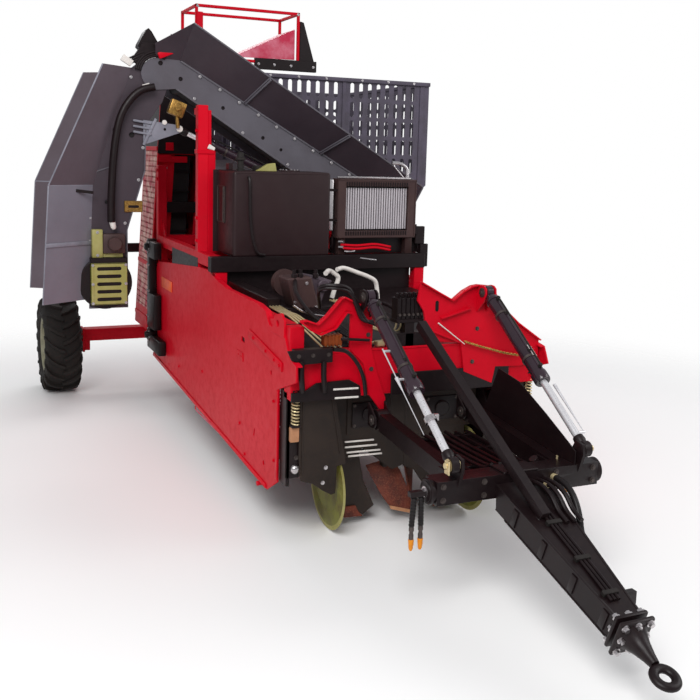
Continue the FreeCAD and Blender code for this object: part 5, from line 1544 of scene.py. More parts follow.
# ------------------------------------------------------------------ frame
@dataclass
class Chassis:
    """Rails, headstock, deck, columns, bunker cradle and rear light bar."""

    column_x: float = 933.0
    rail_inner: float = 878.0

    def build(self) -> None:
        """Eases the CAD's own deck, cradle and light bar, and makes everything round them."""
        for name, look in (("deck_frame", Look.RED), ("bunker_cradle", Look.BLACK),
                           ("light_bar", Look.BLACK)):
            refined(name, look, ease=5.0)
        self.rails()
        self.covers()
        self.gussets()
        self.heads()
        self.rear()

    def rails(self) -> None:
        """The headstock, the long rails, and their posts and cross members.

        Ahead of the deck the left rail runs lower, under the crest of its panel.
        """
        inner, outer = self.rail_inner, self.rail_inner + 100
        rails = Shape()
        for low, high in (((-outer, -2570, 1420), (-inner, 1490, 1550)),
                          ((inner, -880, 1420), (outer, 3250, 1550)),
                          ((-520, 1440, 1420), (-420, 3250, 1550)),
                          ((-470, 3130, 1430), (outer - 5, 3210, 1540)),
                          ((-outer + 5, 1400, 1430), (outer - 5, 1480, 1540)),
                          ((-outer + 5, -1990, 1430), (inner - 4, -1910, 1492)),
                          ((-outer + 5, -1590, 1430), (inner - 4, -1510, 1492))):
            rails.box(low, high, 6)
        rails.beam((inner + 50, -2572, 1290), (inner + 50, -800, 1402), 100, 110, 6)
        for y in (-835, -260, 1330):
            for low in (-outer, inner):
                rails.box((low, y - 45, 1545), (low + 100, y + 45, 1710), 5)
        rails.make("frame_rails", Look.RED, replaces=["main_frame"])
        head = Shape().box((-outer, -2700, 1050), (outer, -2570, 1370), 6)
        head.box((-outer, -2680, 1365), (-inner, -2570, 1550), 5)
        head.make("headstock_beam", Look.RED, replaces=["headstock"])

    def covers(self) -> None:
        """Black sheets: over the deck's front beam, across the frame, between the rails and over the
        right rail's front, and two on the headstock's foot that paint its shade.
        """
        dark = Shape()
        dark.box((-1020, -892, 1690), (980, -788, 1818), 5)
        dark.box((-876, -1900, 1500), (-770, -900, 1622), 6)
        dark.box((-870, -800, 1330), (870, -792, 1708), 2)
        dark.box((-876, -2080, 1494), (876, -815, 1502), 2)
        dark.plate("yz", [(-2080, 1502), (-2080, 1494), (-2570, 1366), (-2570, 1376)], -876, 1752,
                   ease=1)
        # The two black sheets on the headstock's lower front are painted shade, where the headstock
        # falls dark towards its foot.
        dark.box((-240, -2718, 1040), (720, -2701, 1196), 4)
        dark.plate("xz", [(-978, 1048), (-978, 1112), (-880, 1120), (-800, 1168), (-560, 1176),
                          (-480, 1130), (-470, 1048)], -2722, 20, ease=3)
        dark.box((-879, -2585, 1405), (-860, -2560, 1560), 2)
        dark.box((-979, -2584, 1395), (-876, -2566, 1552), 2)
        for y in (-1990, -1590):
            dark.box((-760, y, 1498), (-360, y + 80, 1544), 3)
        dark.make("deck_covers_and_shade_sheets", Look.BLACK)

    def gussets(self) -> None:
        """Corner plates at the posts and columns."""
        red, dark = Shape(), Shape()
        column = self.column_x
        for sign in (-1, 1):
            edge = sign * (self.rail_inner + 4)
            red.plate("xz", [(edge, 1712), (edge - sign * 150, 1712), (edge, 1560)], 1325, 10)
        for y, top in ((1285, 1810), (1375, 1810), (-215, 1810)):
            hand = -1 if y == 1285 else 1
            red.plate("yz", [(y, top), (y + hand * 150, top), (y, top + 190)], -column - 5, 10)
        dark.box((-979.5, -304, 1560), (-976, 666, 1750), 0.5)
        red.box((-978, -2705, 1362), (978, -2690, 1378), 3)
        for sign in (-1, 1):
            red.plate("yz", [(-2570, 1372), (-2430, 1424), (-2570, 1424)], sign * 930 - 6, 12)
        red.make("frame_gussets", Look.RED)
        dark.make("frame_slots", Look.BLACK)

    def heads(self) -> None:
        """Bolt heads on the headstock and the columns."""
        spots = [((x, -2700, z), AHEAD) for x in (-940, 930) for z in (1100, 1325)]
        spots += [((-978, y, 2480 - k * 90), RIGHT) for y in (1310, 1350) for k in (0, 1)]
        spots += [((-978, -260, z), RIGHT) for z in (2860, 2100, 1900)]
        bolts("frame_bolts", spots, Look.RED, head=14, height=11)

    def rear(self) -> None:
        """Lamp glasses and reflectors on the rear bar."""
        glass, amber = Shape(), Shape()
        for sign in (-1, 1):
            x = sign * 1000
            glass.box((x - 100, 3326, 1446), (x + 26, 3330, 1524), 1)
            amber.box((x + 34, 3326, 1446), (x + 100, 3330, 1524), 1)
        glass.make("lamp_glass_red", Look.RED)
        amber.make("lamp_glass_amber", Look.AMBER)
        plate = Shape().box((-160, 3298, 1425), (160, 3304, 1525), 2)
        plate.make("blank_rear_plate", Look.VINYL)
        bar = Shape()
        for x in (-470, 890):
            bar.box((x - 50, 3240, 1400), (x + 50, 3262, 1560), 4)
        bar.make("rear_bar_pads", Look.BLACK)


# ------------------------------------------------------------------ brackets and drawbar
@dataclass
class Brackets:
    """The two splayed brackets that carry the drawbar and its cylinders."""

    ram_x: float = 460.0
    ram_y: float = -2790.0
    ram_z: float = 1750.0
    front: float = -2720.0
    hinge_x: float = 350.0
    hinge_z: float = 900.0

    right_face: Flat = (
        (-640, 1744), (-615, 1750), (-510, 1700), (-423, 1655), (-395, 1560), (-400, 1381),
        (-357, 1226), (-284, 1029), (-278, 905), (-296, 905), (-409, 1062), (-457, 1278),
        (-565, 1390), (-565, 1640), (-600, 1650), (-680, 1544), (-788, 1506), (-851, 1538),
        (-929, 1600), (-883, 1604), (-805, 1575), (-745, 1628))
    left_face: Flat = (
        (-38, 1832), (85, 1765), (211, 1698), (291, 1759), (362, 1793), (414, 1800), (505, 1790),
        (548, 1745), (640, 1620), (765, 1512), (968, 1375), (968, 1200), (800, 1180),
        (600, 1190), (574, 1068), (333, 1171), (300, 1381),
        (112, 1402), (17, 1480), (-9, 1625), (-60, 1700))

    def build(self) -> None:
        """Makes both brackets."""
        for side, sign, outline in (("right", -1, self.right_face), ("left", 1, self.left_face)):
            self.plates(side, sign, outline)
            self.pins(side, sign)
        self.left_parts()

    def plates(self, side: str, sign: int, outline: Flat) -> None:
        """A bracket's face, the flanges along its upper edge, and its ears.

        Args:
            side: "right" or "left".
            sign: which way that is along X.
            outline: the face, seen from the front.
        """
        shape = Shape().plate("xz", outline, self.front, 20, ease=3)
        top = outline[13:] + outline[:4] if sign < 0 else outline[:11]
        for a, b in zip(top, top[1:]):
            shape.beam((a[0], self.front - 14, a[1] - 5), (b[0], self.front - 14, b[1] - 5),
                       34, 10, 2)
        pin_ear = [(self.front, 1600), (-2815, 1690), (-2838, 1738), (-2834, 1780),
                   (-2806, 1798), (-2765, 1800), (self.front, 1790)]
        hinge_ear = [(self.front, 1010), (-2800, 954), (-2842, 925), (-2848, 880), (-2824, 850),
                     (-2780, 842), (self.front, 850)]
        shape.make("bracket_%s_plates" % side, Look.RED,
                   replaces=["cylinder_bracket_" + side])
        for name, x, half, ear, hole, look in (
                ("bracket_ears_", self.ram_x, 39, pin_ear, (self.ram_y, self.ram_z),
                 Look.BLACK if sign < 0 else Look.RED),
                ("hinge_ears_", self.hinge_x, 60, hinge_ear, (self.ram_y, self.hinge_z),
                 Look.BLACK)):
            ears = Shape()
            for hand in (-1, 1):
                ears.plate("yz", ear, sign * x + hand * half - 6, 12, [circle(*hole, 20)], 2)
            ears.make(name + side, look)

    def left_parts(self) -> None:
        """The left bracket's slot, diagonal rib, support to the panel and thin bright rod."""
        y = self.front
        dark = Shape().plate("xz", slotted(94, 1656, 76, 26, 90), y - 3, 4, ease=0.5)
        dark.make("bracket_slots", Look.BLACK)
        red = Shape().beam((122, y - 12, 1570), (354, y - 12, 1632), 28, 14, 3)
        red.beam((60, y - 10, 1480), (260, y - 10, 1400), 24, 12, 3)
        red.beam((566, y - 12, 1640), (790, y - 12, 1300), 28, 14, 3)
        red.make("bracket_ribs", Look.RED)
        thin = Shape().rod((96, y - 24, 1540), (318, y - 24, 1376), 5, 3)
        thin.make("bracket_rod", Look.VINYL)

    def pins(self, side: str, sign: int) -> None:
        """Pin heads with their rings, and a few bolts.

        Args:
            side: "right" or "left".
            sign: which way that is along X.
        """
        bright, heads = Shape(), []
        for x, z, half, radius in ((self.ram_x, self.ram_z, 45, 34),
                                   (self.hinge_x, self.hinge_z, 66, 36)):
            for hand in (-1, 1):
                start = sign * x + hand * half
                bright.lathe([(0, 0), (0, radius), (6, radius), (9, radius * 0.8),
                              (9, radius * 0.45), (15, radius * 0.4), (15, 0)],
                             (start, self.ram_y, z), (hand, 0, 0), 24)
        for a, b in ((430, 1480), (400, 1240)):
            heads.append(((sign * a, self.front, b), AHEAD))
        bright.make("bracket_pins_" + side, Look.DULL)
        bolts("bracket_bolts_" + side, heads, Look.DULL, head=11, height=9)


@dataclass
class Drawbar:
    """Arms, yoke, tapered tongue, flange and towing eye."""

    slope: float = 20.5
    nose_y: float = -4950.0
    nose_z: float = 370.0
    yoke_y: float = -3900.0
    yoke_z: float = 800.0
    boss_x: float = 600.0
    nose_half: float = 75.0
    root_half: float = 170.0

    def on_tongue(self, x: float, along: float, up: float) -> Vector:
        """A place on the tongue.

        Args:
            x: across the machine.
            along: back from the tongue's nose, along it.
            up: square to its top from its middle line.

        Returns:
            The same place in machine millimetres.
        """
        lean = math.radians(self.slope)
        return Vector((x, self.nose_y + along * math.cos(lean) - up * math.sin(lean),
                       self.nose_z + along * math.sin(lean) + up * math.cos(lean)))

    def build(self) -> None:
        """Dresses the drawbar."""
        refined("drawbar_frame", Look.BLACK, "drawbar", 4.0)
        refined("tongue", Look.BLACK, "drawbar", 4.0)
        self.eye()
        self.tongue_parts()
        self.yoke_parts()

    def half_wide(self, along: float) -> float:
        """Half the tongue's width at a distance from its nose.

        Args:
            along: back from the tongue's nose, along it.

        Returns:
            Half its width there.
        """
        root = (self.yoke_y - 70 - self.nose_y) / math.cos(math.radians(self.slope)) + 30
        return self.nose_half + (self.root_half - self.nose_half) * along / root

    def eye(self) -> None:
        """The ring eye on its neck, with the bolted double flange."""
        lean = Matrix.Rotation(math.radians(self.slope), 4, "X")
        shape = Shape()
        for start, end, half in ((-3, 21, 100), (-50, -25, 105)):
            middle = self.on_tongue(0, (start + end) / 2, 0)
            size = Vector((half, (end - start) / 2, half))
            shape.box(middle - size, middle + size, 9, 2, lean)
        ahead = self.on_tongue(0, -1, 0) - self.on_tongue(0, 0, 0)
        shape.lathe([(26, 0), (26, 96), (44, 96), (58, 74), (120, 50), (180, 34), (222, 26),
                     (222, 0)], self.on_tongue(0, 0, 0), ahead, 32)
        section = [(19 * math.cos(angle), 55 + 26 * math.sin(angle))
                   for angle in (2 * math.pi * k / 14 for k in range(14))]
        up = self.on_tongue(0, 0, 1) - self.on_tongue(0, 0, 0)
        shape.lathe(section, self.on_tongue(0, -300, 0), up, 44)
        shape.make("tow_eye_cast", Look.BLACK, "drawbar", ["tow_eye"], 40)
        heads = []
        back = -ahead
        for a in (-78, 0, 78):
            for b in (-78, 0, 78):
                if a or b:
                    heads.append((self.on_tongue(a, -50, b), ahead))
                    heads.append((self.on_tongue(a, 21, b), back))
        bolts("flange_bolts", heads, Look.ZINC, "drawbar", 15, 17)

    def tongue_parts(self) -> None:
        """Edge welds, clips, a blank tag and the small pipes along the tongue."""
        edge, small, tag = Shape(), Shape(), Shape()
        for hand in (-1, 1):
            for up in (73, -73):
                near, far = self.half_wide(30), self.half_wide(930)
                edge.beam(self.on_tongue(hand * (near - 4), 30, up),
                          self.on_tongue(hand * (far - 4), 930, up), 16, 9, 2)
            for along in (90, 340, 600, 860):
                x = hand * (self.half_wide(along) + 3)
                edge.beam(self.on_tongue(x, along - 22, 0), self.on_tongue(x, along + 22, 0),
                          8, 110, 2)
        for k, x in enumerate((-38, -14, 10)):
            line = [self.on_tongue(x, 880 - 5 * k, 90), self.on_tongue(x, 620, 84),
                    self.on_tongue(x + 3, 330, 84), self.on_tongue(x - 2, 120, 86)]
            edge.pipe(line, 8.5)
        for along in (170, 420, 700):
            middle = self.on_tongue(-14, along, 86)
            lean = Matrix.Rotation(math.radians(self.slope), 4, "X")
            small.box(middle - Vector((48, 14, 14)), middle + Vector((48, 14, 14)), 3, 1, lean)
        edge.make("tongue_welds", Look.BLACK, "drawbar")
        small.make("tongue_clips", Look.HUB, "drawbar")
        tag.box((430, -3824, 640), (462, -3806, 700), 2)
        tag.make("blank_tag", Look.CAP, "drawbar")

    def yoke_parts(self) -> None:
        """Boss caps, lock nuts, grease nipples and the stand tube's collar."""
        zinc, dark, heads = Shape(), Shape(), []
        for sign in (-1, 1):
            dark.lathe([(0, 0), (0, 70), (16, 76), (30, 76), (36, 70), (36, 0)],
                       (sign * (self.boss_x - 42), self.yoke_y, self.yoke_z), (sign, 0, 0), 32)
            heads.append(((sign * self.boss_x, self.yoke_y, self.yoke_z), (sign, 0, 0)))
            for x in (350 - 52, 350 + 52):
                dark.plate("yz", [(-3830, 862), (-3700, 866), (-3700, 800), (-3830, 740)],
                           sign * x - 5, 10)
            zinc.rod((sign * 350, -3838, 866), (sign * 350, -3838, 892), 7)
        for z in (830, 620):
            share = (880 - z) / 363
            spot = (200 + 220 * share, -3800, z)
            dark.rod(spot, (spot[0] + 16, -3800, z - 26), 36, sides=24)
        dark.box((-120, -3974, 868), (120, -3826, 882), 4)
        zinc.lathe([(0, 14), (0, 22), (34, 22), (40, 19), (40, 14)], (230, -3958, 815),
                   AHEAD, 20)
        zinc.lathe([(0, 12), (0, 18), (26, 18), (26, 12)], (112, -4060, 814), AHEAD, 16)
        self.tray()
        dark.make("yoke_collars", Look.BLACK, "drawbar")
        zinc.make("yoke_nipples", Look.GOLD, "drawbar")
        bolts("boss_bolts", heads, Look.ZINC, "drawbar", 22, 16)
        heads = [((sign * x, -3970, z), AHEAD) for sign in (-1, 1) for x in (250, 520)
                 for z in (760, 840)]
        bolts("yoke_bolts", heads, Look.DULL, "drawbar", 13, 10)

    def tray(self) -> None:
        """The ribbed black sheet between the arms, put in as painted shade for the dark under the
        headstock, with steel pipes on it and over the yoke.
        """
        dark = Shape().box((-296, -3826, 750), (296, -2870, 762), 3)
        for x in (-290, -150, 30, 180, 268):
            dark.box((x, -3820, 762), (x + 22, -2880, 792), 4)
        for y in (-3560, -3240, -2960):
            dark.box((-296, y, 762), (296, y + 24, 784), 4)
        for k in range(4):
            x = -110 + 58 * k
            dark.pipe([(x, -3822, 880), (x, -3700, 830), (x + 10, -3300, 812),
                       (x - 20, -2990, 830)], 12)
        for x in (62, 112, 160):
            dark.pipe([(x, -3960, 812), (x, -4090, 820), (x + 3, -4180, 790),
                       (x + 8, -4256, 722), (x + 6, -4340, 690)], 14)
        dark.plate("yz", [(-2890, 890), (-3960, 790), (-3960, 950), (-3642, 1100),
                          (-3330, 1235), (-3080, 1270)], 391, 7, ease=1)
        dark.make("arm_shade_sheet_and_pipes", Look.BLACK, "drawbar")


@dataclass
class Ram:
    """A hydraulic cylinder between two pins, drawn along its own line."""

    name: str
    barrel_body: str
    rod_body: str
    barrel_node: str
    rod_node: str
    start: Point
    end: Point
    lane: Point
    barrel: float = 48.0
    length: float = 860.0
    rod_radius: float = 24.0
    eye: float = 48.0
    wide: float = 50.0
    pin: float = 20.0
    look: Look = Look.BARREL
    hidden: float = 420.0

    def along(self, distance: float, side: Point = (0, 0, 0)) -> Vector:
        """A place on the cylinder's line, moved aside.

        Args:
            distance: how far from the barrel's pin.
            side: how far it is moved.

        Returns:
            The place.
        """
        line = (Vector(self.end) - Vector(self.start)).normalized()
        return Vector(self.start) + line * distance + Vector(side)

    def build(self) -> None:
        """Makes the barrel with its collars and ports, and the rod with its eye."""
        line = Vector(self.end) - Vector(self.start)
        total, r = line.length, self.barrel
        head, stem_radius = self.length, self.rod_radius
        body = Shape()
        body.lathe([(60, 0), (60, r * 0.8), (68, r * 0.92), (92, r * 0.97), (92, r + 3),
                    (104, r + 3), (104, r - 2), (head - 74, r - 2), (head - 74, r + 4),
                    (head - 60, r + 6), (head - 12, r + 6), (head, r + 1), (head, stem_radius + 5),
                    (head - 8, stem_radius + 1), (head - 30, stem_radius + 1), (head - 30, 0)],
                   self.start, line, 40)
        body.lathe([(self.eye * 0.7, 0), (self.eye * 0.7, self.wide * 0.46),
                    (70, self.wide * 0.5), (70, 0)], self.start, line, 24)
        half = Vector(self.lane) * self.wide / 2
        self.knuckle(body, self.start, half)
        body.make(self.name + "_barrel_shell", self.look, self.barrel_body, [self.barrel_node])
        stem = Shape()
        stem.rod(self.along(head - self.hidden), self.along(total - self.eye * 0.75),
                 stem_radius, sides=32)
        stem.make(self.name + "_rod_chrome", Look.CHROME, self.rod_body, [self.rod_node])
        foot = Shape()
        foot.lathe([(total - 92, stem_radius), (total - 92, stem_radius + 9),
                    (total - 60, stem_radius + 13), (total - self.eye * 0.6, self.wide * 0.5),
                    (total - self.eye * 0.6, stem_radius)], self.start, line, 28)
        self.knuckle(foot, self.end, half)
        foot.make(self.name + "_rod_eye", Look.BLACK, self.rod_body)
        self.ports()

    def knuckle(self, shape: Shape, spot: Point, half: Vector) -> None:
        """An eye round its pin hole.

        Args:
            shape: what it is added to.
            spot: the pin's middle.
            half: from there to the eye's far face.
        """
        shape.lathe([(0, self.pin + 1), (0, self.eye - 4), (4, self.eye),
                     (self.wide - 4, self.eye), (self.wide, self.eye - 4),
                     (self.wide, self.pin + 1)], Vector(spot) - half, self.lane, 32)

    def ports(self) -> None:
        """Two banjo ports and the steel pipe that joins them along the barrel."""
        line = (Vector(self.end) - Vector(self.start)).normalized()
        up = Vector(self.lane).cross(line).normalized()
        up = up if up.z > 0 else -up
        over, last = up * (self.barrel + 12), self.length - 92
        piping = Shape()
        for distance in (124, last):
            piping.rod(self.along(distance, up * (self.barrel - 6)),
                       self.along(distance, over * 1.2), 13)
        piping.pipe([self.along(126, over), self.along(170, over * 1.15),
                     self.along(self.length - 140, over * 1.15), self.along(last, over)], 6.5)
        clip = Vector((13, 13, 9))
        for distance in (260, self.length - 240):
            spot = self.along(distance, up * self.barrel)
            piping.box(spot - clip, spot + clip, 3)
        piping.make(self.name + "_ports", Look.HUB, self.barrel_body)
        band = Shape()
        for distance in (230, self.length - 210):
            band.lathe([(distance, self.barrel - 3), (distance, self.barrel + 2.5),
                        (distance + 18, self.barrel + 2.5), (distance + 18, self.barrel - 3)],
                       self.start, line, 40)
        band.make(self.name + "_bands", Look.DULL, self.barrel_body)


@dataclass
class LiftCylinders:
    """The two cylinders that lift the machine on its drawbar."""

    lane_x: float = 460.0
    top: Tuple[float, float] = (-2790.0, 1750.0)
    low: Tuple[float, float] = (-3960.0, 960.0)

    def line(self) -> Vector:
        """The way that both cylinders run, from their upper pins."""
        return (Vector((0, *self.low)) - Vector((0, *self.top))).normalized()

    def on_lane(self, x: float, distance: float) -> Vector:
        """A place on a line beside the cylinders.

        Args:
            x: across the machine.
            distance: how far down from the barrels' pins.

        Returns:
            The place.
        """
        return Vector((x, *self.top)) + self.line() * distance

    def build(self) -> None:
        """Makes both rams, their pins' rings and keeper, and what is fixed on them."""
        for side, sign in SIDES:
            x = sign * self.lane_x
            Ram("lift_" + side, "lift_barrel_" + side, "lift_rod_" + side,
                "lift_%s_barrel" % side, "lift_%s_rod" % side, (x, *self.top), (x, *self.low),
                LEFT).build()
            brass = Shape()
            for hand in (-1, 1):
                brass.lathe([(0, 22), (0, 36), (4, 38), (4, 22)],
                            (x + hand * 25.5, *self.low), (hand, 0, 0), 28)
            brass.lathe([(0, 0), (0, 20), (18, 20), (22, 15), (22, 0)],
                        (sign * (self.lane_x + 33), *self.low), (sign, 0, 0), 20)
            brass.make("pin_rings_" + side, Look.GOLD, "lift_rod_" + side)
        self.right_fittings()
        self.left_fittings()
        keeper = Shape().box((-506, -3998, 912), (-498, -3944, 992), 3)
        keeper.make("pin_keeper", Look.GOLD, "lift_rod_right")

    def right_fittings(self) -> None:
        """The clamp on the right-hand rod, and the stroke sensor beside it."""
        spot = self.on_lane(-self.lane_x, 1060)
        clamp = Shape().lathe([(0, 25), (0, 38), (36, 38), (36, 25)], spot, self.line(), 24)
        clamp.box(spot + Vector((24, -14, -20)), spot + Vector((60, 12, 22)), 4)
        clamp.make("rod_clamp", Look.ZINC, "lift_rod_right")
        lane = -self.lane_x - 88
        sensor = Shape().rod(self.on_lane(lane, 480), self.on_lane(lane, 1180), 5, 2, 14)
        sensor.rod(self.on_lane(lane, 730), self.on_lane(lane, 850), 13, 3, 16)
        for distance in (500, 742):
            spot = self.on_lane(-self.lane_x - 60, distance)
            sensor.box(spot - Vector((30, 9, 7)), spot + Vector((18, 9, 7)), 3)
        sensor.make("stroke_sensor", Look.CHROME, "lift_barrel_right")

    def left_fittings(self) -> None:
        """The blank patch on the left-hand barrel, and the guide strip beside its rod."""
        line = self.line()
        turn = (Matrix.Rotation(math.atan2(line.z, line.y) + math.pi, 4, "X")
                @ Matrix.Rotation(math.radians(24), 4, "Y"))
        spot = self.on_lane(self.lane_x, 620) + turn @ Vector((0, 0, 49))
        patch = Shape().box(spot - Vector((21, 46, 2)), spot + Vector((21, 46, 2)), 1, turn=turn)
        patch.make("blank_patch", Look.VINYL, "lift_barrel_left")
        lane = self.lane_x + 68
        strip = Shape().rod(self.on_lane(lane, 890), self.on_lane(lane, 1300), 11, 2, 14)
        spot = self.on_lane(self.lane_x + 40, 1288)
        strip.box(spot - Vector((34, 9, 9)), spot + Vector((34, 9, 9)), 3)
        strip.make("rod_guide_strip", Look.CHROME, "lift_rod_left")


# ------------------------------------------------------------------ lifting unit
@dataclass
class LiftingUnit:
    """Tool bar, shares, discs, leaf shields, housings and sprung guides."""

    disc_x: float = 570.0
    disc_y: float = -2400.0
    disc_z: float = 336.0
    disc_radius: float = 330.0
    share_lanes: Sequence[float] = (-350.0, -90.0, 90.0, 350.0)

    def build(self) -> None:
        """Makes the whole unit."""
        refined("disc_shields", Look.BLACK, ease=2.0)
        refined("row_housings", Look.EARTHY, ease=7.0)
        self.shares()
        for side, sign in SIDES:
            self.disc(side, sign)
            self.leaf(side, sign)
            self.housing(side, sign)
        self.guides()
        self.legs()

    def disc(self, side: str, sign: int) -> None:
        """A rolling disc with a bright worn rim and a bolted hub.

        Args:
            side: "right" or "left".
            sign: which way that is along X.
        """
        spot, body = (sign * self.disc_x, self.disc_y, self.disc_z), "disc_" + side
        out = self.disc_radius
        half = [(14, 20.3), (14, 58), (8, 64), (8, 84), (5, 88), (5, 190),
                (7, 194), (7, 204), (5, 208), (5, out - 34), (3, out - 30)]
        whole = half + [(0, out)] + [(-a, r) for a, r in reversed(half)]
        sheet = Shape().lathe(whole, spot, (sign, 0, 0), 88)
        sheet.make("rolling_disc_" + side, Look.OLIVE, body, ["lifting_disc_" + side])
        rim = Shape().lathe([(-4, out - 31), (-1.2, out - 4), (0, out), (1.2, out - 4),
                             (4, out - 31)], spot, (sign, 0, 0), 88)
        rim.make("disc_edge_" + side, Look.CREAM, body)
        nuts = bolt_circle((spot[0] + sign * 13, *spot[1:]), sign, 38, 6)
        bolts("disc_nuts_" + side, nuts, Look.DULL, body, 7, 8)

    def leaf(self, side: str, sign: int) -> None:
        """The leaf-shaped shield in front of a disc, with pressed ridges.

        Args:
            side: "right" or "left".
            sign: which way that is along X.
        """
        y = -2664
        outline = [(895, 1140), (651, 1125), (600, 860), (554, 624), (548, 566), (612, 552),
                   (619, 360), (650, 352), (715, 390), (787, 445), (882, 479), (897, 661)]
        shape = Shape()
        shape.plate("xz", [(sign * a, b) for a, b in outline], y, 10, ease=3)
        for a, b in (((872, 1120), (872, 520)), ((672, 1100), (590, 640))):
            shape.beam((sign * a[0], y - 1, a[1]), (sign * b[0], y - 1, b[1]), 10, 14, 3)
        for z in (600, 820, 1020):
            shape.box((sign * 618, -2658, z - 16), (sign * 650, -2540, z + 16), 3)
        shape.make("leaf_shield_" + side, Look.EARTHY)
        spots = [((sign * 696, y, 554), AHEAD), ((sign * 717, y, 448), AHEAD)]
        bolts("leaf_bolts_" + side, spots, Look.ZINC, head=10, height=9)

    def shares(self) -> None:
        """The tool bar with its legs, the bent inner shares and the narrow outer ones."""
        bar, brown, bright = Shape(), Shape(), Shape()
        bar.box((-978, -2390, 800), (978, -2270, 920), 8, 2)
        for x in self.share_lanes:
            bar.box((x - 18, -2360, 390), (x + 18, -2290, 810), 5)
        for sign in (-1, 1):
            x = sign * 503
            bar.box((x - 20, -2445, 300), (x + 20, -2355, 810), 6)
            bar.rod((sign * 483, self.disc_y, self.disc_z), (sign * 606, self.disc_y,
                                                             self.disc_z), 20, 2)
            plate = [(480, 540), (340, 590), (290, 330), (196, 130), (286, 66), (330, 92),
                     (437, 110), (470, 320)]
            bar.plate("xz", [(sign * a, b) for a, b in plate], -2412, 22, ease=4)
            strip = [(445, 66), (292, 62), (330, 104), (352, 150), (440, 150)]
            brown.plate("xz", [(sign * a, b) for a, b in strip], -2428, 18, ease=4)
            inner = ((200, -2250, 384), (160, -2320, 274), (124, -2384, 186), (88, -2440, 124))
            outer = ((29, -2330, 452), (-30, -2372, 360), (-72, -2432, 226), (-92, -2500, 76))
            brown.wall([(sign * a, b, c) for a, b, c in inner],
                       [(sign * (a if sign < 0 else max(a, 70)), b - (0 if sign < 0 else 8), c)
                        for a, b, c in outer], 14)
            end = -92 if sign < 0 else 70
            bright.wall([(sign * 88, -2446, 124), (sign * 82, -2460, 100)],
                        [(sign * end, -2504, 84), (sign * end, -2518, 60)], 12)
        bar.make("tool_bar_shell", Look.EARTHY, replaces=["tool_bar"])
        brown.make("share_blades", Look.RUST, replaces=["lifting_shares"])
        bright.make("share_edges", Look.SCOURED)

    def housing(self, side: str, sign: int) -> None:
        """The dark front sheet of a row housing, and its lid.

        Args:
            side: "right" or "left".
            sign: which way that is along X.
        """
        sheet = Shape()
        outline = [(0, 1110), (600, 1110), (600, 700), (506, 690)]
        if sign < 0:
            outline += [(500, 560), (420, 520), (338, 600), (90, 412), (0, 440)]
        else:
            outline += [(520, 560), (520, 300), (500, 180), (426, 230), (170, 275), (90, 390),
                        (0, 430)]
        sheet.plate("xz", [(sign * a, b) for a, b in outline], -2478, 14, ease=3)
        sheet.make("housing_sheet_" + side, Look.EARTHY)
        if sign < 0:
            self.bars()
        lid = Shape()
        lid.box((sign * 160, -2497, 760), (sign * 430, -2484, 940), 4, 2)
        lid.lathe([(0, 0), (0, 52), (8, 58), (16, 58), (22, 50), (22, 0)],
                  (sign * 295, -2492, 850), AHEAD, 30)
        lid.make("housing_lid_" + side, Look.BLACK)
        spots = [((sign * x, -2497, z), AHEAD) for x in (176, 414) for z in (776, 924)]
        bolts("housing_bolts_" + side, spots, Look.DULL, head=9, height=7)

    def bars(self) -> None:
        """The pale bars across the right-hand housing and the headstock above it."""
        bars = Shape()
        for y, z, near, far in ((-2490, 662, 480, 254), (-2490, 622, 479, 227),
                                (-2490, 582, 465, 200), (-2490, 553, 452, 186),
                                (-2724, 1118, 680, 496), (-2724, 1057, 667, 494)):
            bars.rod((-near, y, z), (-far, y, z - 4), 7, sides=10)
        bars.make("housing_bars_right", Look.VINYL)

    def guides(self) -> None:
        """The two sprung guides at the panels' fronts."""
        dark, spots, heads = Shape(), [], []
        dome, block = Shape(), Shape()
        for sign in (-1, 1):
            dark.box((sign * 882, -2640, 495), (sign * 978, -2622, 1105), 4)
            dark.box((sign * 952, -2640, 440), (sign * 978, -2505, 1100), 4)
            dark.rod((sign * 930, -2672, 872), (sign * 930, -2672, 1118), 11)
            for z in (866, 1110):
                dark.box((sign * 898, -2702, z), (sign * 962, -2632, z + 16), 3)
            spots.append(((sign * 930, -2672, 882), UP))
            block.box((sign * 900, -2680, 760), (sign * 964, -2640, 866), 8, 2)
            dome.lathe([(0, 0), (0, 34), (10, 33), (22, 24), (28, 10), (29, 0)],
                       (sign * 915, -2640, 560), AHEAD, 26)
            heads += [((sign * 905, -2640, z), AHEAD) for z in (640, 1040)]
        dark.make("guide_posts", Look.BLACK, replaces=["row_guides"])
        block.make("guide_blocks", Look.SCOURED)
        dome.make("guide_domes", Look.ZINC)
        data = pattern(coil_pattern).mesh(dots(spots), Look.GOLD, Radius=0.024, Height=0.222,
                                          Turns=10.0, Wire=0.0055)
        settle("guide_springs", data, Look.GOLD, "chassis")
        bolts("guide_bolts", heads, Look.DULL, head=12, height=10)
        depth = Shape().box((-908, -2552, 470), (-868, -2510, 540), 4)
        depth.make("depth_block", Look.CREAM)

    def legs(self) -> None:
        """Clamps, bolts and weld pads that hold the legs to the tool bar."""
        dark, heads = Shape(), []
        for x in (*self.share_lanes, -503.0, 503.0):
            dark.box((x - 34, -2402, 786), (x + 34, -2390, 934), 3)
            dark.box((x - 34, -2270, 786), (x + 34, -2258, 934), 3)
            heads += [((x + a, -2402, z), AHEAD) for a in (-20, 20) for z in (806, 914)]
        dark.make("leg_clamps", Look.BLACK)
        bolts("leg_bolts", heads, Look.DULL, head=9, height=8)


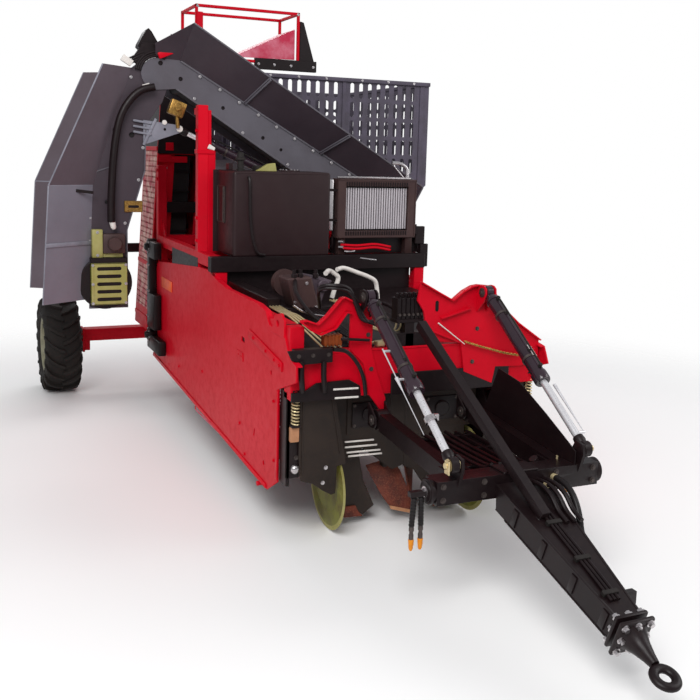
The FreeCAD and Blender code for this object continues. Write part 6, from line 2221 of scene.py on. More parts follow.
@dataclass
class SieveWeb:
    """The rod web and its rollers."""

    cog_lanes: Sequence[float] = (-600.0, -200.0, 200.0, 600.0)

    def build(self) -> None:
        """Keeps the CAD's rods and adds drive cogs and side guards."""
        refined("web_rollers", Look.HUB, ease=3.0)
        refined("cross_conveyor", Look.BLACK, ease=3.0)
        cogs = Shape()
        for y, z in ((-1930, 520), (1150, 1010)):
            for x in self.cog_lanes:
                cogs.lathe([(-14, 108), (-14, 122), (-8, 128), (8, 128), (14, 122), (14, 108)],
                           (x, y, z), LEFT, 24)
        for sign in (-1, 1):
            cogs.plate("yz", [(-1950, 700), (1130, 1190), (1130, 1250), (-1950, 760)],
                       min(sign * 902, sign * 914), 12)
        cogs.make("web_cogs", Look.BLACK)


# ------------------------------------------------------------------ deck
@dataclass
class Tank:
    """The oil tank with its gauge, breather and straps."""

    low: Point = (-830.0, -880.0, 1810.0)
    high: Point = (40.0, -380.0, 2530.0)

    def build(self) -> None:
        """Makes the tank's shell and fittings."""
        x0, y0, _ = self.low
        x1, y1, z1 = self.high
        Shape().box(self.low, self.high, 26, 5).make("tank_shell", Look.TANK,
                                                      replaces=["oil_tank"])
        trim = Shape()
        trim.box((x0 + 20, y0 - 2, z1 - 20), (x1 - 20, y0 + 2, z1 - 16), 1)
        trim.box((-862, -376, 1815), (-796, -366, z1), 2)
        trim.plate("xy", circle(-250, -620, 92, 32), z1 - 4, 14, ease=2)
        trim.box((x0 + 60, y1 - 160, z1), (x0 + 96, y1 - 60, z1 + 60), 4)
        trim.make("tank_trim", Look.TANK)
        bolts("tank_lid_bolts", [((-250 + 76 * math.cos(k), -620 + 76 * math.sin(k), z1 + 10),
                                  UP) for k in range(6)], Look.ZINC, head=8, height=7)
        gauge = Shape()
        for y in (-637, -422):
            gauge.box((x0 - 8, y, 2083), (x0, y + 8, 2397), 1.5)
        for z in (2083, 2389):
            gauge.box((x0 - 8, -637, z), (x0, -414, z + 8), 1.5)
        gauge.rod((x0 - 8, -606, 2092), (x0 - 8, -606, 2390), 6)
        gauge.make("level_gauge", Look.DULL)
        vent = Shape()
        vent.lathe([(0, 0), (0, 34), (20, 34), (24, 26), (90, 26), (96, 44), (112, 44), (118, 30),
                    (150, 28), (158, 20), (158, 0)], (-745, -790, z1 - 4), UP, 24)
        vent.lathe([(0, 0), (0, 46), (10, 50), (44, 50), (50, 44), (50, 0)],
                   (-560, -700, z1 - 4), UP, 28)
        vent.make("tank_breather", Look.HUB)
        wedge = Shape().plate("xz", [(-604, z1), (-427, z1), (-440, z1 + 70), (-500, z1 + 62)],
                              -800, 60, ease=4)
        wedge.make("filler_guard", Look.CREAM)
        lines = Shape()
        lines.pipe([(-700, -860, z1 - 60), (-700, -905, z1 - 80), (-690, -915, 2100),
                    (-640, -915, 1870), (-560, -900, 1830)], 13)
        lines.pipe([(20, -700, 1850), (70, -760, 1840), (92, -800, 1880), (92, -806, 1975)], 12)
        lines.make("tank_return_pipes", Look.BLACK)


@dataclass
class Cooler:
    """The oil cooler: its frame, fins, end tanks and pipes."""

    x0: float = 120.0
    x1: float = 890.0
    front: float = -850.0
    rear: float = -720.0
    z0: float = 1960.0
    z1: float = 2480.0
    rim: float = 80.0
    fins: int = 26

    def build(self) -> None:
        """Makes the frame as its own bars, the fins and the plumbing."""
        refined("cooler_frame", Look.SURROUND, ease=3.0)
        low, high = self.z0 + self.rim * 0.8, self.z1 - self.rim * 0.8
        left, right = self.x0 + self.rim, self.x1 - self.rim
        core = Shape().box((left, self.front + 45, low), (right, self.rear - 45, high), 1)
        core.make("cooler_core_block", Look.BLACK, replaces=["cooler_core"])
        step = (right - left) / self.fins
        for name, y in (("front", self.front + 27), ("rear", self.rear - 45)):
            fin = Shape()
            x = left + step * 0.2
            fin.box((x, y, low + 14), (x + step * 0.58, y + 18, high - 14), 2)
            row("cooler_fins_" + name, fin, self.fins, (step, 0, 0), Look.FIN)
        teeth = Shape()
        for z in (low - 38, high + 2):
            teeth.box((left, self.front - 5, z), (left + step * 0.5, self.front + 4, z + 36), 1)
        row("cooler_comb", teeth, self.fins, (step, 0, 0), Look.BLACK)
        edge = Shape()
        for z in (self.z0 + 6, self.z1 - 16):
            edge.box((self.x0 + 6, self.front - 6, z), (self.x1 - 6, self.front + 2, z + 10), 1)
        for x in (self.x0 + 4, self.x1 - 14):
            edge.box((x, self.front - 6, self.z0 + 4), (x + 10, self.front + 2, self.z1 - 4), 1)
        edge.make("cooler_edges", Look.SURROUND)
        self.pipes()

    def pipes(self) -> None:
        """The bright header strip, its clamps, the top elbow and the lower lines."""
        bright, dark, red = Shape(), Shape(), Shape()
        bright.box((30, self.front + 10, 2024), (88, self.rear - 10, self.z1 - 6), 12, 3)
        bright.pipe([(108, -856, self.z1 + 12), (400, -858, self.z1 + 14), (820, -856,
                                                                         self.z1 + 12)], 8)
        bright.pipe([(663, -790, self.z1 + 146), (740, -800, self.z1 + 138),
                     (800, -812, self.z1 + 96), (806, -820, self.z1 + 10)], 17, 14)
        bright.rod((676, -800, self.z1 + 120), (770, -822, self.z1 + 12), 6)
        for z in (1932, 1884):
            bright.rod((140, -850, z), (170, -884, z), 16)
        bright.pipe([(186, -870, 1850), (230, -884, 1846), (280, -880, 1852)], 9)
        bright.pipe([(279, -1000, 1801), (360, -1004, 1790), (434, -1000, 1781)], 8)
        bright.make("cooler_pipes", Look.ZINC)
        for z in (2110, 2370):
            dark.box((24, self.front + 4, z), (94, self.rear - 4, z + 22), 3)
            dark.box((94, self.front + 8, z + 4), (126, self.front + 24, z + 18), 2)
        dark.box((880, -852, 1990), (906, -760, 2080), 4)
        dark.plate("xz", [(900, 2070), (934, 2060), (980, 1840), (1000, 1660), (968, 1660),
                          (948, 1840)], -800, 12)
        dark.box((100, -760, 1815), (980, -722, 1962), 4)
        dark.box((905, -830, 1900), (1000, -790, 2060), 5)
        dark.box((960, -830, 1690), (1040, -800, 1900), 5)
        dark.make("cooler_clamps", Look.BLACK)
        for k, z in enumerate((1906, 1878)):
            red.pipe([(150, -868, z), (300, -880 - 8 * k, z - 8), (470, -884, z + 2),
                      (616, -872, z - 22), (660, -800, z - 30)], 11)
        red.make("cooler_red_lines", Look.RED)


@dataclass
class Hydraulics:
    """The motor block, its pipes, the valve bank and the steel lines over the deck."""

    def build(self) -> None:
        """Makes every part of it."""
        self.block()
        self.bank()
        self.lines()
        rail = Shape()
        for k in range(4):
            rail.pipe([(-860 + 27 * k, -950, 1600), (-851 + 24 * k, -2065, 1555),
                       (-835 + 24 * k, -2300, 1545), (-720 + 43 * k, -2640, 1383)], 7.5)
        rail.make("rail_pipes", Look.GOLD, replaces=["hydraulic_pipes"])

    def block(self) -> None:
        """The trapezoid gear case, the pump beside it and their flanges."""
        case = Shape()
        case.plate("xz", [(-690, 1550), (-752, 1780), (-560, 1786), (-476, 1502)], -1990, 220,
                   ease=14)
        case.lathe([(0, 0), (0, 104), (70, 104), (84, 92), (84, 0)], (-620, -1612, 1690),
                   BACK, 32)
        case.make("gear_case", Look.SURROUND, replaces=["hydraulic_block"])
        pump = Shape()
        pump.plate("xz", [(-560, 1786), (-378, 1748), (-440, 1660), (-480, 1530), (-560, 1530)],
                   -1960, 260, ease=10)
        pump.lathe([(0, 0), (0, 46), (30, 46), (38, 38), (38, 0)], (-460, -1956, 1716),
                   AHEAD, 26)
        pump.make("gear_pump", Look.PUMP)
        dark = Shape()
        dark.box((-740, -1985, 1530), (-380, -1610, 1556), 4)
        for x, z in ((-690, 1776), (-640, 1780), (-520, 1776)):
            dark.lathe([(0, 0), (0, 22), (26, 22), (34, 14), (60, 14), (60, 0)], (x, -1960, z),
                       UP, 18)
        dark.make("gear_fittings", Look.BLACK)
        spots = [((-600, -1990, 1740), AHEAD), ((-520, -1990, 1560), AHEAD),
                 ((-690, -1990, 1600), AHEAD), ((-480, -1994, 1716), AHEAD)]
        bolts("gear_case_bolts", spots, Look.ZINC, head=9, height=9)

    def bank(self) -> None:
        """The valve bank with its levers and unions."""
        dark, zinc = Shape(), Shape()
        dark.box((-250, -2686, 1368), (100, -2590, 1470), 5)
        dark.box((-130, -2686, 1368), (-60, -2590, 1548), 5)
        dark.box((-200, -2692, 1540), (10, -2582, 1566), 4)
        for k in range(6):
            x = -196 + k * 34.5
            dark.box((x, -2686, 1564), (x + 30, -2590, 1714), 4)
            dark.lathe([(0, 0), (0, 13), (30, 13), (34, 10), (34, 0)], (x + 15, -2640, 1712),
                       UP, 16)
            dark.rod((x + 15, -2664, 1700), (x + 15, -2690, 1758), 5.5)
            zinc.lathe([(0, 0), (0, 10), (20, 10), (20, 0)], (x + 15, -2680, 1600), AHEAD, 6)
        dark.make("valve_bank", Look.BLACK)
        zinc.make("valve_plugs", Look.DULL)

    def lines(self) -> None:
        """Pale, gold and black steel pipes over the deck, the headstock and the rail."""
        pale, gold, dark = Shape(), Shape(), Shape()
        pale.pipe([(-330, -1700, 1770), (-260, -1600, 1776), (-194, -1600, 1739),
                   (-182, -1600, 1704), (-211, -1610, 1640), (-240, -1620, 1560)], 19, 12)
        pale.pipe([(-210, -1640, 1790), (-130, -1600, 1794), (-6, -1600, 1752), (71, -1600, 1724),
                   (140, -1600, 1686), (160, -1600, 1630), (162, -1620, 1540)], 18, 12)
        pale.make("suction_pipes", Look.VINYL)
        thin = Shape().pipe([(-819, -2300, 1630), (-720, -2300, 1572), (-570, -2300, 1542)], 7)
        thin.make("drain_pipe", Look.ZINC)
        ribbed = Shape().box((-749, -2712, 1420), (-615, -2650, 1486), 6)
        for k in range(5):
            ribbed.box((-744 + 27 * k, -2718, 1414), (-730 + 27 * k, -2646, 1492), 3)
        ribbed.make("copper_section", Look.COPPER)
        for k in range(3):
            gold.pipe([(-395 + 26 * k, -1950, 1600), (-330 + 30 * k, -2150, 1570),
                       (-300 + 34 * k, -2400, 1480), (-190 + 36 * k, -2600, 1470),
                       (-181 + 36 * k, -2660, 1600)], 7)
        gold.pipe([(-420, -2560, 1388), (-300, -2600, 1400), (-150, -2560, 1420),
                   (60, -2500, 1392), (280, -2560, 1388)], 9)
        gold.box((-330, -2660, 1378), (-270, -2600, 1414), 5)
        gold.box((-470, -2670, 1374), (-400, -2610, 1404), 5)
        gold.make("valve_pipes", Look.GOLD)
        for k in range(4):
            dark.pipe([(-640 + 30 * k, -2030, 1560), (-610 + 24 * k, -2250, 1540),
                       (-520 + 22 * k, -2450, 1450), (-430 + 20 * k, -2680, 1392)], 10)
        dark.pipe([(-690, -1980, 1760), (-740, -2150, 1690), (-700, -2350, 1570),
                   (-560, -2520, 1470)], 15)
        dark.pipe([(20, -2630, 1600), (120, -2600, 1560), (260, -2560, 1480),
                   (420, -2640, 1400), (560, -2705, 1385)], 12)
        dark.pipe([(-60, -1500, 1480), (40, -1900, 1560), (60, -2250, 1520), (-40, -2540, 1480)],
                  14)
        for k in range(4):
            lift, out = 20 * (k % 2), -20 * (k // 2)
            dark.pipe([(-700, -2500, 1640 + lift), (-783, -2690, 1790 + lift),
                       (-700, -2745 + out, 1812 + lift), (-600, -2745 + out, 1786 + lift),
                       (-536 - lift / 2, -2745 + out, 1700), (-470 - lift, -2745 + out, 1590),
                       (-385, -2745 + out, 1552 + lift), (-300, -2745 + out, 1500 + lift)], 11)
        dark.make("pressure_pipes", Look.BLACK)


@dataclass
class SideDrives:
    """The web drive on the right panel and the rail that the pipes hang from."""

    def build(self) -> None:
        """Makes the chain case and the rail."""
        case = Shape()
        case.box((-1070, 1306, 700), (-990, 1414, 1760), 12, 3)
        for y, low, high in ((1060, 1580, 1750), (1080, 845, 1210), (870, 620, 765)):
            case.box((-1072, y, low), (-995, 1420, high), 10, 2)
        for z in (760, 1690):
            case.lathe([(0, 0), (0, 78), (14, 84), (78, 84), (84, 76), (84, 0)],
                       (-990, 1360, z), RIGHT, 32)
            case.lathe([(84, 0), (84, 40), (110, 36), (118, 28), (118, 0)], (-990, 1360, z),
                       RIGHT, 26)
        case.make("web_drive_case", Look.BLACK, replaces=["web_drive"])
        spots = [spot for z in (760, 1690) for spot in bolt_circle((-1073, 1360, z), -1, 64, 6, 0.3)]
        spots += [((-1070, y, z), RIGHT) for y in (1322, 1398) for z in (960, 1230, 1500)]
        bolts("web_drive_bolts", spots, Look.ZINC, head=9, height=8)
        rail = Shape()
        rail.plate("xz", [(-1030, 1410), (-1000, 1345), (-930, 1312), (-708, 1318), (-708, 1412)],
                   -2772, 16, ease=4)
        rail.box((-976, -2760, 1396), (-708, -2702, 1412), 3)
        for x, z in ((-930, 1340), (-772, 1330)):
            rail.pipe([(x, -2772, z), (x - 2, -2776, z - 90), (x + 4, -2772, z - 150),
                       (x + 20, -2740, z - 215)], 19)
        rail.pipe([(-710, -2780, 1407), (-616, -2784, 1387), (-534, -2784, 1300),
                   (-483, -2780, 1193), (-455, -2760, 1070)], 14, 12)
        rail.pipe([(-642, -2745, 1466), (-560, -2760, 1462), (-433, -2745, 1447)], 10)
        rail.make("pipe_rail", Look.BLACK, replaces=["hose_rail"])
        bolts("pipe_rail_bolts", [((x, -2772, 1372), AHEAD) for x in (-950, -850, -740)],
              Look.DULL, head=10, height=8)


# ------------------------------------------------------------------ bunker and elevator
@dataclass
class Bunker:
    """Four slotted walls on a trough floor."""

    right: float = -350.0
    left: float = 1800.0
    front: float = 670.0
    rear: float = 3100.0
    high: float = 3470.0
    wall: float = 8.0
    slot: Tuple[float, float] = (46.0, 156.0)
    column: float = 100.0
    course: float = 190.0

    def build(self) -> None:
        """Makes the walls, the rim, the ribs and the floor."""
        refined("bunker_floor", Look.BUNKER, ease=1.5)
        self.cross_walls()
        self.side_walls()
        self.rim()

    def cross_wall(self, y: float, fields: Sequence[Tuple[str, float, float, int, int]],
                   gates: Sequence[Flat] = ()) -> Shape:
        """A wall across the bunker: its slotted fields, and the plain sheet round them.

        Args:
            y: the wall's front face.
            fields: (piece's name, left edge, lower edge, columns, courses) of each field.
            gates: outlines that are left open.

        Returns:
            The plain sheet, not yet dressed.
        """
        holes = []
        for name, x, z, columns, courses in fields:
            perforated(name, (x, y, z), (self.column, 0, 0), (0, 0, self.course),
                       (columns, courses), self.slot, (0, self.wall, 0), Look.BUNKER)
            holes.append(rectangle(x, z, x + columns * self.column, z + courses * self.course))
        return Shape().plate("xz", [(self.right, 2600), (900, 2150), (1500, 2150),
                                    (self.left, 2380), (self.left, self.high),
                                    (self.right, self.high)], y, self.wall, [*holes, *gates])

    def cross_walls(self) -> None:
        """The wall behind the conveyor, with its gate, and the wall at the back."""
        front = self.cross_wall(self.front, [("bunker_front_slots_a", -332, 2680, 11, 4),
                                             ("bunker_front_slots_b", 852, 2490, 8, 5)],
                                [rectangle(930, 2170, 1470, 2476)])
        front.make("bunker_front_sheet", Look.BUNKER, replaces=["bunker_walls"])
        rear = self.cross_wall(self.rear - self.wall, [("bunker_rear_slots", -325, 2680, 21, 4)])
        rear.make("bunker_rear_sheet", Look.BUNKER)

    def side_walls(self) -> None:
        """Both long walls, slotted between plain bands."""
        plain, columns = Shape(), 24
        y0, y1 = self.front + self.wall, self.rear - self.wall
        margin = (y1 - y0 - columns * self.column) / 2
        for name, x, start, low, courses in (
                ("right", self.right, 2612, 2640, 4), ("left", self.left - self.wall, 2392, 2450, 5)):
            perforated("bunker_%s_slots" % name, (x, y0 + margin, low), (0, self.column, 0),
                       (0, 0, self.course), (columns, courses), self.slot, (self.wall, 0, 0),
                       Look.BUNKER)
            field = rectangle(y0 + margin, low, y1 - margin, low + courses * self.course)
            plain.plate("yz", rectangle(y0, start, y1, self.high), x, self.wall, [field])
        plain.make("bunker_side_sheets", Look.BUNKER)

    def rim(self) -> None:
        """Upright ribs and the folded rim outside the walls."""
        shape = Shape()
        x0, x1, y0, y1 = self.right, self.left, self.front, self.rear
        z = self.high - 20
        for a, b in (((x0 - 10, y0 - 14), (x1, y0 - 14)), ((x0 - 10, y1 + 14), (x1, y1 + 14)),
                     ((x0 - 14, y0), (x0 - 14, y1)), ((x1 - 2, y0), (x1 - 2, y1))):
            shape.beam((*a, z), (*b, z), 28, 38, 3)
        for x in (420, 1060):
            shape.box((x, y1, 2240), (x + 40, y1 + 34, z), 3)
        for y in (1000, 1880, 2740):
            shape.box((x0 - 30, y, 2610), (x0, y + 40, z), 3)
            shape.box((x1 - 4, y, 2390), (x1 + 26, y + 40, z), 3)
        shape.box((790, y0 - 9, 2200), (830, y0, z), 2)
        shape.box((1690, y0 - 9, 2330), (1740, y0, z), 2)
        shape.make("bunker_ribs", Look.BUNKER)
        heads = [((x, y0 - 28, z), AHEAD) for x in (-300, 0, 300, 600, 1000, 1300, 1600)]
        bolts("bunker_bolts", heads, Look.ZINC, head=9, height=7)
        gate = Shape()
        for x in (900, 1478):
            gate.box((x, y0 - 18, 2160), (x + 22, y0, 2486), 3)
        gate.box((925, y0 - 12, 2440), (1475, y0 - 4, 2486), 3)
        gate.make("gate_guides", Look.BLACK)


@dataclass
class Elevator:
    """The upright elevator in its casing, with the open hood on top."""

    low: float = 780.0
    high: float = 3640.0
    right: float = -1060.0
    wide: float = 480.0
    lean: float = 180.0
    front: float = 1490.0
    rear: float = 2120.0
    wall: float = 10.0

    def outer(self, z: float) -> float:
        """Where the casing's right-hand wall is at a height.

        Args:
            z: the height.

        Returns:
            The place across the machine.
        """
        return self.right + self.lean * (z - self.low) / (self.high - self.low)

    def leaning(self, low: float, high: float, near: float, far: float) -> Flat:
        """The outline of a strip that leans as the casing does.

        Args:
            low, high: where it starts and ends.
            near, far: its two edges, from the right-hand wall's outside.

        Returns:
            The outline's corners.
        """
        return [(self.outer(low) + near, low), (self.outer(low) + far, low),
                (self.outer(high) + far, high), (self.outer(high) + near, high)]

    def build(self) -> None:
        """Makes the casing, its frame and the hood."""
        self.casing()
        self.frame_bars()
        self.hood()

    def casing(self) -> None:
        """The front sheet with its openings, the rear one, and the walls between them."""
        low, high, wide = self.low, self.high, self.wide
        outline = self.leaning(low, high, 0, wide)
        openings = [self.leaning(a, b, 185, wide - 50)
                    for a, b in ((960, 1380), (1580, 2640), (2780, 3520))]
        sheets = Shape()
        sheets.plate("xz", outline, self.front, self.wall, openings, 2)
        sheets.plate("xz", outline, self.rear - self.wall, self.wall, ease=2)
        y0, y1 = self.front + self.wall, self.rear - self.wall
        for a, b, start, end in ((low, low + 40, y0, y1), (low + 40, low + 480, y0, y0 + 50),
                                 (low + 40, low + 480, y1 - 50, y1), (low + 480, high, y0, y1)):
            sheets.plate("xz", self.leaning(a, b, wide - self.wall, wide), start, end - start,
                         ease=0.5)
        sheets.plate("xz", self.leaning(low, 1000, 0, self.wall), y0, y1 - y0, ease=0.5)
        sheets.make("elevator_sheets", Look.RED, replaces=["elevator_casing"])
        rows, columns, skipped, count = 52, 10, 4, 31
        rise = (high - low) / rows
        start = low + skipped * rise
        # The slotted strip's pale cream mottle is painted light, standing for the light seen through
        # its slots.
        perforated("elevator_slots", (self.outer(start), y0, start), (0, (y1 - y0) / columns, 0),
                   (self.lean / rows, 0, rise), (columns, count), (44, 20),
                   (self.wall, 0, 0), Look.SLOT_LIGHT)
        upper = self.leaning(start + count * rise, high, 0, self.wall)
        Shape().plate("xz", upper, y0, y1 - y0, ease=0.5).make("elevator_upper_side", Look.BLACK)

    def frame_bars(self) -> None:
        """Corner angles, cross bands and bolts of the casing, and its flights."""
        shape, heads = Shape(), []
        for y in (self.front - 4, self.rear + 4):
            for shift in (8, self.wide - 8):
                shape.beam((self.outer(self.low) + shift, y, self.low),
                           (self.outer(self.high) + shift, y, self.high), 12, 46, 3)
        for z in (900, 1480, 2700, 3580):
            x = self.outer(z)
            shape.box((x, self.front - 12, z - 22), (x + self.wide, self.front, z + 22), 3)
            shape.box((x, self.rear, z - 22), (x + self.wide, self.rear + 12, z + 22), 3)
            shape.box((x - 10, self.front, z - 22), (x + 2, self.rear, z + 22), 3)
            heads += [((x + a, self.front - 12, z), AHEAD) for a in (60, 120, 300, 430)]
        heads += [((self.outer(z) + 100, self.front, z), AHEAD)
                  for z in (1700, 1900, 2100, 2300, 2500)]
        shape.box((self.outer(2560) + 20, self.front - 30, 2560),
                  (self.outer(2560) + 150, self.front, 2640), 4)
        shape.box((-861, self.front - 48, 2683), (-780, self.front - 34, 2765), 4)
        shape.box((-812, self.front - 30, 2560), (-630, self.front, 2625), 4)
        shape.make("elevator_bands", Look.RED)
        cover = Shape().plate("xz", self.leaning(2650, 3630, -4, self.wide + 4),
                              self.front - 34, 8, ease=2)
        cover.make("elevator_cover", Look.BLACK)
        bolts("elevator_bolts", heads, Look.ZINC, head=11, height=9)
        flight = Shape()
        flight.box((self.outer(980) + 104, self.front + 40, 980),
                   (self.outer(980) + self.wide - 104, self.front + 62, 1004), 3)
        rise = 210
        row("elevator_flights", flight, 12, (self.lean * rise / (self.high - self.low), 0, rise),
            Look.BLACK)

    def hood(self) -> None:
        """A light red frame round a rubbed sloping plate, on dark supports."""
        bars, plate = Shape(), Shape()
        x0, x1, y0, y1, z0, z1 = -540, 620, self.front, self.rear, self.high, 4200
        size = 30
        for y in (y0, y1 - size):
            for x in (x0, x1 - size):
                bars.box((x, y, z0), (x + size, y + size, z1), 4)
            bars.box((x0, y, z1 - size), (x1, y + size, z1), 4)
            bars.box((x0, y, z0), (x1, y + size, z0 + size), 4)
        for x in (x0, x1 - size):
            for z in (z0, z1 - size):
                bars.box((x, y0, z), (x + size, y1, z + size), 4)
        bars.box((-890, y0 + 5, z0), (-510, y1 - 5, z0 + 12), 2)
        bars.box((-528, y0 - 16, 3916), (-462, y0, 4120), 4)
        bars.make("hood_bars", Look.RED, replaces=["elevator_hood"])
        slope = [(-190, z0 + 44), (-60, z0 + 60), (576, z0 + 372), (576, z0 + 386),
                 (-66, z0 + 76), (-200, z0 + 56)]
        plate.plate("xz", slope, y0 + 46, y1 - y0 - 92, ease=2)
        plate.plate("xz", [(-60, z0 + 70), (574, z0 + 380), (574, z0 + 60), (-60, z0 + 52)],
                    y0 + 30, 8, ease=1)
        plate.make("hood_slide", Look.PINK)
        dark = Shape()
        dark.box((112, y0 - 12, z0 - 64), (819, y0 + 36, z0 + 52), 4)
        dark.plate("xz", [(622, 4110), (664, 4100), (812, z0 - 20), (812, z0 - 60), (622, z0 - 60)],
                   y0 - 6, 24, ease=4)
        dark.make("hood_support", Look.BLACK)
        bolts("hood_bolts", [((x, y0 - 12, z0 - 10), AHEAD) for x in (150, 330, 520, 780)]
              + [((x, y0, z1 - 22), AHEAD) for x in (-518, 598)], Look.ZINC, head=10,
              height=8)
        refined("elevator_chain", Look.BELT, ease=2.0)


# ------------------------------------------------------------------ unloading conveyor
@dataclass
class FixedConveyor:
    """The fixed section: side plates, the near flare, the horn guard and the belt."""

    near: float = -50.0
    far: float = 550.0
    thick: float = 8.0
    fold: Tuple[float, float] = (-1280.0, 3340.0)
    fold_radius: float = 137.0
    foot: float = 1250.0
    flare_y: float = -300.0

    @staticmethod
    def top(x: float) -> float:
        """How high the side plate's upper edge is at a place across."""
        return 3471 - 0.5695 * (x + 1077)

    @staticmethod
    def bottom(x: float) -> float:
        """How high the side plate's lower edge is at a place across."""
        return 3218 - 0.6295 * (x + 1118)

    @staticmethod
    def crest(x: float) -> float:
        """How high the flare's upper edge is at a place across."""
        return 3761 - 0.6021 * (x + 1017)

    def hinge_arc(self) -> List[Tuple[float, float]]:
        """The round end of a side plate, from its top to its bottom."""
        x, z = self.fold
        return [(x + self.fold_radius * math.cos(math.radians(a)),
                 z + self.fold_radius * math.sin(math.radians(a))) for a in range(90, 271, 12)]

    def build(self) -> None:
        """Makes the whole section."""
        self.plates()
        self.flare()
        self.details()
        self.belt()
        self.stand()

    def plates(self) -> None:
        """Near and far side plates."""
        foot = self.foot
        holes = [circle(-1248, 3433, 21), circle(-1071, 3307, 19), circle(-684, 3073, 17),
                 circle(-303, 2819, 17), circle(-125, 2715, 15), circle(560, 2290, 16)]
        tail = [(-1118, self.bottom(-1118)), (foot, self.bottom(foot))]
        near = Shape().plate("xz", self.hinge_arc() + tail + [(foot, self.top(foot)),
                                                             (-1077, self.top(-1077))],
                             self.near, self.thick, holes, 1.5)
        near.plate("xz", self.hinge_arc() + tail + [(foot, self.crest(foot)),
                                                    (-1017, self.crest(-1017)),
                                                    (-1077, self.top(-1077))],
                   self.far, self.thick, holes[:2], 1.5)
        for a, b in (((-1070, self.top(-1070) - 8), (foot, self.top(foot) - 8)),
                     ((-1110, self.bottom(-1110) + 8), (foot, self.bottom(foot) + 8))):
            for y in (self.near - 5, self.far + self.thick + 5):
                near.beam((a[0], y, a[1]), (b[0], y, b[1]), 10, 16, 2)
        near.make("fixed_side_plates", Look.GREY, replaces=["inner_conveyor_sides"])
        dark = Shape()
        for x, z in ((-1248, 3433), (-1071, 3307), (-684, 3073), (-303, 2819), (-125, 2715)):
            dark.rod((x, self.near + 11, z), (x, self.near + 15, z), 28, 1)
        dark.make("fixed_hole_covers", Look.BLACK)

    def flare(self) -> None:
        """The near flare wall with its folded crest and two angled ribs."""
        foot, wall = self.foot, Shape()
        wall.wall([(-1077, self.near + 4, self.top(-1077) - 4), (foot, self.near + 4,
                                                               self.top(foot) - 4)],
                  [(-1017, self.flare_y, self.crest(-1017)), (foot, self.flare_y,
                                                             self.crest(foot))], 8)
        wall.wall([(-1290, self.near + 4, 3477), (-1077, self.near + 4, self.top(-1077) - 4)],
                  [(-1310, -120, 3590), (-1017, self.flare_y, self.crest(-1017))], 8)
        # The flare takes the darker grey, which is painted shade.
        wall.make("fixed_flare", Look.SHADE_GREY)
        ribs = Shape()
        off = Vector((-0.319, -0.723, -0.560)) * 9
        for low_x, high_x in ((-478, -319), (269, 461), (1000, 1150)):
            a = Vector((low_x, self.near, self.top(low_x))) + off
            b = Vector((high_x, self.flare_y, self.crest(high_x))) + off
            ribs.beam(a, b, 56, 12, 3)
            ribs.beam(a + off * 1.4, b + off * 1.4, 12, 26, 2)
        ribs.beam((-1017, self.flare_y, self.crest(-1017)), (foot, self.flare_y,
                                                            self.crest(foot)), 16, 14, 3)
        ribs.beam((foot - 4, self.near - 2, self.top(foot)), (foot - 4, self.flare_y,
                                                             self.crest(foot)), 18, 14, 3)
        ribs.make("flare_ribs", Look.GREY)

    def details(self) -> None:
        """Bolts along the fold, the horn guard, the hinge boss and the pipes over it."""
        heads = [((x, self.near - 10, self.top(x) - 34), AHEAD)
                 for x in (-900, -717, -535, -353, -175, 3, 190, 380, 570, 760, 950, 1140)]
        heads += [((x, self.near - 10, self.bottom(x) + 30), AHEAD)
                  for x in (-950, -500, -60, 400, 830, 1180)]
        bolts("fixed_plate_bolts", heads, Look.ZINC, head=10, height=8)
        horn = [(-1062, 3400), (-1062, 3440), (-1150, 3540), (-1200, 3572), (-1262, 3610),
                (-1318, 3700), (-1345, 3727), (-1372, 3700), (-1430, 3590), (-1436, 3566),
                (-1396, 3530), (-1290, 3528), (-1190, 3512), (-1090, 3425), (-1090, 3400)]
        dark = Shape().plate("xz", horn, self.near + 30, 140, ease=4)
        dark.plate("xz", [(-1508, 3444), (-1440, 3392), (-1402, 3420), (-1350, 3468),
                          (-1280, 3488), (-1190, 3520), (-1262, 3590), (-1400, 3600)],
                   self.near - 14, 10, ease=3)
        dark.box((-1090, self.near + 4, 3400), (-1062, self.far, 3430), 4)
        for k, r in enumerate((152, 170, 188)):
            dark.pipe([(self.fold[0] + r * math.cos(math.radians(a)), self.near - 4 - 3 * k,
                        self.fold[1] + r * math.sin(math.radians(a)) * 0.98)
                       for a in range(62, 176, 12)], 12)
        for k in range(3):
            dark.beam((-1531, -60 - 3 * k, 3398 + 26 * k), (-1400, -61 - 3 * k, 3480 + 20 * k),
                      10, 16, 3)
        dark.make("horn_guard", Look.BLACK)
        band, white = Shape(), Shape()
        band.beam((-1272, -70, 3490), (-1142, -74, 3546), 40, 56, 8)
        band.make("pipe_band", Look.RED)
        white.beam((-1166, -66, 3548), (-1142, -66, 3558), 34, 44, 6)
        white.beam((-1584, -72, 3462), (-1500, -72, 3410), 26, 58, 5)
        white.make("pipe_sleeves", Look.VINYL)
        boss = Shape()
        boss.lathe([(0, 0), (0, 46), (5, 46), (8, 40), (8, 26), (14, 24), (20, 22), (20, 0)],
                   (self.fold[0], self.far + self.thick, self.fold[1]), BACK, 32)
        boss.make("hinge_boss", Look.HUB)

    def belt(self) -> None:
        """The belt's slab with cleats across it."""
        refined("inner_belt", Look.BELT, ease=2.0)
        start, end = Vector((-985, 0, 3252.3)), Vector((1140, 0, 1914.6))
        along = (end - start).normalized()
        up = Vector((-along.z, 0, along.x))
        spot = start + along * 80 + up * 44
        corners = [spot, spot + along * 16, spot + along * 12 + up * 34, spot + along * 4 + up * 34]
        cleat = Shape().plate("xz", [(c.x, c.z) for c in corners], -26, 560, ease=2)
        row("inner_cleats", cleat, 14, along * 172, Look.BELT)

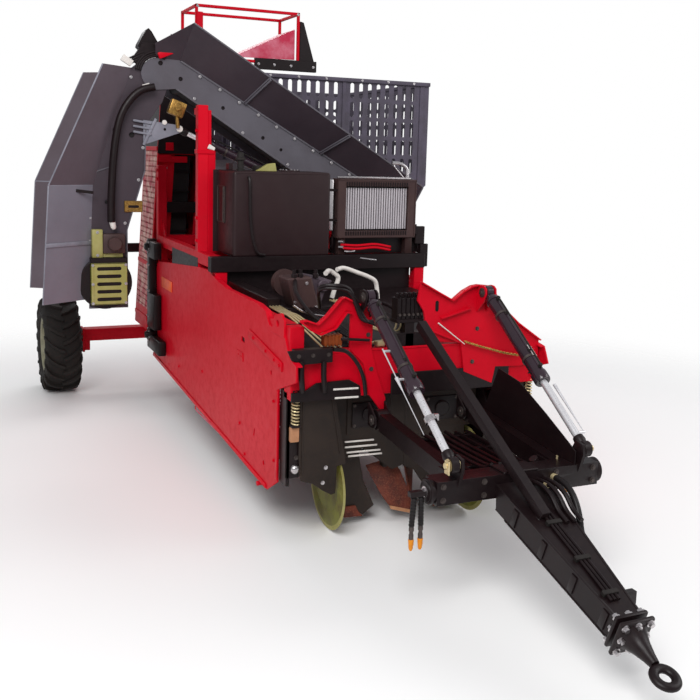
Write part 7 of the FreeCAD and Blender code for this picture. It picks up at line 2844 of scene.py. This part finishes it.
    def stand(self) -> None:
        """The stand's bracket, leg and cylinder anchor, and the front column's side plates."""
        red = Shape()
        red.box((-950, -215, 3000), (-893, self.near, 3060), 4)
        red.box((873, self.near - 12, 1810), (923, self.near, self.bottom(898) + 60), 3)
        for y in (-36, 42):
            red.box((210, y, 2250), (290, y + 14, 2387), 4)
        red.rod((250, -44, 2290), (250, 64, 2290), 15, 3)
        red.box((-888, -305, 1800), (-822, -215, 2690), 5)
        red.box((-888, -305, 2700), (-860, -215, 3037), 5)
        red.box((-986, -313, 2660), (-832, -207, 2700), 4)
        red.make("conveyor_stand_shell", Look.RED, replaces=["conveyor_stand"])
        tip = Shape()
        tip.plate("xz", [(-900, 2708), (-836, 2692), (-826, 2716), (-880, 2748)], -318, 60, ease=5)
        tip.make("column_fitting", Look.VINYL)


@dataclass
class FoldingConveyor:
    """The folding section: side plates, both flares, lug, belt and drive."""

    near: float = -38.0
    far: float = 538.0
    thick: float = 8.0
    out: float = 250.0
    right: Flat = ((-1160, 3300), (-1230, 3100), (-1370, 2900), (-1380, 2500), (-1540, 1980),
                   (-1540, 1290))
    left: Flat = ((-1880, 1290), (-1836, 2370), (-1500, 3380), (-1340, 3450), (-1220, 3450),
                  (-1160, 3340))
    edge: Flat = ((-2300, 1290), (-2237, 2370), (-1787, 3380))
    foot: float = 1375.0
    body: str = "outer_conveyor"

    def build(self) -> None:
        """Makes the whole section."""
        self.plates()
        self.flares()
        self.lug()
        self.details()
        self.belt()
        self.drive()

    def plates(self) -> None:
        """Near and far side plates, with their stiffened edges."""
        outline = [*self.right, *self.left]
        holes = [circle(-1499, 2807, 24), circle(-1719, 2225, 18), circle(-1640, 1800, 14)]
        near = Shape().plate("xz", outline, self.near, self.thick, holes, 1.5)
        # The near plate takes the darker grey, which is painted shade.
        near.make("folding_plate_near", Look.SHADE_GREY, self.body, ["outer_conveyor_sides"])
        shape = Shape()
        shape.plate("xz", outline, self.far, self.thick, holes[:2], 1.5)
        for y in (self.near - 4, self.far + self.thick + 4):
            for a, b in zip(self.right[2:], self.right[3:]):
                shape.beam((a[0] - 8, y, a[1]), (b[0] - 8, y, b[1]), 10, 18, 2)
            shape.beam((-1876, y, 1300), (-1546, y, 1300), 10, 20, 2)
        shape.beam((-1664, self.near - 3, 2536), (-1842, self.near - 3, 2473), 8, 12, 2)
        for z in (1420, 1960, 2430):
            shape.rod((-1800, self.near + 4, z), (-1800, self.far + 4, z), 17)
        shape.make("folding_frame", Look.GREY, self.body)

    def flares(self) -> None:
        """The bent walls that widen the section's mouth on both sides."""
        for name, y, sign in (("near", self.near + 4, -1), ("far", self.far + 4, 1)):
            low = [(x, y, max(z, self.foot)) for x, z in self.left[:3]]
            high = [(x + 8, y + sign * self.out, max(z, self.foot)) for x, z in self.edge]
            look = Look.PALE_GREY if name == "near" else Look.UMBER
            Shape().wall(low[:2], high[:2], 8).make("folding_flare_%s_low" % name, look, self.body)
            Shape().wall(low[1:], high[1:], 8).make("folding_flare_%s_high" % name, Look.UMBER,
                                                    self.body)
            lips = Shape()
            for a, b in zip(high, high[1:]):
                lips.beam(a, b, 12, 12, 3)
            a = Vector(low[0]).lerp(Vector(low[1]), 0.5) + Vector((0, sign * 9, 0))
            b = Vector(high[0]).lerp(Vector(high[1]), 0.5) + Vector((0, sign * 9, 0))
            lips.beam(a, b, 12, 34, 3)
            lips.beam(low[1], high[1], 10, 10, 3)
            lips.make("folding_lips_" + name, Look.LUG, self.body)

    def lug(self) -> None:
        """The bright lug that the fold cylinder pushes on."""
        plate = [(-1400, 2940), (-1070, 2905), (-1050, 2873), (-1070, 2841), (-1400, 2724)]
        shape = Shape().plate("xz", plate, self.near - 10, 10, [circle(-1210, 2865, 12)], 2)
        for z in (2918, 2870, 2822):
            shape.beam((-1490, self.near - 14, z + 16), (-1330, self.near - 14, z - 6), 20, 20, 6)
        shape.beam((-1290, self.near - 14, 2955), (-1400, self.near - 14, 2724), 14, 24, 4)
        shape.make("fold_lug", Look.LUG, self.body)
        pin = Shape().lathe([(0, 0), (0, 27), (8, 29), (14, 24), (14, 0)],
                            (-1080, self.near - 10, 2873), AHEAD, 24)
        pin.lathe([(0, 0), (0, 22), (12, 20), (14, 0)], (-1215, self.near - 10, 2925), AHEAD,
                  20)
        pin.make("lug_pins", Look.VINYL, self.body)
        gold = Shape().box((-1182, -112, 2982), (-1040, -36, 3116), 14, 2,
                           Matrix.Rotation(math.radians(20), 4, "Y"))
        gold.lathe([(0, 0), (0, 30), (10, 34), (24, 34), (30, 26), (30, 0)], (-1111, -112, 3060),
                   AHEAD, 24)
        gold.rod((-1100, -70, 2880), (-1108, -70, 2980), 17)
        gold.make("fold_valve", Look.BRASS, self.body)

    def details(self) -> None:
        """The curved black edge strip with its clips and fittings, and the bolts."""
        seal = Shape()
        y = self.near - 72
        line = smooth_path([(-1314, y, 3222), (-1417, y, 3194), (-1505, y, 3127), (-1587, y, 3004),
                            (-1636, y, 2849), (-1672, y, 2592), (-1693, y, 2246),
                            (-1694, y, 2055)], 5)
        seal.sweep(line, 33, 18)
        for x, z in ((-1640, 2840), (-1674, 2560), (-1692, 2240)):
            seal.box((x - 24, y, z - 22), (x + 24, self.near - 6, z + 22), 3)
        slot = [(-1995, 2312), (-1845, 2296), (-1845, 2322), (-1995, 2338)]
        shift = self.out * 0.36
        seal.plate("xz", slot, self.near - shift - 8, 6, ease=1)
        seal.make("edge_strip", Look.BLACK, self.body)
        end = Shape().lathe([(0, 0), (0, 22), (20, 26), (66, 24), (84, 14), (84, 0)],
                            (-1691, y, 2074), (0.25, 0, -1), 20)
        end.rod((-1412, self.near - 52, 3226), (-1356, self.near - 52, 3252), 12, 5)
        end.make("strip_fittings", Look.VINYL, self.body)
        heads = [((x - 3, self.near - 4, z), AHEAD) for x, z in
                 ((-1862, 2086), (-1868, 1887), (-1876, 1582), (-1880, 1423), (-1560, 2040),
                  (-1440, 2420), (-1400, 2700), (-1700, 1740), (-1600, 3280), (-1500, 3300))]
        bolts("folding_bolts", heads, Look.ZINC, self.body, 10, 8)

    def belt(self) -> None:
        """The belt with its cleats."""
        refined("outer_belt", Look.BELT, self.body, 2.0)
        cleat = Shape().box((-1668, -14, 1500), (-1640, 522, 1512), 2)
        row("outer_cleats", cleat, 3, (2, 0, 150), Look.BELT, self.body)

    def drive(self) -> None:
        """The slotted guard, the wheel behind it and the motor box above."""
        y = self.near - 102
        x0, x1, z0, z1 = -1873, -1566, 1335, 1700
        guard = Shape()
        slots = [slotted((x0 + x1) / 2, z0 + 48 + 67 * k, 210, 32) for k in range(5)]
        guard.plate("xz", rectangle(x0, z0, x1, z1), y, 7, slots, 2)
        for low, high in (((x1 - 8, z0), (x1, z1)), ((x0, z1 - 8), (x1, z1)),
                          ((x0, z0), (x1, z0 + 8))):
            guard.box((low[0], y, low[1]), (high[0], self.near, high[1]), 1)
        for x in (x0 + 3, x1 - 21):
            guard.box((x, y - 5, z0 + 6), (x + 18, y, z1 - 6), 2)
        guard.make("belt_guard", Look.CREAM, self.body, ["belt_drive"])
        # The guard's side plate is the cream guard's own side, given the darker olive disc enamel as
        # painted shade.
        side = Shape().box((x0, y + 1, z0), (x0 + 8, self.near, z1), 1)
        side.make("belt_guard_side_painted_shade", Look.OLIVE, self.body)
        dark = Shape()
        dark.lathe([(0, 0), (0, 222), (6, 230), (34, 230), (40, 222), (40, 0)],
                   (-1743, self.near - 52, 1520), BACK, 48)
        dark.box((-1873, y + 10, 1700), (-1559, self.near, 1744), 3)
        dark.box((x0 + 10, y + 10, z0 + 12), (x1 - 10, y + 22, z1 - 12), 2)
        dark.make("belt_wheel", Look.BLACK, self.body)
        clip = Shape().box((-1570, self.near - 14, 2136), (-1409, self.near - 2, 2237), 6)
        clip.make("belt_clip", Look.BRASS, self.body)
        cut = Shape().plate("xz", slotted(-1490, 2186, 96, 24), self.near - 16, 3, ease=0.5)
        cut.make("belt_clip_slot", Look.BLACK, self.body)
        box = Shape()
        box.box((-1857, self.near - 66, 1744), (-1766, self.near, 1990), 8, 2)
        box.box((-1766, self.near - 50, 1744), (-1590, self.near, 1784), 5)
        box.make("motor_box", Look.CREAM, self.body)
        motor = Shape()
        motor.box((-1766, self.near - 78, 1780), (-1575, self.near, 1952), 14, 2)
        motor.lathe([(0, 0), (0, 50), (12, 60), (60, 60), (70, 52), (70, 0)],
                    (-1670, self.near - 70, 1868), AHEAD, 30)
        motor.make("belt_motor", Look.SURROUND, self.body)
        heads = [((x, y - 6, z), AHEAD) for x in (-1861, -1578) for z in (1350, 1518, 1684)]
        heads += [((-1812, self.near - 66, z), AHEAD) for z in (1766, 1966)]
        bolts("belt_guard_bolts", heads, Look.ZINC, self.body, 9, 7)


@dataclass
class FoldCylinder:
    """The cylinder that swings the folding section out."""

    start: Point = (250.0, 10.0, 2290.0)
    end: Point = (-1080.0, 10.0, 2873.0)

    def build(self) -> None:
        """Makes the ram."""
        Ram("fold", "fold_cylinder_barrel", "fold_cylinder_rod", "fold_barrel", "fold_rod",
            self.start, self.end, BACK, 40, 1180, 22, 40, 50, 16).build()
ASSEMBLIES: List[Callable] = [
    Studio, Hoses, RunningGear, SidePanels, Chassis, Brackets, Drawbar, LiftCylinders, LiftingUnit,
    SieveWeb, Tank, Cooler, Hydraulics, SideDrives, Bunker, Elevator, FixedConveyor,
    FoldingConveyor, FoldCylinder]


# ------------------------------------------------------------------ everything
def finish_frame() -> None:
    """Paints every CAD node that still shows, which is only the sieve web, as the chassis is."""
    for made in frame["nodes"].values():
        if not made.hide_render:
            made.data.materials.clear()
            made.data.materials.append(Look.BLACK.material())


def main() -> None:
    """Builds the studio, the cords and then the machine."""
    logging.basicConfig(level=logging.INFO, format="%(message)s")
    for maker in ASSEMBLIES:
        maker().build()
        LOG.info("%s done", maker.__name__)
    finish_frame()
    bpy.context.view_layer.update()


if __name__ == "__main__":
    main()
